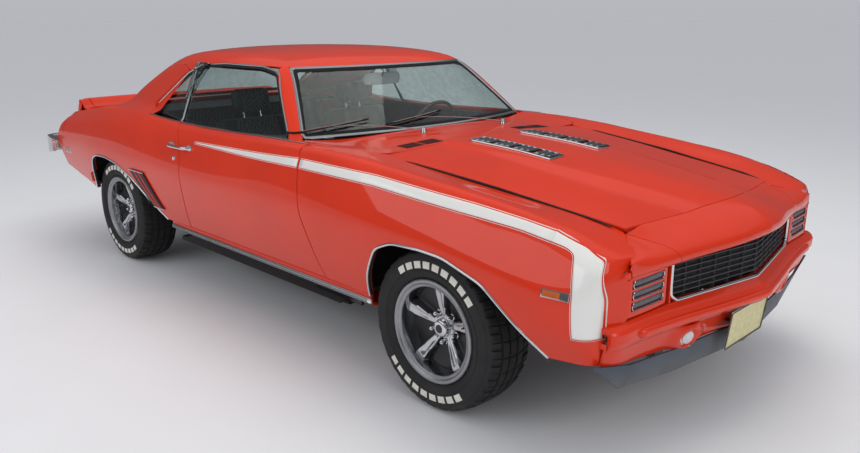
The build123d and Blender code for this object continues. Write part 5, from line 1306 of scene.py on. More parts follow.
def make_nose():
    """Grille, headlamp covers, bumper, valance, lamps and front plate."""
    build("grille_bars", grille_parts(), ("bar", "plastic"), "body", "grille")
    g = GRILLE
    y = np.concatenate([[g["half"] + 0.004] * 2, [g["half"]], np.linspace(g["half"] - 0.03, -g["half"] + 0.03, 61),
                        [-g["half"]], [-g["half"] - 0.004] * 2])
    z = np.concatenate([[g["high"] - 0.004, 0.60, g["low"] + 0.018], np.full(61, g["low"] - 0.003),
                        [g["low"] + 0.018, 0.60, g["high"] - 0.004]])
    edge = rounded(np.stack([y, z], 1), 200, 0.012)
    path = np.stack([v_face(edge[:, 0], g["centre"] - 1, g["corner"] - 1, g["half"]), edge[:, 0], edge[:, 1]], 1)
    build("grille_surround", [swept(path, oval(0.0075, 0.006, 12), up=(1, 0, 0))], "chrome")
    plate, lens, trim = nose_lamp_parts()
    pair("headlamp_cover", plate, "paint", "body", "headlamp_covers")
    pair("cover_lens", lens, "ribs", wall=0.003)
    pair("cover_trim", trim, "chrome")
    # the painted strip beside the grille, and the dark gap between it and the cover
    z, w = lattice((0.538, 0.700, 20), (0.4865, 0.4935, 5))
    strip = np.stack([np.full(z.shape, float(F(760))), w, z], -1)
    pair("grille_cheek", [sheet_part(with_rim(facing(strip, (1, 0, 0)), 0.03))], "paint")
    z, w = lattice((0.54, 0.705, 6), (0.485, 0.745, 8))
    recess = facing(np.stack([np.full(z.shape, float(F(731))), w, z], -1), (1, 0, 0))
    pair("cover_recess", [sheet_part(recess)], "plastic", wall=PANEL)
    spot = np.array([float(F(787)), 0.392, 0.4035])
    way = (0.97, 0.20, -0.06)
    pair("park_lens", [lamp_dish(spot, way, 0.037, depth=0.012, rib=0.0008)], "clear_lens")
    pair("park_ring", [swept(ring_path(spot, way, 0.040), oval(0.0045, 0.006, 12), up=way, closed=True)], "chrome")
    bowl = ring_path(spot - np.array(way) * 0.012, way, 0.047)
    pair("park_bowl", [swept(bowl, oval(0.005, 0.014, 12), up=way, closed=True)], "paint")
    build("front_bumper_skin", bumper_parts(), "paint", "body", "front_bumper", sharp=50)
    build("valance_skin", [sheet_part(with_rim(valance_parts(), 0.012, "lr"))], "paint", "body", "front_valance",
          wall=PANEL, sharp=60)
    # the front plate hangs forward under the bumper from a folded holder
    low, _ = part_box("number_plates")
    corner = np.array([F(869), FRONT_PLATE_Y + 0.1525, 0.466])
    face = plate_parts(corner + np.array([0, -0.305, 0]), (0, 0.305, 0), (-0.017, 0, -0.149))
    rear_face = plate_parts((low[0] + 0.003, 0.1525, 0.568), (0, -0.305, 0), (0, 0, -0.150))
    build("plates", [sheet_part(facing(face, (1, 0, 0))), sheet_part(facing(rear_face, (-1, 0, 0)))], "plate",
          "body", "number_plates", wall=0.002)
    frame_path = rounded([(0.0, 0.1525), (0.0, 0.003), (0.305, 0.003), (0.305, 0.147), (0, 0.147), (0, 0.07)],
                         90, 0.006)
    rim = [corner + np.array([0.0010 - 0.017 * (0.150 - b) / 0.149, -a, b - 0.150]) for a, b in frame_path]
    straps = [boxed((F(805), FRONT_PLATE_Y + y - 0.012, 0.412), (F(861), FRONT_PLATE_Y + y + 0.012, 0.417))
              for y in (-0.10, 0.10)]
    build("plate_straps", straps, "black", "body", "plate_stay")
    build("plate_holder", [swept(np.array(rim), oval(0.003, 0.0025, 8), up=(1, 0, 0))], "steel")


# ---------------------------------------------------------------- deck, tail and rear bumper

def spoiler_parts(y_low, y_high, count=41):
    """Spoiler: a profile from the deck up to a sharp lip and down to the tail, carried across the car."""
    profile = rounded([(R(-600), 0.908), (R(-660), 0.914), (R(-715), 0.949), (R(-734), 0.9555), (R(-744), 0.952),
                       (R(-762), 0.918), (R(-787), 0.872)], 44, 0.006)
    y = np.linspace(y_low, y_high, count)
    end = 0.008 * (np.abs(y) / 0.75) ** 2
    grid = np.stack([np.broadcast_to(profile[:, :1], (44, count)), np.broadcast_to(y, (44, count)),
                     profile[:, 1:] - end], -1)
    return facing(grid, (0, 0, 1))


def tail_face(z):
    """Place of the tail panel at a height: upright with a lean."""
    return np.interp(z, [0.43, 0.50, 0.72, 0.845], [R(-826), R(-845), R(-861), R(-797)])


TAIL_LAMPS = [(0.300, 0.448), (0.458, 0.606), (0.616, 0.752)]


def tail_curve(y):
    """How far the tail panel's ends come forward."""
    return 0.030 * np.clip((np.abs(y) - 0.60) / 0.2, 0, 1) ** 2


def make_tail():
    """Deck, lid with its spoiler, tail panel, lamps and rear bumper."""
    lid = [with_rim(deck_grid(R(-293), R(-618), 30, LID_HALF), 0.016),
           with_rim(spoiler_parts(-LID_HALF, LID_HALF), 0.02), deck_grid(R(-310), R(-770), 12, 0.68, 31, -0.028)[::-1]]
    build("deck_lid_skin", [sheet_part(each) for each in lid], "paint", "deck_lid", "deck_lid", wall=PANEL)
    filler = deck_grid(R(-283), R(-208), 8, DECK_HALF)
    build("deck_filler_skin", [sheet_part(with_rim(filler, 0.016))], "paint", "body", "deck_filler", wall=PANEL)
    cap = spoiler_parts(DECK_HALF, 0.765, 9)
    fall = 0.012 * ((cap[..., 1] - DECK_HALF) / 0.0535) ** 2
    cap[..., 2] -= np.where(cap[..., 0] > R(-745), fall, 0.0)
    pair("spoiler_cap", [sheet_part(with_rim(cap, 0.05))], "paint", wall=PANEL)
    # tail panel with a black recessed band round the lamps
    y, z = lattice((-0.80, 0.80, 81), (0.440, 0.840, 30))
    panel = np.stack([tail_face(z) + tail_curve(y), y, z], -1)
    build("tail_skin", [sheet_part(facing(panel, (-1, 0, 0)))], "paint", "body", "tail_panel", wall=PANEL)
    x, y = lattice((R(-779), R(-800), 6), (-0.775, 0.775, 41))
    lip = facing(np.stack([x, y, lattice((0.853, 0.836, 6), (0, 1, 41))[0]], -1), (0, 0, 1))
    build("tail_lip", [sheet_part(with_rim(lip, 0.01))], "paint", wall=PANEL)
    lenses, frames = [], []
    for low_y, high_y in TAIL_LAMPS:
        for sign in (1, -1):
            u, v = lattice((0, 1, 25), (0, 1, 19))
            y, z = (low_y + u * (high_y - low_y)) * sign, 0.738 + v * 0.090
            dome = 0.012 * (1 - (2 * u - 1) ** 8) * (1 - (2 * v - 1) ** 6) + 0.0016 * np.abs(np.sin(v * pi * 9))
            lens = np.stack([tail_face(z) + tail_curve(y) - dome - 0.004, y, z], -1)
            lenses.append(sheet_part(facing(lens, (-1, 0, 0))))
            edge = rounded([(low_y + 0.006, 0.738), (low_y, 0.783), (low_y + 0.006, 0.828), (high_y - 0.006, 0.828),
                            (high_y, 0.783), (high_y - 0.006, 0.738), (low_y + 0.006, 0.738)], 60, 0.008)[:-1]
            frame = np.stack([tail_face(edge[:, 1]) - 0.008, edge[:, 0] * sign, edge[:, 1]], 1)
            frames.append(swept(frame, oval(0.0025, 0.005, 8), up=(-1, 0, 0), closed=True))
    build("tail_lenses", lenses, "red_lens", "body", "tail_lamps", wall=0.004)
    build("tail_lamp_frames", frames, "chrome")
    y, z = lattice((-0.28, 0.28, 41), (0.742, 0.824, 12))
    band = facing(np.stack([tail_face(z) - 0.003, y, z], -1), (-1, 0, 0))
    build("tail_band", [sheet_part(with_rim(band, 0.004))], "black", wall=PANEL)
    # rear bumper: a section of five points swept across the tail and round both corners
    plan = joined(np.array([(R(-1012), 0.0), (R(-1011), 0.40), (R(-1003), 0.70)]),
                  np.array([(R(-1003), 0.70), (R(-988), 0.86), (R(-950), 0.917), (R(-845), 0.926)]))
    plan = rounded(np.vstack([plan[::-1] * np.array([1, -1]), plan[1:]]), 181, 0.045)
    path = np.column_stack([plan, np.full(len(plan), 0.636)])
    section = rounded([(0.020, -0.054), (-0.006, -0.060), (-0.022, -0.030), (-0.0235, 0.022), (-0.010, 0.057),
                       (0.018, 0.060)], 25, 0.012)
    way = np.linspace(0, 1, len(path))
    taper = np.interp(way, [0, 0.04, 0.96, 1], [0.72, 1, 1, 0.72])
    build("rear_bumper_bar", [swept(path, section, scale=taper)], "chrome", "body", "rear_bumper", sharp=60)


# ---------------------------------------------------------------- trim

def on_side(points, lift=0.0):
    """Points (x, z) put on the left side's skin, a little outside it."""
    points = np.asarray(points, float)
    return skin(points[:, 0], angle_at(points[:, 0], points[:, 1])) + np.array([0, lift, 0])


def side_patch(low, high, rows, lift):
    """Patch on the left side between two (x, z) outlines with as many points each, lifted off the skin."""
    grid = facing(side_grid(by_height(low), by_height(high), rows, 0.0), (0, 1, 0))
    return grid + grid_normals(grid) * lift


STRIPE_TOP = [(F(-1679), 0.860), (F(-1200), 0.873), (F(-770), 0.889), (F(-300), 0.880), (F(200), 0.846),
              (F(400), 0.826), (F(533), 0.807), (F(600), 0.788)]
STRIPE_LOW = [(F(-1679), 0.857), (F(-1200), 0.853), (F(-770), 0.856), (F(-300), 0.846), (F(200), 0.812),
              (F(400), 0.798), (F(533), 0.779), (F(600), 0.768)]


def stripe_parts(x_from, x_to, spread, lift):
    """Stripe along the shoulder, between two places along the car."""
    top, low = (resample(rounded(line, 200, 0.05), 200) for line in (STRIPE_TOP, STRIPE_LOW))
    x = np.linspace(x_from, x_to, 48)
    up, down = np.interp(x, top[:, 0], top[:, 1]) + spread, np.interp(x, low[:, 0], low[:, 1]) - spread
    z = down[:, None] + (up - down)[:, None] * np.linspace(0, 1, 7)
    wide = np.broadcast_to(x[:, None], z.shape)
    grid = facing(skin(wide, angle_at(wide, z)), (0, 1, 0))
    return grid + grid_normals(grid) * lift


def stripe_end_parts(spread, lift):
    """The stripe's turn down the fender's nose: from the shoulder to the bumper."""
    front = rounded([(F(520), 0.8095 + spread), (F(635), 0.776 + spread), (F(702) + spread * 0.4, 0.744 + spread),
                     (F(714) + spread, 0.626), (F(714) + spread, 0.500 - spread)], 60, 0.018)
    back = rounded([(F(520), 0.7815 - spread), (F(578), 0.772 - spread), (F(614) - spread, 0.756),
                    (F(643) - spread, 0.627), (F(650) - spread, 0.500 - spread)], 60, 0.030)
    share = np.linspace(0, 1, 13)[None, :, None]
    grid = front[:, None] * (1 - share) + back[:, None] * share
    grid = facing(skin(grid[..., 0], angle_at(grid[..., 0], grid[..., 1])), (0, 1, 0))
    return grid + grid_normals(grid) * lift


def make_side_trim():
    """Arch lips, rocker moulding, stripes, marker lamps, louvres, handles and locks, each side."""
    for name, arch in (("front", FRONT_ARCH), ("rear", REAR_ARCH)):
        path = on_side(resample(rounded(arch, 90, 0.05), 110), 0.0015)
        pair("arch_lip_" + name, [swept(path, oval(0.0055, 0.0045, 12), up=(0, 1, 0))], "chrome")
        path = path - np.array([0, 0.011, 0])
        pair("arch_gap_" + name, [swept(path, oval(0.003, 0.006, 8), up=(0, 1, 0))], "plastic")
    x = (F(-340) + R(688)) / 2 + (F(-340) - R(688)) / 2 * np.sin(np.linspace(-pi / 2, pi / 2, 37))
    z, w = np.meshgrid(np.linspace(-1, 1, 25), x, indexing="ij")
    groove = 0.0016 * np.cos(z * pi * 3.5) ** 2
    end = np.sqrt(np.clip(1 - np.clip((np.abs(w - x.mean()) - abs(x[-1] - x[0]) / 2 + 0.012) / 0.0125, 0, 1) ** 2,
                          0, 1))
    grid = np.stack([w, 0.868 + (0.0085 * np.sqrt(1 - (z * 0.97) ** 4) - groove) * end,
                     0.352 + z * 0.0125 * end], -1)
    pair("rocker_moulding", [sheet_part(facing(grid, (0, 1, 0)))], "chrome", wall=0.003)
    section = rounded([(0.862, 0.3845), (0.8665, 0.372), (0.8665, 0.344), (0.852, 0.328), (0.800, 0.318),
                       (0.765, 0.318), (0.750, 0.345)], 26, 0.006)
    x = np.linspace(F(-352), R(690), 12)
    panel = np.stack([np.broadcast_to(x[None], (26, 12)), np.broadcast_to(section[:, :1], (26, 12)),
                      np.broadcast_to(section[:, 1:], (26, 12))], -1)
    pair("rocker_panel", [sheet_part(with_rim(facing(panel, (0, 1, -0.5)), 0.015, "lr"))], "paint", "body",
         "rockers", wall=PANEL)
    # stripe: three layers, of which the middle one, body-coloured, shows as a fine line each side
    for mark, (spread, lift) in enumerate(((0.0052, 0.0004), (0.0034, 0.0007), (0.0, 0.0010))):
        tone = ("stripe", "paint", "stripe")[mark]
        fender = [stripe_parts(F(-772) + 0.009, F(521), spread, lift), stripe_end_parts(spread, lift)]
        door = stripe_parts(F(-1679) - spread, F(-772) - 0.006, spread, lift)
        pair("stripe_fender_%d" % mark, [sheet_part(each) for each in fender], tone, wall=0.0003)
        pair("stripe_door_%d" % mark, [sheet_part(door)], tone, "door_@", wall=0.0003)
    for name, x_from, x_to, low, high, lift, rim, finish in (
            ("marker_bezel", F(536), F(632), 0.616, 0.642, 0.003, 0.006, "chrome"),
            ("marker_lens", F(542), F(600), 0.6205, 0.6375, 0.0055, 0.004, "amber"),
            ("rear_marker_bezel", R(-640), R(-735), 0.600, 0.632, 0.003, 0.006, "chrome"),
            ("rear_marker_lens", R(-646), R(-729), 0.606, 0.626, 0.0055, 0.004, "red_lens")):
        x = np.linspace(x_from, x_to, 20)
        patch = side_patch([(at, low) for at in x], [(at, high) for at in x], 8, lift)
        pair(name, [sheet_part(with_rim(patch, rim))], finish, wall=PANEL)
    # the slanted louvre panel behind the door: dark, with two ribs and bright ends
    line = np.linspace(0, 1, 30)[:, None]
    rib, strip = oval(0.0042, 0.003, 10), oval(0.0045, 0.003, 10)
    low_a, low_b = np.array([F(-2196), 0.440]), np.array([F(-2080), 0.440])
    top_a, top_b = np.array([F(-2400), 0.632]), np.array([F(-2222), 0.632])
    a, b = low_a + line * (top_a - low_a), low_b + line * (top_b - low_b)
    pair("louvre_panel", [sheet_part(side_patch(a, b, 13, 0.008))], "plastic", wall=0.005)
    for k, share in enumerate((0.35, 0.67)):
        pair("louvre_rib_%d" % k, [swept(on_side(a + (b - a) * share, 0.0085), rib, up=(0, 1, 0))], "paint")
    for k, row in enumerate((0, -1)):
        ends = resample(np.array([a[row], b[row]]), 8)
        pair("louvre_strip_%d" % k, [swept(on_side(ends, 0.0085), strip, up=(0, 1, 0))], "chrome")
    # door handle with its pads and the lock
    x = np.linspace(F(-1915), F(-1712), 60)
    s = np.linspace(-1, 1, 60)
    path = on_side(np.stack([x, np.full(60, 0.827)], 1))
    path[:, 1] += 0.034 * (1 - s ** 6) - 0.002
    grip = oval(0.008, 0.0095, 16, 0.75)[:, [1, 0]] * np.array([-1, 1])
    pair("door_handle", [swept(path, grip, scale=1 + 0.22 * s ** 4)], "chrome", "door_@")
    for at in (-1905, -1722):
        spot = on_side([(F(at), 0.827)])[0]
        pad = boxed(spot + np.array([-0.020, -0.004, -0.013]), spot + np.array([0.020, 0.008, 0.013]),
                    bulge=0.55, count=14)
        pair("handle_pad_%d" % -at, [pad], "chrome", "door_@")
    spot = on_side([(F(-1858), 0.762)])[0]
    profile = [(0, 0.0058), (0.005, 0.0058), (0.0055, 0.0048), (0.0075, 0.0062), (0.0115, 0.0052), (0.0125, 0.0),
               (0.0125, -0.004), (0, -0.004)]
    pair("door_lock", [turned(profile, 40, spot)], "chrome", "door_@")


def side_glass_grid(edge_low, edge_high, rows=24, inset=0.010):
    """Side glass between a low and a high (x, z) line, following the glasshouse's side."""
    low, high = by_height(edge_low), by_height(edge_high)
    grid = facing(side_grid(low, high, rows, 0.0), (0, 1, 0))
    return grid - grid_normals(grid) * inset


def make_windows():
    """Windshield, rear window, side glass and their bright and black frames."""
    build("windshield_glass", [sheet_part(window_grid(WINDSHIELD, CABIN_MIDDLE, 1.0))], "glass", "body", "windshield",
          wall=0.005)
    build("rear_glass", [sheet_part(window_grid(REAR_WINDOW, -1900, -1.0))], "glass", "body", "rear_window",
          wall=0.005)
    for name, opening, back, sign in (("windshield", WINDSHIELD, CABIN_MIDDLE, 1.0),
                                      ("rear_window", REAR_WINDOW, -1900, -1.0)):
        path = outline_path(opening, back, sign)
        section = np.array([(-0.008, -0.003), (0.008, -0.003), (0.0085, 0.0), (0.004, 0.0032), (-0.004, 0.0032),
                            (-0.0085, 0.0)])
        build(name + "_surround", [swept(path, section, up=(sign * 0.6, 0, 0.8), closed=True)], "chrome")
        inner = outline_path(opening, back, sign, -0.022)
        inner = inner - np.array([sign * 0.007, 0, 0.002])
        gasket = swept(inner, oval(0.011, 0.003, 10), up=(sign * 0.6, 0, 0.8), closed=True)
        build(name + "_gasket", [gasket], "seal")
    low = resample(np.array([(F(-976), 0.930), (F(-1955), 0.930)]), 60)
    high = resample(rounded([(F(-984), 0.950), (F(-1262), 1.212), (F(-1400), 1.234), (F(-2010), 1.234)], 60, 0.05),
                    60)
    pair("door_glass_skin", [sheet_part(side_glass_grid(low, high))], "glass", "door_@", "door_glass_@", wall=0.004)
    low = resample(np.array([(F(-1962), 0.935), (R(405), 0.968)]), 40)
    high = resample(rounded([(F(-2020), 1.232), (R(1000) - 0.12, 1.234), (R(655), 1.178), (R(405), 0.985)], 40,
                            0.03), 40)
    pair("quarter_glass_skin", [sheet_part(side_glass_grid(low, high))], "glass", "body", "quarter_glass", wall=0.004)
    rail = on_side(resample(rounded([(F(-1004), 0.972), (F(-1255), 1.217), (F(-1400), 1.2405), (F(-1700), 1.243),
                                     (R(1000), 1.2425), (R(790), 1.229), (R(652), 1.178), (R(430), 1.006)],
                                    160, 0.05), 160), 0.003)
    pair("drip_rail", [swept(rail, oval(0.0042, 0.0048, 10), up=(0, 0, 1))], "chrome")
    seal = on_side(resample(rounded([(F(-992), 0.950), (F(-1266), 1.207), (F(-1400), 1.231), (R(1000), 1.232),
                                     (R(790), 1.218), (R(662), 1.170), (R(440), 1.000)], 160, 0.05), 160), -0.006)
    pair("window_seal", [swept(seal, oval(0.006, 0.007, 10), up=(0, 0, 1))], "seal")
    for name, body, belt in (("belt_strip", "door_@", np.linspace(F(-800), R(944) + 0.005, 80)),
                             ("quarter_belt", "body", np.linspace(R(940) - 0.005, R(440), 60))):
        height = skin(belt, angle_to(belt, BELT))[:, 2] + 0.001
        path = np.stack([belt, np.full(len(belt), 0.826), height], 1)
        pair(name, [swept(path, oval(0.005, 0.0035, 10))], "chrome", body)
    post = on_side(resample(np.array([(F(-1958), 0.935), (F(-2016), 1.228)]), 30), -0.006)
    pair("window_post", [swept(post, oval(0.009, 0.0065, 12), up=(0, 1, 0))], "chrome")


ORNAMENT_Y = 0.176                          # the louvre ornaments' distance from the middle


def make_hood_trim():
    """The two louvre ornaments, cowl vents and wipers."""
    chrome, black = [], []
    for sign in (1, -1):
        for k in range(4):
            start = F(-399) + k * 0.1115
            top = hood_height(start + 0.05, ORNAMENT_Y)
            low = np.array([start + 0.004, ORNAMENT_Y * sign - 0.045, top - 0.002])
            black.append(boxed(low, low + np.array([0.102, 0.090, 0.007]), bulge=0.12, count=6))
            for j in range(3):
                x = start + 0.014 + j * 0.031
                u, v = lattice((0, 1, 10), (0, 1, 14))
                wedge = np.stack([x + u * 0.026, ORNAMENT_Y * sign + (v - 0.5) * 0.082,
                                  hood_height(x, ORNAMENT_Y) + 0.005 + 0.009 * np.sqrt(u) * (1 - (2 * v - 1) ** 8)
                                  * (u < 0.98)], -1)
                chrome.append(sheet_part(facing(wedge, (0, 0, 1))))
        edge = rounded([(F(-402), -0.049), (F(46), -0.049), (F(46), 0.049), (F(-402), 0.049), (F(-402), -0.049)], 120,
                       0.012)[:-1]
        y = edge[:, 1] + ORNAMENT_Y * sign
        path = np.stack([edge[:, 0], y, hood_height(edge[:, 0], y) + 0.003], 1)
        chrome.append(swept(path, oval(0.0035, 0.006, 10), closed=True))
    build("hood_louvre_bright", chrome, "chrome", "hood")
    build("hood_louvre_dark", black, "black", "hood")
    slats = []
    for sign in (1, -1):
        for k in range(7):
            at = F(-515) - k * 0.011
            for y0 in (0.28, 0.40):
                y = np.linspace(y0, y0 + 0.105, 12) * sign
                path = np.stack([np.full(12, at), y, cowl_height(np.full(12, at), y) + 0.0008], 1)
                slats.append(swept(path, oval(0.0028, 0.0012, 8)))
    build("cowl_slots", slats, "plastic")
    arms, blades, pivots = [], [], []
    for (px, py), (ty, tz) in (((F(-700), 0.360), (-0.130, 0.985)), ((F(-722), -0.200), (-0.600, 0.978))):
        pz = float(cowl_height(px, py)) + 0.012
        tip = march_ahead(np.array(ty), np.array(tz)) + np.array([0.012, 0, 0.010])
        mid = (np.array([px, py, pz]) + tip) / 2 + np.array([0.018, 0, 0.022])
        t = np.linspace(0, 1, 40)[:, None]
        path = (1 - t) ** 2 * np.array([[px, py, pz]]) + 2 * t * (1 - t) * mid + t ** 2 * tip
        arms.append(swept(path, oval(0.0030, 0.0020, 10), scale=np.interp(t[:, 0], [0, 0.3, 1], [1.6, 1.0, 0.8])))
        y = np.linspace(ty - 0.19, ty + 0.21, 40)
        z = np.linspace(tz - 0.018 + 0.004, tz + 0.018 + 0.004, 40)
        wide = march_ahead(y, z)
        blades.append(swept(wide + np.array([0.004, 0, 0.004]), oval(0.0022, 0.006, 8), up=(0.6, 0, 0.8)))
        arms.append(swept((wide + np.array([0.009, 0, 0.009]))[4:-4], oval(0.0018, 0.0014, 8), up=(0.6, 0, 0.8)))
        knob = [(0, 0.016), (0.007, 0.015), (0.010, 0.010), (0.011, 0.0), (0.014, -0.004), (0.014, -0.014),
                (0, -0.014)]
        pivots.append(upright(knob, (px, py, pz), 32))
    build("wiper_arms", arms + pivots, "bright")
    build("wiper_blades", blades, "rubber")


# ---------------------------------------------------------------- wheels

WHEELS = [("front_left", 1), ("front_right", -1), ("rear_left", 1), ("rear_right", -1)]
TYRE_RADIUS, TREAD_HALF = 0.321, 0.098
PITCHES = 32


def tyre_grid(tread_depth, groove_depth):
    """Tyre: a round-shouldered section turned round, with four grooves round the tread and slanted cuts across it
    whose edges fall on the grid's own lines."""
    grooves = (-0.060, -0.021, 0.021, 0.060)
    ribs = [-TREAD_HALF, -0.086, -0.076, -0.048, -0.033, -0.009, 0.0, 0.033, 0.040, 0.076, 0.086, TREAD_HALF]
    tread = np.sort(np.concatenate([ribs] + [g + np.array([-0.0048, -0.0036, 0.0036, 0.0048]) for g in grooves]))
    crown = TYRE_RADIUS - 0.010 * (np.abs(tread) / TREAD_HALF) ** 3.2
    deep = np.zeros(len(tread))
    for g in grooves:
        deep[np.abs(tread - g) < 0.0040] = groove_depth
    wall_r = np.array([0.303, 0.294, 0.282, 0.268, 0.252, 0.240, 0.2385, 0.2365, 0.226, 0.216, 0.2085, 0.2075, 0.199,
                       0.192])
    wall_y = np.array([0.1035, 0.1068, 0.1098, 0.1118, 0.1124, 0.1118, 0.1128, 0.1114, 0.1080, 0.1020, 0.0950, 0.0935,
                       0.0905, 0.086])
    shoulder_r, shoulder_y = np.array([0.3085]), np.array([0.1010])
    radius = np.concatenate([wall_r[::-1], shoulder_r, crown, shoulder_r, wall_r])
    along = np.concatenate([-wall_y[::-1], -shoulder_y, tread, shoulder_y, wall_y])
    sink = np.concatenate([np.zeros(len(wall_r) + 1), deep, np.zeros(len(wall_r) + 1)])
    pitch = 2 * pi / PITCHES
    marks = np.array([0.0, 0.06, 0.14, 0.48, 0.54, 0.60, 0.66])
    turn = (np.arange(PITCHES)[:, None] + marks[None]).ravel() * pitch
    phase = np.tile(marks, PITCHES)
    cut = ((phase > 0.03) & (phase < 0.2)).astype(float)
    fine = ((phase > 0.52) & (phase < 0.62)).astype(float)
    rib = np.abs(along)
    outer = ((rib > 0.0645) & (rib < 0.1015)).astype(float)
    middle = (rib < 0.0645).astype(float)
    depth = np.maximum(np.maximum(sink[:, None], outer[:, None] * cut[None] * tread_depth),
                       (middle + outer)[:, None] * fine[None] * 0.0035)
    slant = np.clip(along, -TREAD_HALF, TREAD_HALF) * 0.9 * np.sign(along)
    angle = turn[None] + (slant * 0.55)[:, None]
    r = radius[:, None] - depth
    y = np.broadcast_to(along[:, None], r.shape)
    points = np.stack([r * np.cos(angle), y, r * np.sin(angle)], -1)
    inner_r = np.array([0.195, 0.215, 0.262, 0.300, 0.309, 0.309, 0.300, 0.262, 0.215, 0.195])
    inner_y = np.array([0.078, 0.086, 0.102, 0.092, 0.070, -0.070, -0.092, -0.102, -0.086, -0.078])
    slant_in = np.linspace(angle[-1, 0] - turn[0], angle[0, 0] - turn[0], 10)
    angle_in = turn[None] + slant_in[:, None]
    lining = np.stack([inner_r[:, None] * np.cos(angle_in), np.broadcast_to(inner_y[:, None], angle_in.shape),
                       inner_r[:, None] * np.sin(angle_in)], -1)
    return np.concatenate([points, lining, points[:1]])


def sidewall_blocks():
    """Two arcs of plain raised white blocks on the outer sidewall; the two fine raised rings there are made in
    make_wheels.
    """
    parts = []
    for start, count in ((radians(38), 9), (radians(218), 9)):
        for k in range(count):
            low, high = start + radians(10.4) * k, start + radians(10.4) * k + radians(7.4)
            a, r = lattice((low, high, 7), (0.2505, 0.2765, 5))
            y = np.interp(r, [0.240, 0.252, 0.268, 0.282], [0.1118, 0.1124, 0.1118, 0.1098]) + 0.0006
            grid = np.stack([r * np.cos(a), y, r * np.sin(a)], -1)
            parts.append(with_rim(facing(grid, (0, 1, 0)), 0.0020, lip=0.0008))
    return parts


RIM_SECTION = [(0.206, 0.0945), (0.2065, 0.0985), (0.2040, 0.1030), (0.1985, 0.1055), (0.1930, 0.1040),
               (0.1885, 0.0985), (0.1840, 0.0955), (0.1790, 0.0950), (0.1760, 0.0925), (0.1742, 0.0880),
               (0.1715, 0.060), (0.1700, 0.020), (0.1690, -0.020), (0.1690, -0.060), (0.1740, -0.085),
               (0.1835, -0.0935), (0.2020, -0.0975), (0.2030, -0.0920), (0.1910, -0.088), (0.1845, -0.080),
               (0.1845, 0.080), (0.1915, 0.0885), (0.2045, 0.0925)]


def centre_grid(spokes=5, count=146, rings=22):
    """Pressed wheel centre: a dish whose height varies round it, raised along five spokes that widen to the rim,
    falling to deep pockets between them."""
    turn = np.linspace(0, 2 * pi, count, endpoint=False)
    r, a = np.meshgrid(np.linspace(0.0345, 0.1715, rings), turn, indexing="ij")
    turn = (a - pi / 2 + pi / spokes) % (2 * pi / spokes) - pi / spokes
    off = r * np.sin(turn)
    half = 0.0155 + 0.0125 * np.clip((r - 0.05) / 0.12, 0, 1)
    ridge = 1 / (1 + np.exp((np.abs(off) - half) / 0.0017))
    crest = 0.033 + 0.032 * np.clip((r - 0.045) / 0.12, 0, 1) ** 0.8
    crest = crest - 0.0035 * np.exp(-(off / (half * 0.45)) ** 4) * np.clip((r - 0.06) / 0.02, 0, 1) \
        * np.clip((0.160 - r) / 0.012, 0, 1)
    pocket = 0.012 + 0.016 * np.clip((r - 0.06) / 0.11, 0, 1)
    hub = 1 / (1 + np.exp((r - 0.052) / 0.0022))
    hub_high = 0.034
    share = np.maximum(ridge, hub)
    high = np.maximum(np.where(hub > ridge, hub_high, crest), np.where(hub > 0.5, hub_high, crest))
    y = pocket + (high - pocket) * share
    return np.stack([r * np.cos(a), y, r * np.sin(a)], -1), share


def lug_parts():
    """Five domed lug nuts in their seats."""
    parts = []
    for k in range(5):
        turn = pi / 2 + (k + 0.5) * 2 * pi / 5
        profile = [(0, 0.052), (0.0045, 0.051), (0.0085, 0.0475), (0.0100, 0.042), (0.0102, 0.028), (0.0128, 0.026),
                   (0.0128, 0.016), (0, 0.016)]
        points, faces = turned(profile, 24)
        corner = 1 + 0.055 * np.cos(6 * np.arctan2(points[:, 2], points[:, 0]))
        low = (points[:, 1] < 0.0475) & (points[:, 1] > 0.027)
        points[:, ::2] *= np.where(low, corner, 1)[:, None]
        spot = np.array([0.0603 * np.cos(turn), 0, 0.0603 * np.sin(turn)])
        parts.append((points + spot, faces))
    return parts


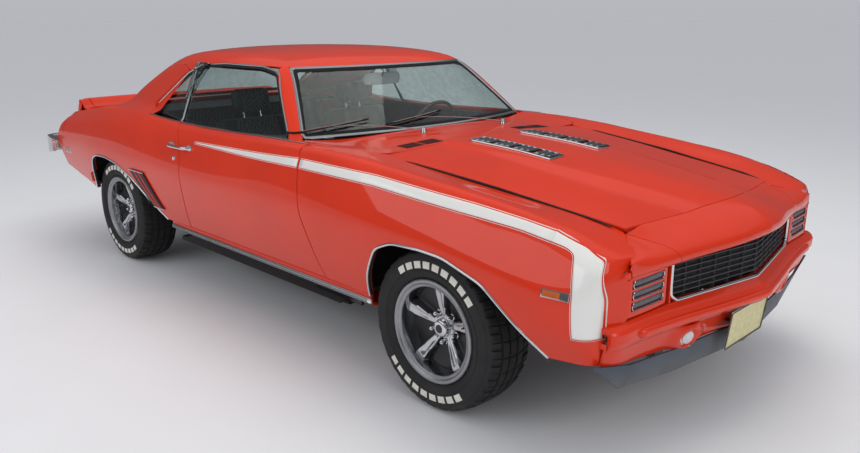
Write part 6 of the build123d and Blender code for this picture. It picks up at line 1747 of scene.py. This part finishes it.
def make_wheels(tread_depth, groove_depth):
    """Tyres with grooved treads and pressed five-spoke wheels with bright trim rings."""
    tread = tyre_grid(tread_depth, groove_depth)
    blocks = sidewall_blocks()
    centre, share = centre_grid()
    bright = share[:-1] > 0.86
    for name, sign in WHEELS:
        hub = np.array(JOINTS["wheel_" + name + "_spin"]["pos_m"]) * np.array([1, sign, 1])

        def add(piece, parts, finish, node=None, **settings):
            moved = [(np.asarray(p[0]).reshape(-1, 3) + hub, *p[1:]) for p in parts]
            build(piece + "_" + name, moved, finish, "wheel_" + name, node, mirror=sign < 0, **settings)

        rows, columns = tread.shape[:2]
        add("tyre_skin", [outward(tread.reshape(-1, 3), faces_of(rows, columns, wrap=True).tolist())], "rubber",
            "tyre_" + name, slot="tyre_rubber", sharp=28)
        add("sidewall_blocks", [sheet_part(grid) for grid in blocks], "letter", sharp=30)
        rings = [turned([(r + 0.0009 * np.cos(t), 0.1105 + 0.0013 * np.sin(t) + dy) for t in
                         np.linspace(0, 2 * pi, 8, endpoint=False)], 84, closed=True)
                 for r, dy in ((0.2445, 0.0014), (0.2865, -0.0022))]
        add("sidewall_rings", rings, "rubber", slot="tyre_rubber")
        section = rounded(RIM_SECTION + RIM_SECTION[:1], 34, 0.003)[:-1]
        add("rim_band", [turned(section, 96, closed=True)], "polished", sharp=50)
        ring = rounded([(0.2062, 0.0990), (0.2045, 0.1046), (0.1985, 0.1070), (0.1915, 0.1055), (0.1862, 0.0995),
                        (0.1800, 0.0975), (0.1755, 0.0958), (0.1738, 0.0925), (0.1750, 0.0915), (0.1800, 0.0940),
                        (0.1868, 0.0955), (0.1930, 0.1020), (0.1985, 0.1040), (0.2030, 0.1020), (0.2055, 0.0970),
                        (0.2062, 0.0990)], 30, 0.002)[:-1]
        add("trim_ring", [turned(ring, 96, closed=True)], "dull", sharp=50)
        n, m = centre.shape[:2]
        faces = faces_of(n, m, wrap=True)
        points = centre.reshape(-1, 3)
        shine = bright.ravel()
        origin = points[faces[:, 0]]
        normal_y = np.cross(points[faces[:, 1]] - origin, points[faces[:, 3]] - origin)[:, 1]
        faces = faces if normal_y.mean() > 0 else faces[:, ::-1]
        add("wheel_centre", [(points, faces[shine], 0), (points, faces[~shine], 1)], ("polished", "black"),
            "rim_" + name, sharp=60, wall=0.003)
        cap = rounded([(0.0, 0.0605), (0.017, 0.0600), (0.0185, 0.0585), (0.0235, 0.0588), (0.0315, 0.0560),
                       (0.0350, 0.0490), (0.0358, 0.0300), (0.0375, 0.0290), (0.0375, 0.0250), (0, 0.0250)],
                      32, 0.0012)
        add("hub_cap", [turned(cap, 64)], "chrome", sharp=50)
        face = [(0.0, 0.0612), (0.0168, 0.0607), (0.0172, 0.0590), (0.0, 0.0590)]
        add("hub_cap_face", [turned(face, 64)], "black")
        add("lug_nuts", lug_parts(), "chrome", sharp=35)
        disc = [(0.055, -0.004), (0.136, -0.004), (0.140, -0.007), (0.140, -0.011), (0.128, -0.012), (0.128, -0.016),
                (0.140, -0.017), (0.140, -0.022), (0.136, -0.025), (0.055, -0.025), (0.050, -0.040), (0.020, -0.040),
                (0.020, -0.004)]
        add("brake_disc", [turned(disc, 72, closed=True)], "steel", sharp=40)
        valve = [(0, 0.020), (0.0026, 0.020), (0.003, 0.012), (0.0042, 0.010), (0.0046, -0.012), (0, -0.012)]
        points, faces = turned(valve, 16)
        spot = np.array([0.163 * np.cos(0.35), 0.078, 0.163 * np.sin(0.35)])
        add("valve", [(points + spot, faces)], "seal")


# ---------------------------------------------------------------- the cabin

def cushion(profile, y_low, y_high, face=(1.0, 0.0), edge=0.045, crown=0.012, corner=0.03, insert=None, pitch=0.05,
            pleat=0.007, count=76, across=41):
    """A stuffed form: a closed (x, z) profile across the car whose ends draw in on a quarter round, its face crowned
    and, inside the insert, sewn into channels."""
    outline = rounded(list(profile) + [profile[0]], count + 1, corner)[:-1]
    way = np.roll(outline, -1, 0) - np.roll(outline, 1, 0)
    way /= np.linalg.norm(way, axis=1, keepdims=True)
    area = np.sum(outline[:, 0] * np.roll(outline[:, 1], -1) - np.roll(outline[:, 0], -1) * outline[:, 1])
    normal = np.stack([way[:, 1], -way[:, 0]], 1) * np.sign(area)
    half, middle = (y_high - y_low) / 2, (y_high + y_low) / 2
    t = np.sin(np.linspace(-pi / 2, pi / 2, across))
    reach = np.clip((np.abs(t) * half - (half - edge)) / edge, 0, 1)
    inset = edge * 0.8 * (1 - np.sqrt(np.clip(1 - reach ** 2, 0, 1)))
    front = np.clip((normal @ np.asarray(face) - 0.55) / 0.3, 0, 1)
    swell = crown * (1 - t ** 2)[None] * front[:, None]
    sewn = np.zeros((count, across), bool)
    if insert:
        inside = (np.clip((insert * half - np.abs(t * half)) / 0.006, 0, 1)[None]
                  * np.clip((front - 0.5) / 0.2, 0, 1)[:, None])
        swell = swell - inside * (0.003 + pleat * (1 - np.abs(np.sin(pi * t * half / pitch)) ** 0.45))[None]
        sewn = inside > 0.5
    shape = outline[:, None] + normal[:, None] * (swell - inset[None])[..., None]
    y = np.broadcast_to((middle + t * half)[None], shape.shape[:2])
    points = np.stack([shape[..., 0], y, shape[..., 1]], -1)
    grid = np.concatenate([points, points[:1]]).reshape(-1, 3)
    faces = faces_of(count + 1, across).tolist()
    caps = [[k * across for k in range(count)], [k * across + across - 1 for k in range(count)][::-1]]
    points, faces = outward(grid, faces + caps)
    mark = [*sewn[:, :-1].ravel(), False, False]
    plain = [face for face, m in zip(faces, mark) if not m]
    woven = [face for face, m in zip(faces, mark) if m]
    return [(points, plain)] + ([(points, woven, 1)] if woven else [])


def welt(profile, y):
    """Piping round a profile at one side of a cushion."""
    outline = rounded(list(profile) + [profile[0]], 91, 0.03)[:-1]
    path = np.stack([outline[:, 0], np.full(90, y), outline[:, 1]], 1)
    return swept(path, oval(0.0032, 0.0032, 8), up=(0, 1, 0), closed=True)


def in_frame(points, at):
    """(x, z) points in millimetres from an axle as metres."""
    return [(at(x), z / 1000) for x, z in points]


SEAT_BASE = in_frame([(-1800, 300), (-1390, 295), (-1340, 350), (-1337, 440), (-1362, 474), (-1560, 460), (-1760, 448),
                      (-1812, 400)], F)
SEAT_BACK = in_frame([(-1770, 446), (-1788, 520), (-1898, 872), (-1922, 915), (-1950, 924), (-1980, 915),
                      (-1988, 880), (-1850, 440), (-1810, 410)], F)
HEAD_REST = in_frame([(-1940, 958), (-1930, 985), (-1948, 1062), (-1968, 1083), (-1998, 1080), (-2008, 1052),
                      (-2006, 972), (-1980, 952)], F)
BENCH_BASE = in_frame([(650, 395), (664, 440), (650, 515), (618, 538), (300, 552), (285, 450), (640, 380)], R)
BENCH_BACK = in_frame([(318, 530), (300, 575), (170, 875), (142, 908), (100, 910), (80, 885), (190, 540)], R)


TUNNEL_SIDE, TUNNEL_TOP = 0.177, 0.4375


def make_seats(pitch, pleat):
    """Bucket seats with head restraints and the rear bench, in vinyl with woven channelled inserts."""
    sewn = {"pitch": pitch, "pleat": pleat}
    base = cushion(SEAT_BASE, 0.126, 0.616, (0.1, 1.0), insert=0.60, crown=0.016, **sewn)
    back = cushion(SEAT_BACK, 0.128, 0.612, (1.0, 0.2), insert=0.60, crown=0.018, edge=0.055, **sewn)
    rest = cushion(HEAD_REST, 0.252, 0.488, (1.0, 0.1), insert=0.62, crown=0.010, edge=0.04, corner=0.022, across=41)
    pieces = (pair("seat_base", base, ("vinyl", "weave"), "body", "front_seat_@", sharp=60)
              + pair("seat_back", back, ("vinyl", "weave"), sharp=60)
              + pair("head_rest", rest, ("vinyl", "weave"), sharp=60))
    piping = [welt(SEAT_BASE, 0.150), welt(SEAT_BASE, 0.592), welt(SEAT_BACK, 0.156), welt(SEAT_BACK, 0.584)]
    pair("seat_piping", piping, "vinyl")
    posts = [swept(np.linspace((F(-1955), y, 0.90), (F(-1972), y, 0.975), 6), oval(0.006, 0.006, 16))
             for y in (0.315, 0.425)]
    rails = [boxed((F(-1780), y - 0.012, 0.2395), (F(-1360), y + 0.012, 0.262), count=4) for y in (0.20, 0.54)]
    frame = [boxed((F(-1790), 0.165, 0.262), (F(-1350), 0.575, 0.305), bulge=0.06, count=8)]
    pair("seat_posts", posts, "chrome")
    pair("seat_rails", rails, "steel")
    pair("seat_frame", frame, "plastic")
    for name, profile, face, node in (("bench_base", BENCH_BASE, (0.1, 1.0), "rear_seat"),
                                      ("bench_back", BENCH_BACK, (1.0, 0.3), None)):
        half = cushion(profile, 0.018, 0.592, face, insert=0.62, crown=0.020, edge=0.05, **sewn)
        pieces.append(build(name + "_left", half, ("vinyl", "weave"), "body", node, sharp=60))
        pieces.append(build(name + "_right", half, ("vinyl", "weave"), sharp=60, mirror=True))
        bridge = cushion(profile, -0.05, 0.05, face, crown=-0.012, edge=0.01, across=15)
        pieces.append(build(name + "_middle", bridge, "vinyl", sharp=60))


DASH = in_frame([(-700, 752), (-700, 888), (-820, 899), (-980, 902), (-1020, 890), (-1031, 866), (-1008, 770),
                 (-968, 712), (-830, 708)], F)


def facing_rear(profile, centre, count=40):
    """A profile turned about the car's length: (radius, towards the rear)."""
    points, faces = turned(profile, count)
    return outward(np.stack([-points[:, 1], points[:, 0], points[:, 2]], 1) + np.asarray(centre), faces)


def make_dash():
    """Dashboard with its two dials, glove box, radio panel and vents, the column and the steering wheel."""
    pad = cushion(DASH, -0.716, 0.716, (-1, 0.3), edge=0.02, crown=0.0, corner=0.02, across=81)
    build("dash_pad", pad, "vinyl", "body", "dashboard", sharp=60)
    face_x = F(-1024)
    bright, dark, dials, glass = [], [], [], []
    for y in (0.275, 0.465):
        spot = (face_x + 0.012, y, 0.815)
        bright.append(facing_rear([(0.056, 0.004), (0.058, 0.020), (0.062, 0.024), (0.067, 0.021), (0.069, 0.0),
                                   (0.056, 0.0), (0.056, 0.004)], spot))
        dials.append(facing_rear([(0, 0.006), (0.057, 0.006), (0.057, 0.0), (0, 0.0)], spot))
        for k in range(25):
            turn = radians(-40 + k * 260 / 24)
            way = np.array([0, np.cos(turn), np.sin(turn)])
            a = np.asarray(spot) + np.array([-0.0068, 0, 0])
            long = 0.010 if k % 4 == 0 else 0.005
            bright.append(swept(np.linspace(a + way * (0.052 - long), a + way * 0.052, 3), oval(0.0006, 0.0006, 4),
                                up=(1, 0, 0)))
        needle = np.asarray(spot) + np.array([-0.009, 0, 0])
        bright.append(swept(np.linspace(needle, needle + np.array([0, 0.028, -0.030]), 4), oval(0.0011, 0.0006, 6),
                            up=(1, 0, 0), scale=[1.3, 1.2, 0.9, 0.4]))
        glass.append(facing_rear([(0, 0.0165), (0.056, 0.0160), (0.056, 0.0150), (0, 0.0155)], spot))
    dark.append(boxed((face_x - 0.004, 0.170, 0.744), (face_x + 0.060, 0.570, 0.884), bulge=0.10, count=14))
    dark.append(boxed((face_x - 0.002, -0.115, 0.700), (face_x + 0.090, 0.115, 0.870), bulge=0.06, count=10))
    bright.append(boxed((face_x - 0.0045, -0.085, 0.802), (face_x, 0.085, 0.846), bulge=0.06, count=8))
    for k in range(5):
        z = 0.716 + k * 0.0145
        bright.append(boxed((face_x - 0.0042, -0.080, z), (face_x, 0.080, z + 0.0035), count=3))
    for y in (-0.062, 0.062):
        bright.append(facing_rear([(0, 0.018), (0.009, 0.018), (0.011, 0.014), (0.0115, 0.0), (0, 0.0)],
                                  (face_x - 0.002, y, 0.824), 28))
    bright.append(boxed((face_x - 0.006, -0.620, 0.860), (face_x + 0.01, -0.190, 0.866), count=3))
    build("dash_panel", dark, "plastic")
    build("dash_bright", bright, "bright")
    build("dash_dials", dials, "dial")
    build("dash_dial_glass", glass, "clear_pane")
    centre = np.array([F(-1250), 0.370, 0.842])
    tilt = radians(22)
    out, up = np.array([-np.cos(tilt), 0, np.sin(tilt)]), np.array([np.sin(tilt), 0, np.cos(tilt)])
    side = np.array([0, 1.0, 0])
    a = np.linspace(0, 2 * pi, 160, endpoint=False)
    rim = centre + 0.178 * (np.cos(a)[:, None] * side + np.sin(a)[:, None] * up)
    bumps = 1 + 0.05 * np.cos(a * 48)
    build("wheel_rim", [swept(rim, oval(0.0105, 0.0115, 16), up=out, closed=True, scale=bumps)], "wood",
          "steering_wheel", "steering_wheel", sharp=60)
    spokes, holes = [], []
    for turn in (radians(8), radians(172), radians(270)):
        way = np.cos(turn) * side + np.sin(turn) * up
        line = np.linspace(centre + way * 0.022 - out * 0.026, centre + way * 0.172 - out * 0.001, 20)
        width = np.interp(np.linspace(0, 1, 20), [0, 0.5, 1], [1.15, 0.80, 0.95])
        spokes.append(swept(line, np.array([(-0.017, -0.0014), (0.017, -0.0014), (0.017, 0.0014), (-0.017, 0.0014)]),
                            up=out, scale=width))
        for s in (0.45, 0.62, 0.79):
            spot = centre + way * (0.022 + 0.150 * s) - out * (0.026 - 0.025 * s) + out * 0.0016
            ring = ring_path(spot, out, 0.0055, 20)
            holes.append(swept(ring, oval(0.0012, 0.0010, 6), up=out, closed=True))
    build("wheel_spokes", spokes, "bright", "steering_wheel")
    build("wheel_holes", holes, "black", "steering_wheel")
    profile = [(0, 0.010), (0.018, 0.008), (0.030, 0.000), (0.034, -0.012), (0.034, -0.030), (0.028, -0.050),
               (0.0, -0.050)]
    points, faces = turned(profile, 48)
    hub = centre + points[:, :1] * side + points[:, 2:] * up + points[:, 1:2] * out
    build("wheel_boss", [outward(hub, faces)], "black", "steering_wheel")
    line = np.linspace(centre - out * 0.050, centre - out * 0.300, 14)
    grow = np.interp(np.linspace(0, 1, 14), [0, 0.1, 0.3, 1], [0.90, 1.0, 0.85, 0.85])
    build("column", [swept(line, oval(0.026, 0.026, 28), scale=grow)], "vinyl")
    stalk = centre - out * 0.075
    stalk = np.linspace(stalk, stalk + np.array([0, 0.135, 0.030]), 10)
    grow = np.interp(np.linspace(0, 1, 10), [0, 0.8, 1], [1, 1, 1.8])
    build("signal_stalk", [swept(stalk, oval(0.0035, 0.0035, 10), scale=grow)], "chrome")


def make_trim_panels():
    """Door and side trims, visors, headliner, carpet, inside mirror and the gear lever."""
    front = [(F(-812), 0.42), (F(-806), 0.60), (F(-830), 0.80), (F(-850), 0.915)]
    back = [(R(925), 0.42), (R(955), 0.60), (R(955), 0.74), (R(918), 0.83), (R(900), 0.915)]
    front, back = resample(front, 44), resample(back, 44)
    s = np.linspace(0, 1, 33)[None, :, None]
    plan = front[:, None] * (1 - s) + back[:, None] * s
    x, z = plan[..., 0], plan[..., 1]
    u = (x - x.min()) / (x.max() - x.min())
    ridge = 0.0035 * np.exp(-((z - 0.70 + 0.03 * u) / 0.004) ** 2) + 0.0035 * np.exp(-((z - 0.55) / 0.004) ** 2)
    pad = 0.010 * np.exp(-np.clip((0.045 - np.minimum(np.minimum(z - 0.42, 0.915 - z), 0.4)) / 0.02, 0, 3))
    grid = facing(np.stack([x, 0.760 - pad - ridge, z], -1), (0, -1, 0))
    pair("door_trim", [sheet_part(with_rim(grid, 0.012))], "vinyl", "door_@", wall=PANEL)
    shell = np.stack([x, np.full(x.shape, 0.772), z - 0.012], -1)
    pair("door_inner", [sheet_part(with_rim(facing(shell, (0, -1, 0)), 0.085))], "paint", "door_@", wall=PANEL)
    arm = boxed((F(-1640), 0.702, 0.630), (F(-1270), 0.757, 0.672), bulge=0.35, count=16)
    pair("door_armrest", [arm], "vinyl", "door_@")
    strip = [swept(np.stack([np.linspace(F(-870), F(-1900), 60), np.full(60, 0.749),
                             0.705 - 0.03 * np.linspace(0, 1, 60)], 1), oval(0.004, 0.005, 8))]
    pull = np.array([(F(-1090), 0.735, 0.735), (F(-1110), 0.728, 0.737), (F(-1190), 0.724, 0.745)])
    strip.append(swept(resample(pull, 12), oval(0.0065, 0.004, 10)))
    crank = np.array([(F(-1420), 0.738, 0.56), (F(-1420), 0.726, 0.56), (F(-1370), 0.722, 0.51)])
    strip.append(swept(resample(crank, 14), oval(0.0055, 0.004, 10)))
    strip.append(turned([(0, -0.012), (0.012, -0.010), (0.013, 0.004), (0, 0.006)], 28, (F(-1368), 0.712, 0.508)))
    pair("door_fittings", strip, "chrome", "door_@")
    x, z = lattice((R(905), R(360), 36), (0.50, 0.93, 20))
    bow = 0.05 * np.clip((R(500) - x) / 0.15, 0, 1) ** 2
    panel = facing(np.stack([x, 0.748 - bow - 0.004 * np.exp(-((z - 0.70) / 0.004) ** 2), z], -1), (0, -1, 0))
    pair("quarter_trim", [sheet_part(with_rim(panel, 0.01))], "vinyl", wall=PANEL)
    kick = facing(np.stack(np.broadcast_arrays(np.linspace(F(-645), F(-800), 8)[:, None], 0.752,
                                               np.linspace(0.26, 0.70, 12)[None]), -1), (0, -1, 0))
    pair("kick_panel", [sheet_part(kick)], "plastic", wall=0.002)
    visor = cushion([(F(-1262), 1.214), (F(-1270), 1.226), (F(-1405), 1.252), (F(-1412), 1.240)], 0.10, 0.50,
                    (0.2, -1), edge=0.02, crown=0.002, corner=0.006, count=60, across=41)
    for piece in pair("sun_visor", visor, "cloth", sharp=60):
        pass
    lining = roof_parts()[::3, ::3]
    lining = (lining - grid_normals(facing(lining, (0, 0, 1))) * 0.026) * np.array([1, 0.965, 1])
    build("headliner", [sheet_part(facing(lining, (0, 0, -1)))], "cloth", wall=0.002)
    x = np.linspace(F(-660), R(600), 90)
    y = np.array([-0.785, -0.60, -0.40, -0.30, -0.20, -TUNNEL_SIDE - 0.006, -TUNNEL_SIDE, -TUNNEL_SIDE + 0.02,
                  -0.06, 0])
    z = np.array([0.0, 0, 0, 0, 0, 0.002, TUNNEL_TOP - 0.245, TUNNEL_TOP - 0.2395, TUNNEL_TOP - 0.2385,
                  TUNNEL_TOP - 0.2385]) + 0.2395
    y, z = np.concatenate([y, -y[:-1][::-1]]), np.concatenate([z, z[:-1][::-1]])
    grid = np.stack(np.broadcast_arrays(x[:, None], y[None], z[None]), -1)
    build("carpet", [sheet_part(facing(grid, (0, 0, 1)))], "carpet", wall=0.0006)
    mirror_at = np.array([F(-1240), -0.02, 1.158])
    build("inside_mirror", [boxed(mirror_at + [-0.004, -0.125, -0.030], mirror_at + [0.014, 0.125, 0.030],
                                  bulge=0.22, count=18)], "bright")
    pane = facing(np.stack(np.broadcast_arrays(mirror_at[0] - 0.0062, np.linspace(-0.132, 0.092, 16)[:, None],
                                               np.linspace(-0.0215, 0.0215, 6)[None] + mirror_at[2]), -1), (-1, 0, 0))
    build("inside_mirror_pane", [sheet_part(pane)], "mirror", wall=PANEL)
    stem = resample(mirror_at + np.array([(0.010, 0, 0.012), (0.022, 0, 0.040), (-0.01, 0, 0.075)]), 14)
    build("inside_mirror_stem", [swept(stem, oval(0.006, 0.005, 12))], "chrome")
    lever = resample(np.array([(F(-1300), 0.0, TUNNEL_TOP), (F(-1330), 0.02, 0.50), (F(-1372), 0.028, 0.585)]), 24)
    build("gear_lever", [swept(lever, oval(0.006, 0.006, 14))], "chrome")
    ball = [(0.0, 0.022), (0.010, 0.0196), (0.018, 0.0125), (0.022, 0.0), (0.018, -0.0125), (0.010, -0.0196),
            (0, -0.022)]
    build("gear_knob", [turned(rounded(ball, 30, 0.004), 40, lever[-1])], "black")
    boot = [(0.075, -0.002), (0.072, 0.006), (0.050, 0.016), (0.040, 0.034), (0.030, 0.040), (0.018, 0.058),
            (0.008, 0.060), (0.0, 0.060), (0.0, -0.002)]
    build("gear_boot", [upright(boot, (F(-1302), 0, TUNNEL_TOP - 0.002), 48)], "rubber")


# ---------------------------------------------------------------- engine bay and undersides

def make_engine():
    """Air cleaner with its filter, and the rocker covers, on the plain block."""
    x, z = F(-330), 0.800
    cleaner = rounded([(0, 0.052), (0.010, 0.052), (0.012, 0.042), (0.120, 0.040), (0.165, 0.034), (0.172, 0.028),
                       (0.172, 0.022), (0.150, 0.018), (0.150, -0.022), (0.172, -0.026), (0.172, -0.034),
                       (0.120, -0.040), (0.0, -0.040)], 64, 0.004)
    build("air_cleaner", [upright(cleaner, (x, 0, z - 0.027), 72)], "chrome", sharp=45)
    ring = [(0.1515, 0.016), (0.1515, -0.020), (0.140, -0.020), (0.140, 0.016), (0.1515, 0.016)]
    points, faces = turned(ring, 180)
    wave = 1 + 0.012 * (np.arange(len(points)) % 2)
    points[:, ::2] *= wave[:, None]
    build("air_filter", [outward(points[:, [0, 2, 1]] + np.array([x, 0, z - 0.012]), faces)], "letter")
    covers = []
    for sign in (1, -1):
        points, faces = boxed((F(-620), -0.055, -0.030), (F(-110), 0.055, 0.032), bulge=0.10, count=18)
        points[:, 2] += np.where(points[:, 2] > 0.02, 0.0025 * np.sign(np.sin(points[:, 1] * 260)), 0)
        tilt = radians(24) * sign
        y, zz = points[:, 1].copy(), points[:, 2].copy()
        points[:, 1] = y * np.cos(tilt) + zz * np.sin(tilt) + 0.195 * sign
        points[:, 2] = zz * np.cos(tilt) - y * np.sin(tilt) + 0.722
        covers.append(outward(points, faces))
    build("rocker_covers", covers, "chrome", sharp=35)


def make_undersides():
    """The hood's inner panel, and finishes for the frame's own parts that stay."""
    inner = hood_parts(-0.020, 0.030, 30, 65)
    rib = 0.008 * np.clip(np.cos((inner[..., 1]) * pi / 0.21), 0, 1) ** 2
    inner = inner + np.array([0, 0, 1]) * rib[..., None]
    build("hood_inner", [sheet_part(with_rim(facing(inner, (0, 0, -1)), 0.012))], "black", "hood", wall=PANEL)
    kept = {
        "under": ("floor_pan", "rear_wheelhouses", "inner_fender_left", "inner_fender_right"),
        "black": ("front_subframe", "firewall", "radiator_support"),
        "iron": ("rear_axle", "knuckle_left", "knuckle_right"), "orange_block": ("engine_block",),
        "steel": ("exhaust", "fuel_tank"), "dam": ("air_dam",), "vinyl": ("rear_shelf",),
    }
    for finish, nodes in kept.items():
        for node in nodes:
            solid = frame["nodes"][node]
            solid.data.materials.clear()
            solid.data.materials.append(M[finish])


# ---------------------------------------------------------------- the add-on

def hex_of(colour):
    """Hex text of an sRGB colour given as three numbers from 0 to 1."""
    return "".join("%02X" % int(round(channel * 255)) for channel in colour)


class CarPaintSettings(bpy.types.PropertyGroup):
    """Colours of the body."""
    body: bpy.props.FloatVectorProperty(
        name="Body", description="Colour of the body enamel", subtype="COLOR_GAMMA", size=3, min=0.0, max=1.0,
        default=(0.816, 0.180, 0.039))
    stripe: bpy.props.FloatVectorProperty(
        name="Stripe", description="Colour of the shoulder stripe", subtype="COLOR_GAMMA", size=3, min=0.0, max=1.0,
        default=(0.867, 0.867, 0.847))


class CarTyreSettings(bpy.types.PropertyGroup):
    """Sizes of the tread."""
    tread_depth: bpy.props.FloatProperty(
        name="Cut depth", description="Depth of the cuts across the shoulder blocks", unit="LENGTH", subtype="DISTANCE",
        default=0.0065, min=0.0, max=0.009)
    groove_depth: bpy.props.FloatProperty(
        name="Groove depth", description="Depth of the grooves round the tread", unit="LENGTH", subtype="DISTANCE",
        default=0.0075, min=0.0, max=0.010)


class CarCabinSettings(bpy.types.PropertyGroup):
    """Sewing of the seats."""
    channel_pitch: bpy.props.FloatProperty(
        name="Channel pitch", description="Distance between the sewn channels of the seat inserts", unit="LENGTH",
        subtype="DISTANCE", default=0.05, min=0.02, max=0.10)
    channel_depth: bpy.props.FloatProperty(
        name="Channel depth", description="Depth of the sewn channels", unit="LENGTH", subtype="DISTANCE",
        default=0.007, min=0.0, max=0.012)


class CarStageSettings(bpy.types.PropertyGroup):
    """Light and camera."""
    light: bpy.props.FloatProperty(
        name="Light", description="Strength of the soft lamps", subtype="FACTOR", default=1.0, min=0.1, max=3.0)
    lens: bpy.props.FloatProperty(
        name="Lens", description="Focal length of the camera", subtype="DISTANCE_CAMERA", default=32.30, min=10.0,
        max=200.0)


class CAR_OT_finishes(bpy.types.Operator):
    """Make the finishes of the car"""
    bl_idname = "car.finishes"
    bl_label = "Finishes"

    def execute(self, context):
        paint = context.scene.car_paint
        M.update(make_finishes(hex_of(paint.body), hex_of(paint.stripe)))
        return {"FINISHED"}


class CAR_OT_body(bpy.types.Operator):
    """Build the painted panels"""
    bl_idname = "car.body"
    bl_label = "Body panels"

    def execute(self, context):
        make_body()
        return {"FINISHED"}


class CAR_OT_windows(bpy.types.Operator):
    """Build the glass and its frames"""
    bl_idname = "car.windows"
    bl_label = "Windows"

    def execute(self, context):
        make_windows()
        return {"FINISHED"}


class CAR_OT_nose(bpy.types.Operator):
    """Build the grille, lamp covers, bumper, valance and plates"""
    bl_idname = "car.nose"
    bl_label = "Nose"

    def execute(self, context):
        make_nose()
        return {"FINISHED"}


class CAR_OT_tail(bpy.types.Operator):
    """Build the deck, tail panel, lamps and rear bumper"""
    bl_idname = "car.tail"
    bl_label = "Tail"

    def execute(self, context):
        make_tail()
        return {"FINISHED"}


class CAR_OT_side_trim(bpy.types.Operator):
    """Build the stripes, mouldings, markers, louvres and handles"""
    bl_idname = "car.side_trim"
    bl_label = "Side trim"

    def execute(self, context):
        make_side_trim()
        return {"FINISHED"}


class CAR_OT_hood_trim(bpy.types.Operator):
    """Build the hood ornaments, cowl slots and wipers"""
    bl_idname = "car.hood_trim"
    bl_label = "Hood trim"

    def execute(self, context):
        make_hood_trim()
        return {"FINISHED"}


class CAR_OT_wheels(bpy.types.Operator):
    """Build the tyres and wheels"""
    bl_idname = "car.wheels"
    bl_label = "Wheels"

    def execute(self, context):
        tyre = context.scene.car_tyre
        make_wheels(tyre.tread_depth, tyre.groove_depth)
        return {"FINISHED"}


class CAR_OT_seats(bpy.types.Operator):
    """Build the seats"""
    bl_idname = "car.seats"
    bl_label = "Seats"

    def execute(self, context):
        cabin = context.scene.car_cabin
        make_seats(cabin.channel_pitch, cabin.channel_depth)
        return {"FINISHED"}


class CAR_OT_dash(bpy.types.Operator):
    """Build the dashboard and steering wheel"""
    bl_idname = "car.dash"
    bl_label = "Dashboard"

    def execute(self, context):
        make_dash()
        return {"FINISHED"}


class CAR_OT_cabin_trim(bpy.types.Operator):
    """Build the door trims, headliner, carpet and fittings"""
    bl_idname = "car.cabin_trim"
    bl_label = "Cabin trim"

    def execute(self, context):
        make_trim_panels()
        return {"FINISHED"}


class CAR_OT_engine(bpy.types.Operator):
    """Build the fittings on the engine block"""
    bl_idname = "car.engine"
    bl_label = "Engine fittings"

    def execute(self, context):
        make_engine()
        return {"FINISHED"}


class CAR_OT_undersides(bpy.types.Operator):
    """Build the inner panels and finish the frame's own parts"""
    bl_idname = "car.undersides"
    bl_label = "Undersides"

    def execute(self, context):
        make_undersides()
        return {"FINISHED"}


class CAR_OT_stage(bpy.types.Operator):
    """Set up the floor, light and camera"""
    bl_idname = "car.stage"
    bl_label = "Stage"

    def execute(self, context):
        stage = context.scene.car_stage
        make_stage(stage.light, stage.lens)
        return {"FINISHED"}


class CAR_PT_builder(bpy.types.Panel):
    """Settings and steps of the car"""
    bl_idname = "CAR_PT_builder"
    bl_label = "Muscle car"
    bl_space_type = "VIEW_3D"
    bl_region_type = "UI"
    bl_category = "Car"

    def draw(self, context):
        for group in SETTINGS:
            settings = getattr(context.scene, group)
            box = self.layout.box()
            for name in settings.__annotations__:
                box.prop(settings, name)
        for operator in OPERATORS:
            self.layout.operator(operator.bl_idname)


SETTINGS = {"car_paint": CarPaintSettings, "car_tyre": CarTyreSettings, "car_cabin": CarCabinSettings,
            "car_stage": CarStageSettings}
OPERATORS = (CAR_OT_finishes, CAR_OT_body, CAR_OT_windows, CAR_OT_nose, CAR_OT_tail, CAR_OT_side_trim,
             CAR_OT_hood_trim, CAR_OT_wheels, CAR_OT_seats, CAR_OT_dash, CAR_OT_cabin_trim, CAR_OT_engine,
             CAR_OT_undersides, CAR_OT_stage)


def register():
    for name, group in SETTINGS.items():
        bpy.utils.register_class(group)
        setattr(bpy.types.Scene, name, bpy.props.PointerProperty(type=group))
    for each in (*OPERATORS, CAR_PT_builder):
        bpy.utils.register_class(each)


def unregister():
    for each in (CAR_PT_builder, *reversed(OPERATORS)):
        bpy.utils.unregister_class(each)
    for name, group in SETTINGS.items():
        delattr(bpy.types.Scene, name)
        bpy.utils.unregister_class(group)


def main():
    """Build the whole car."""
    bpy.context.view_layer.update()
    register()
    for operator in OPERATORS:
        group, name = operator.bl_idname.split(".")
        getattr(getattr(bpy.ops, group), name)()


if __name__ == "__main__":
    main()
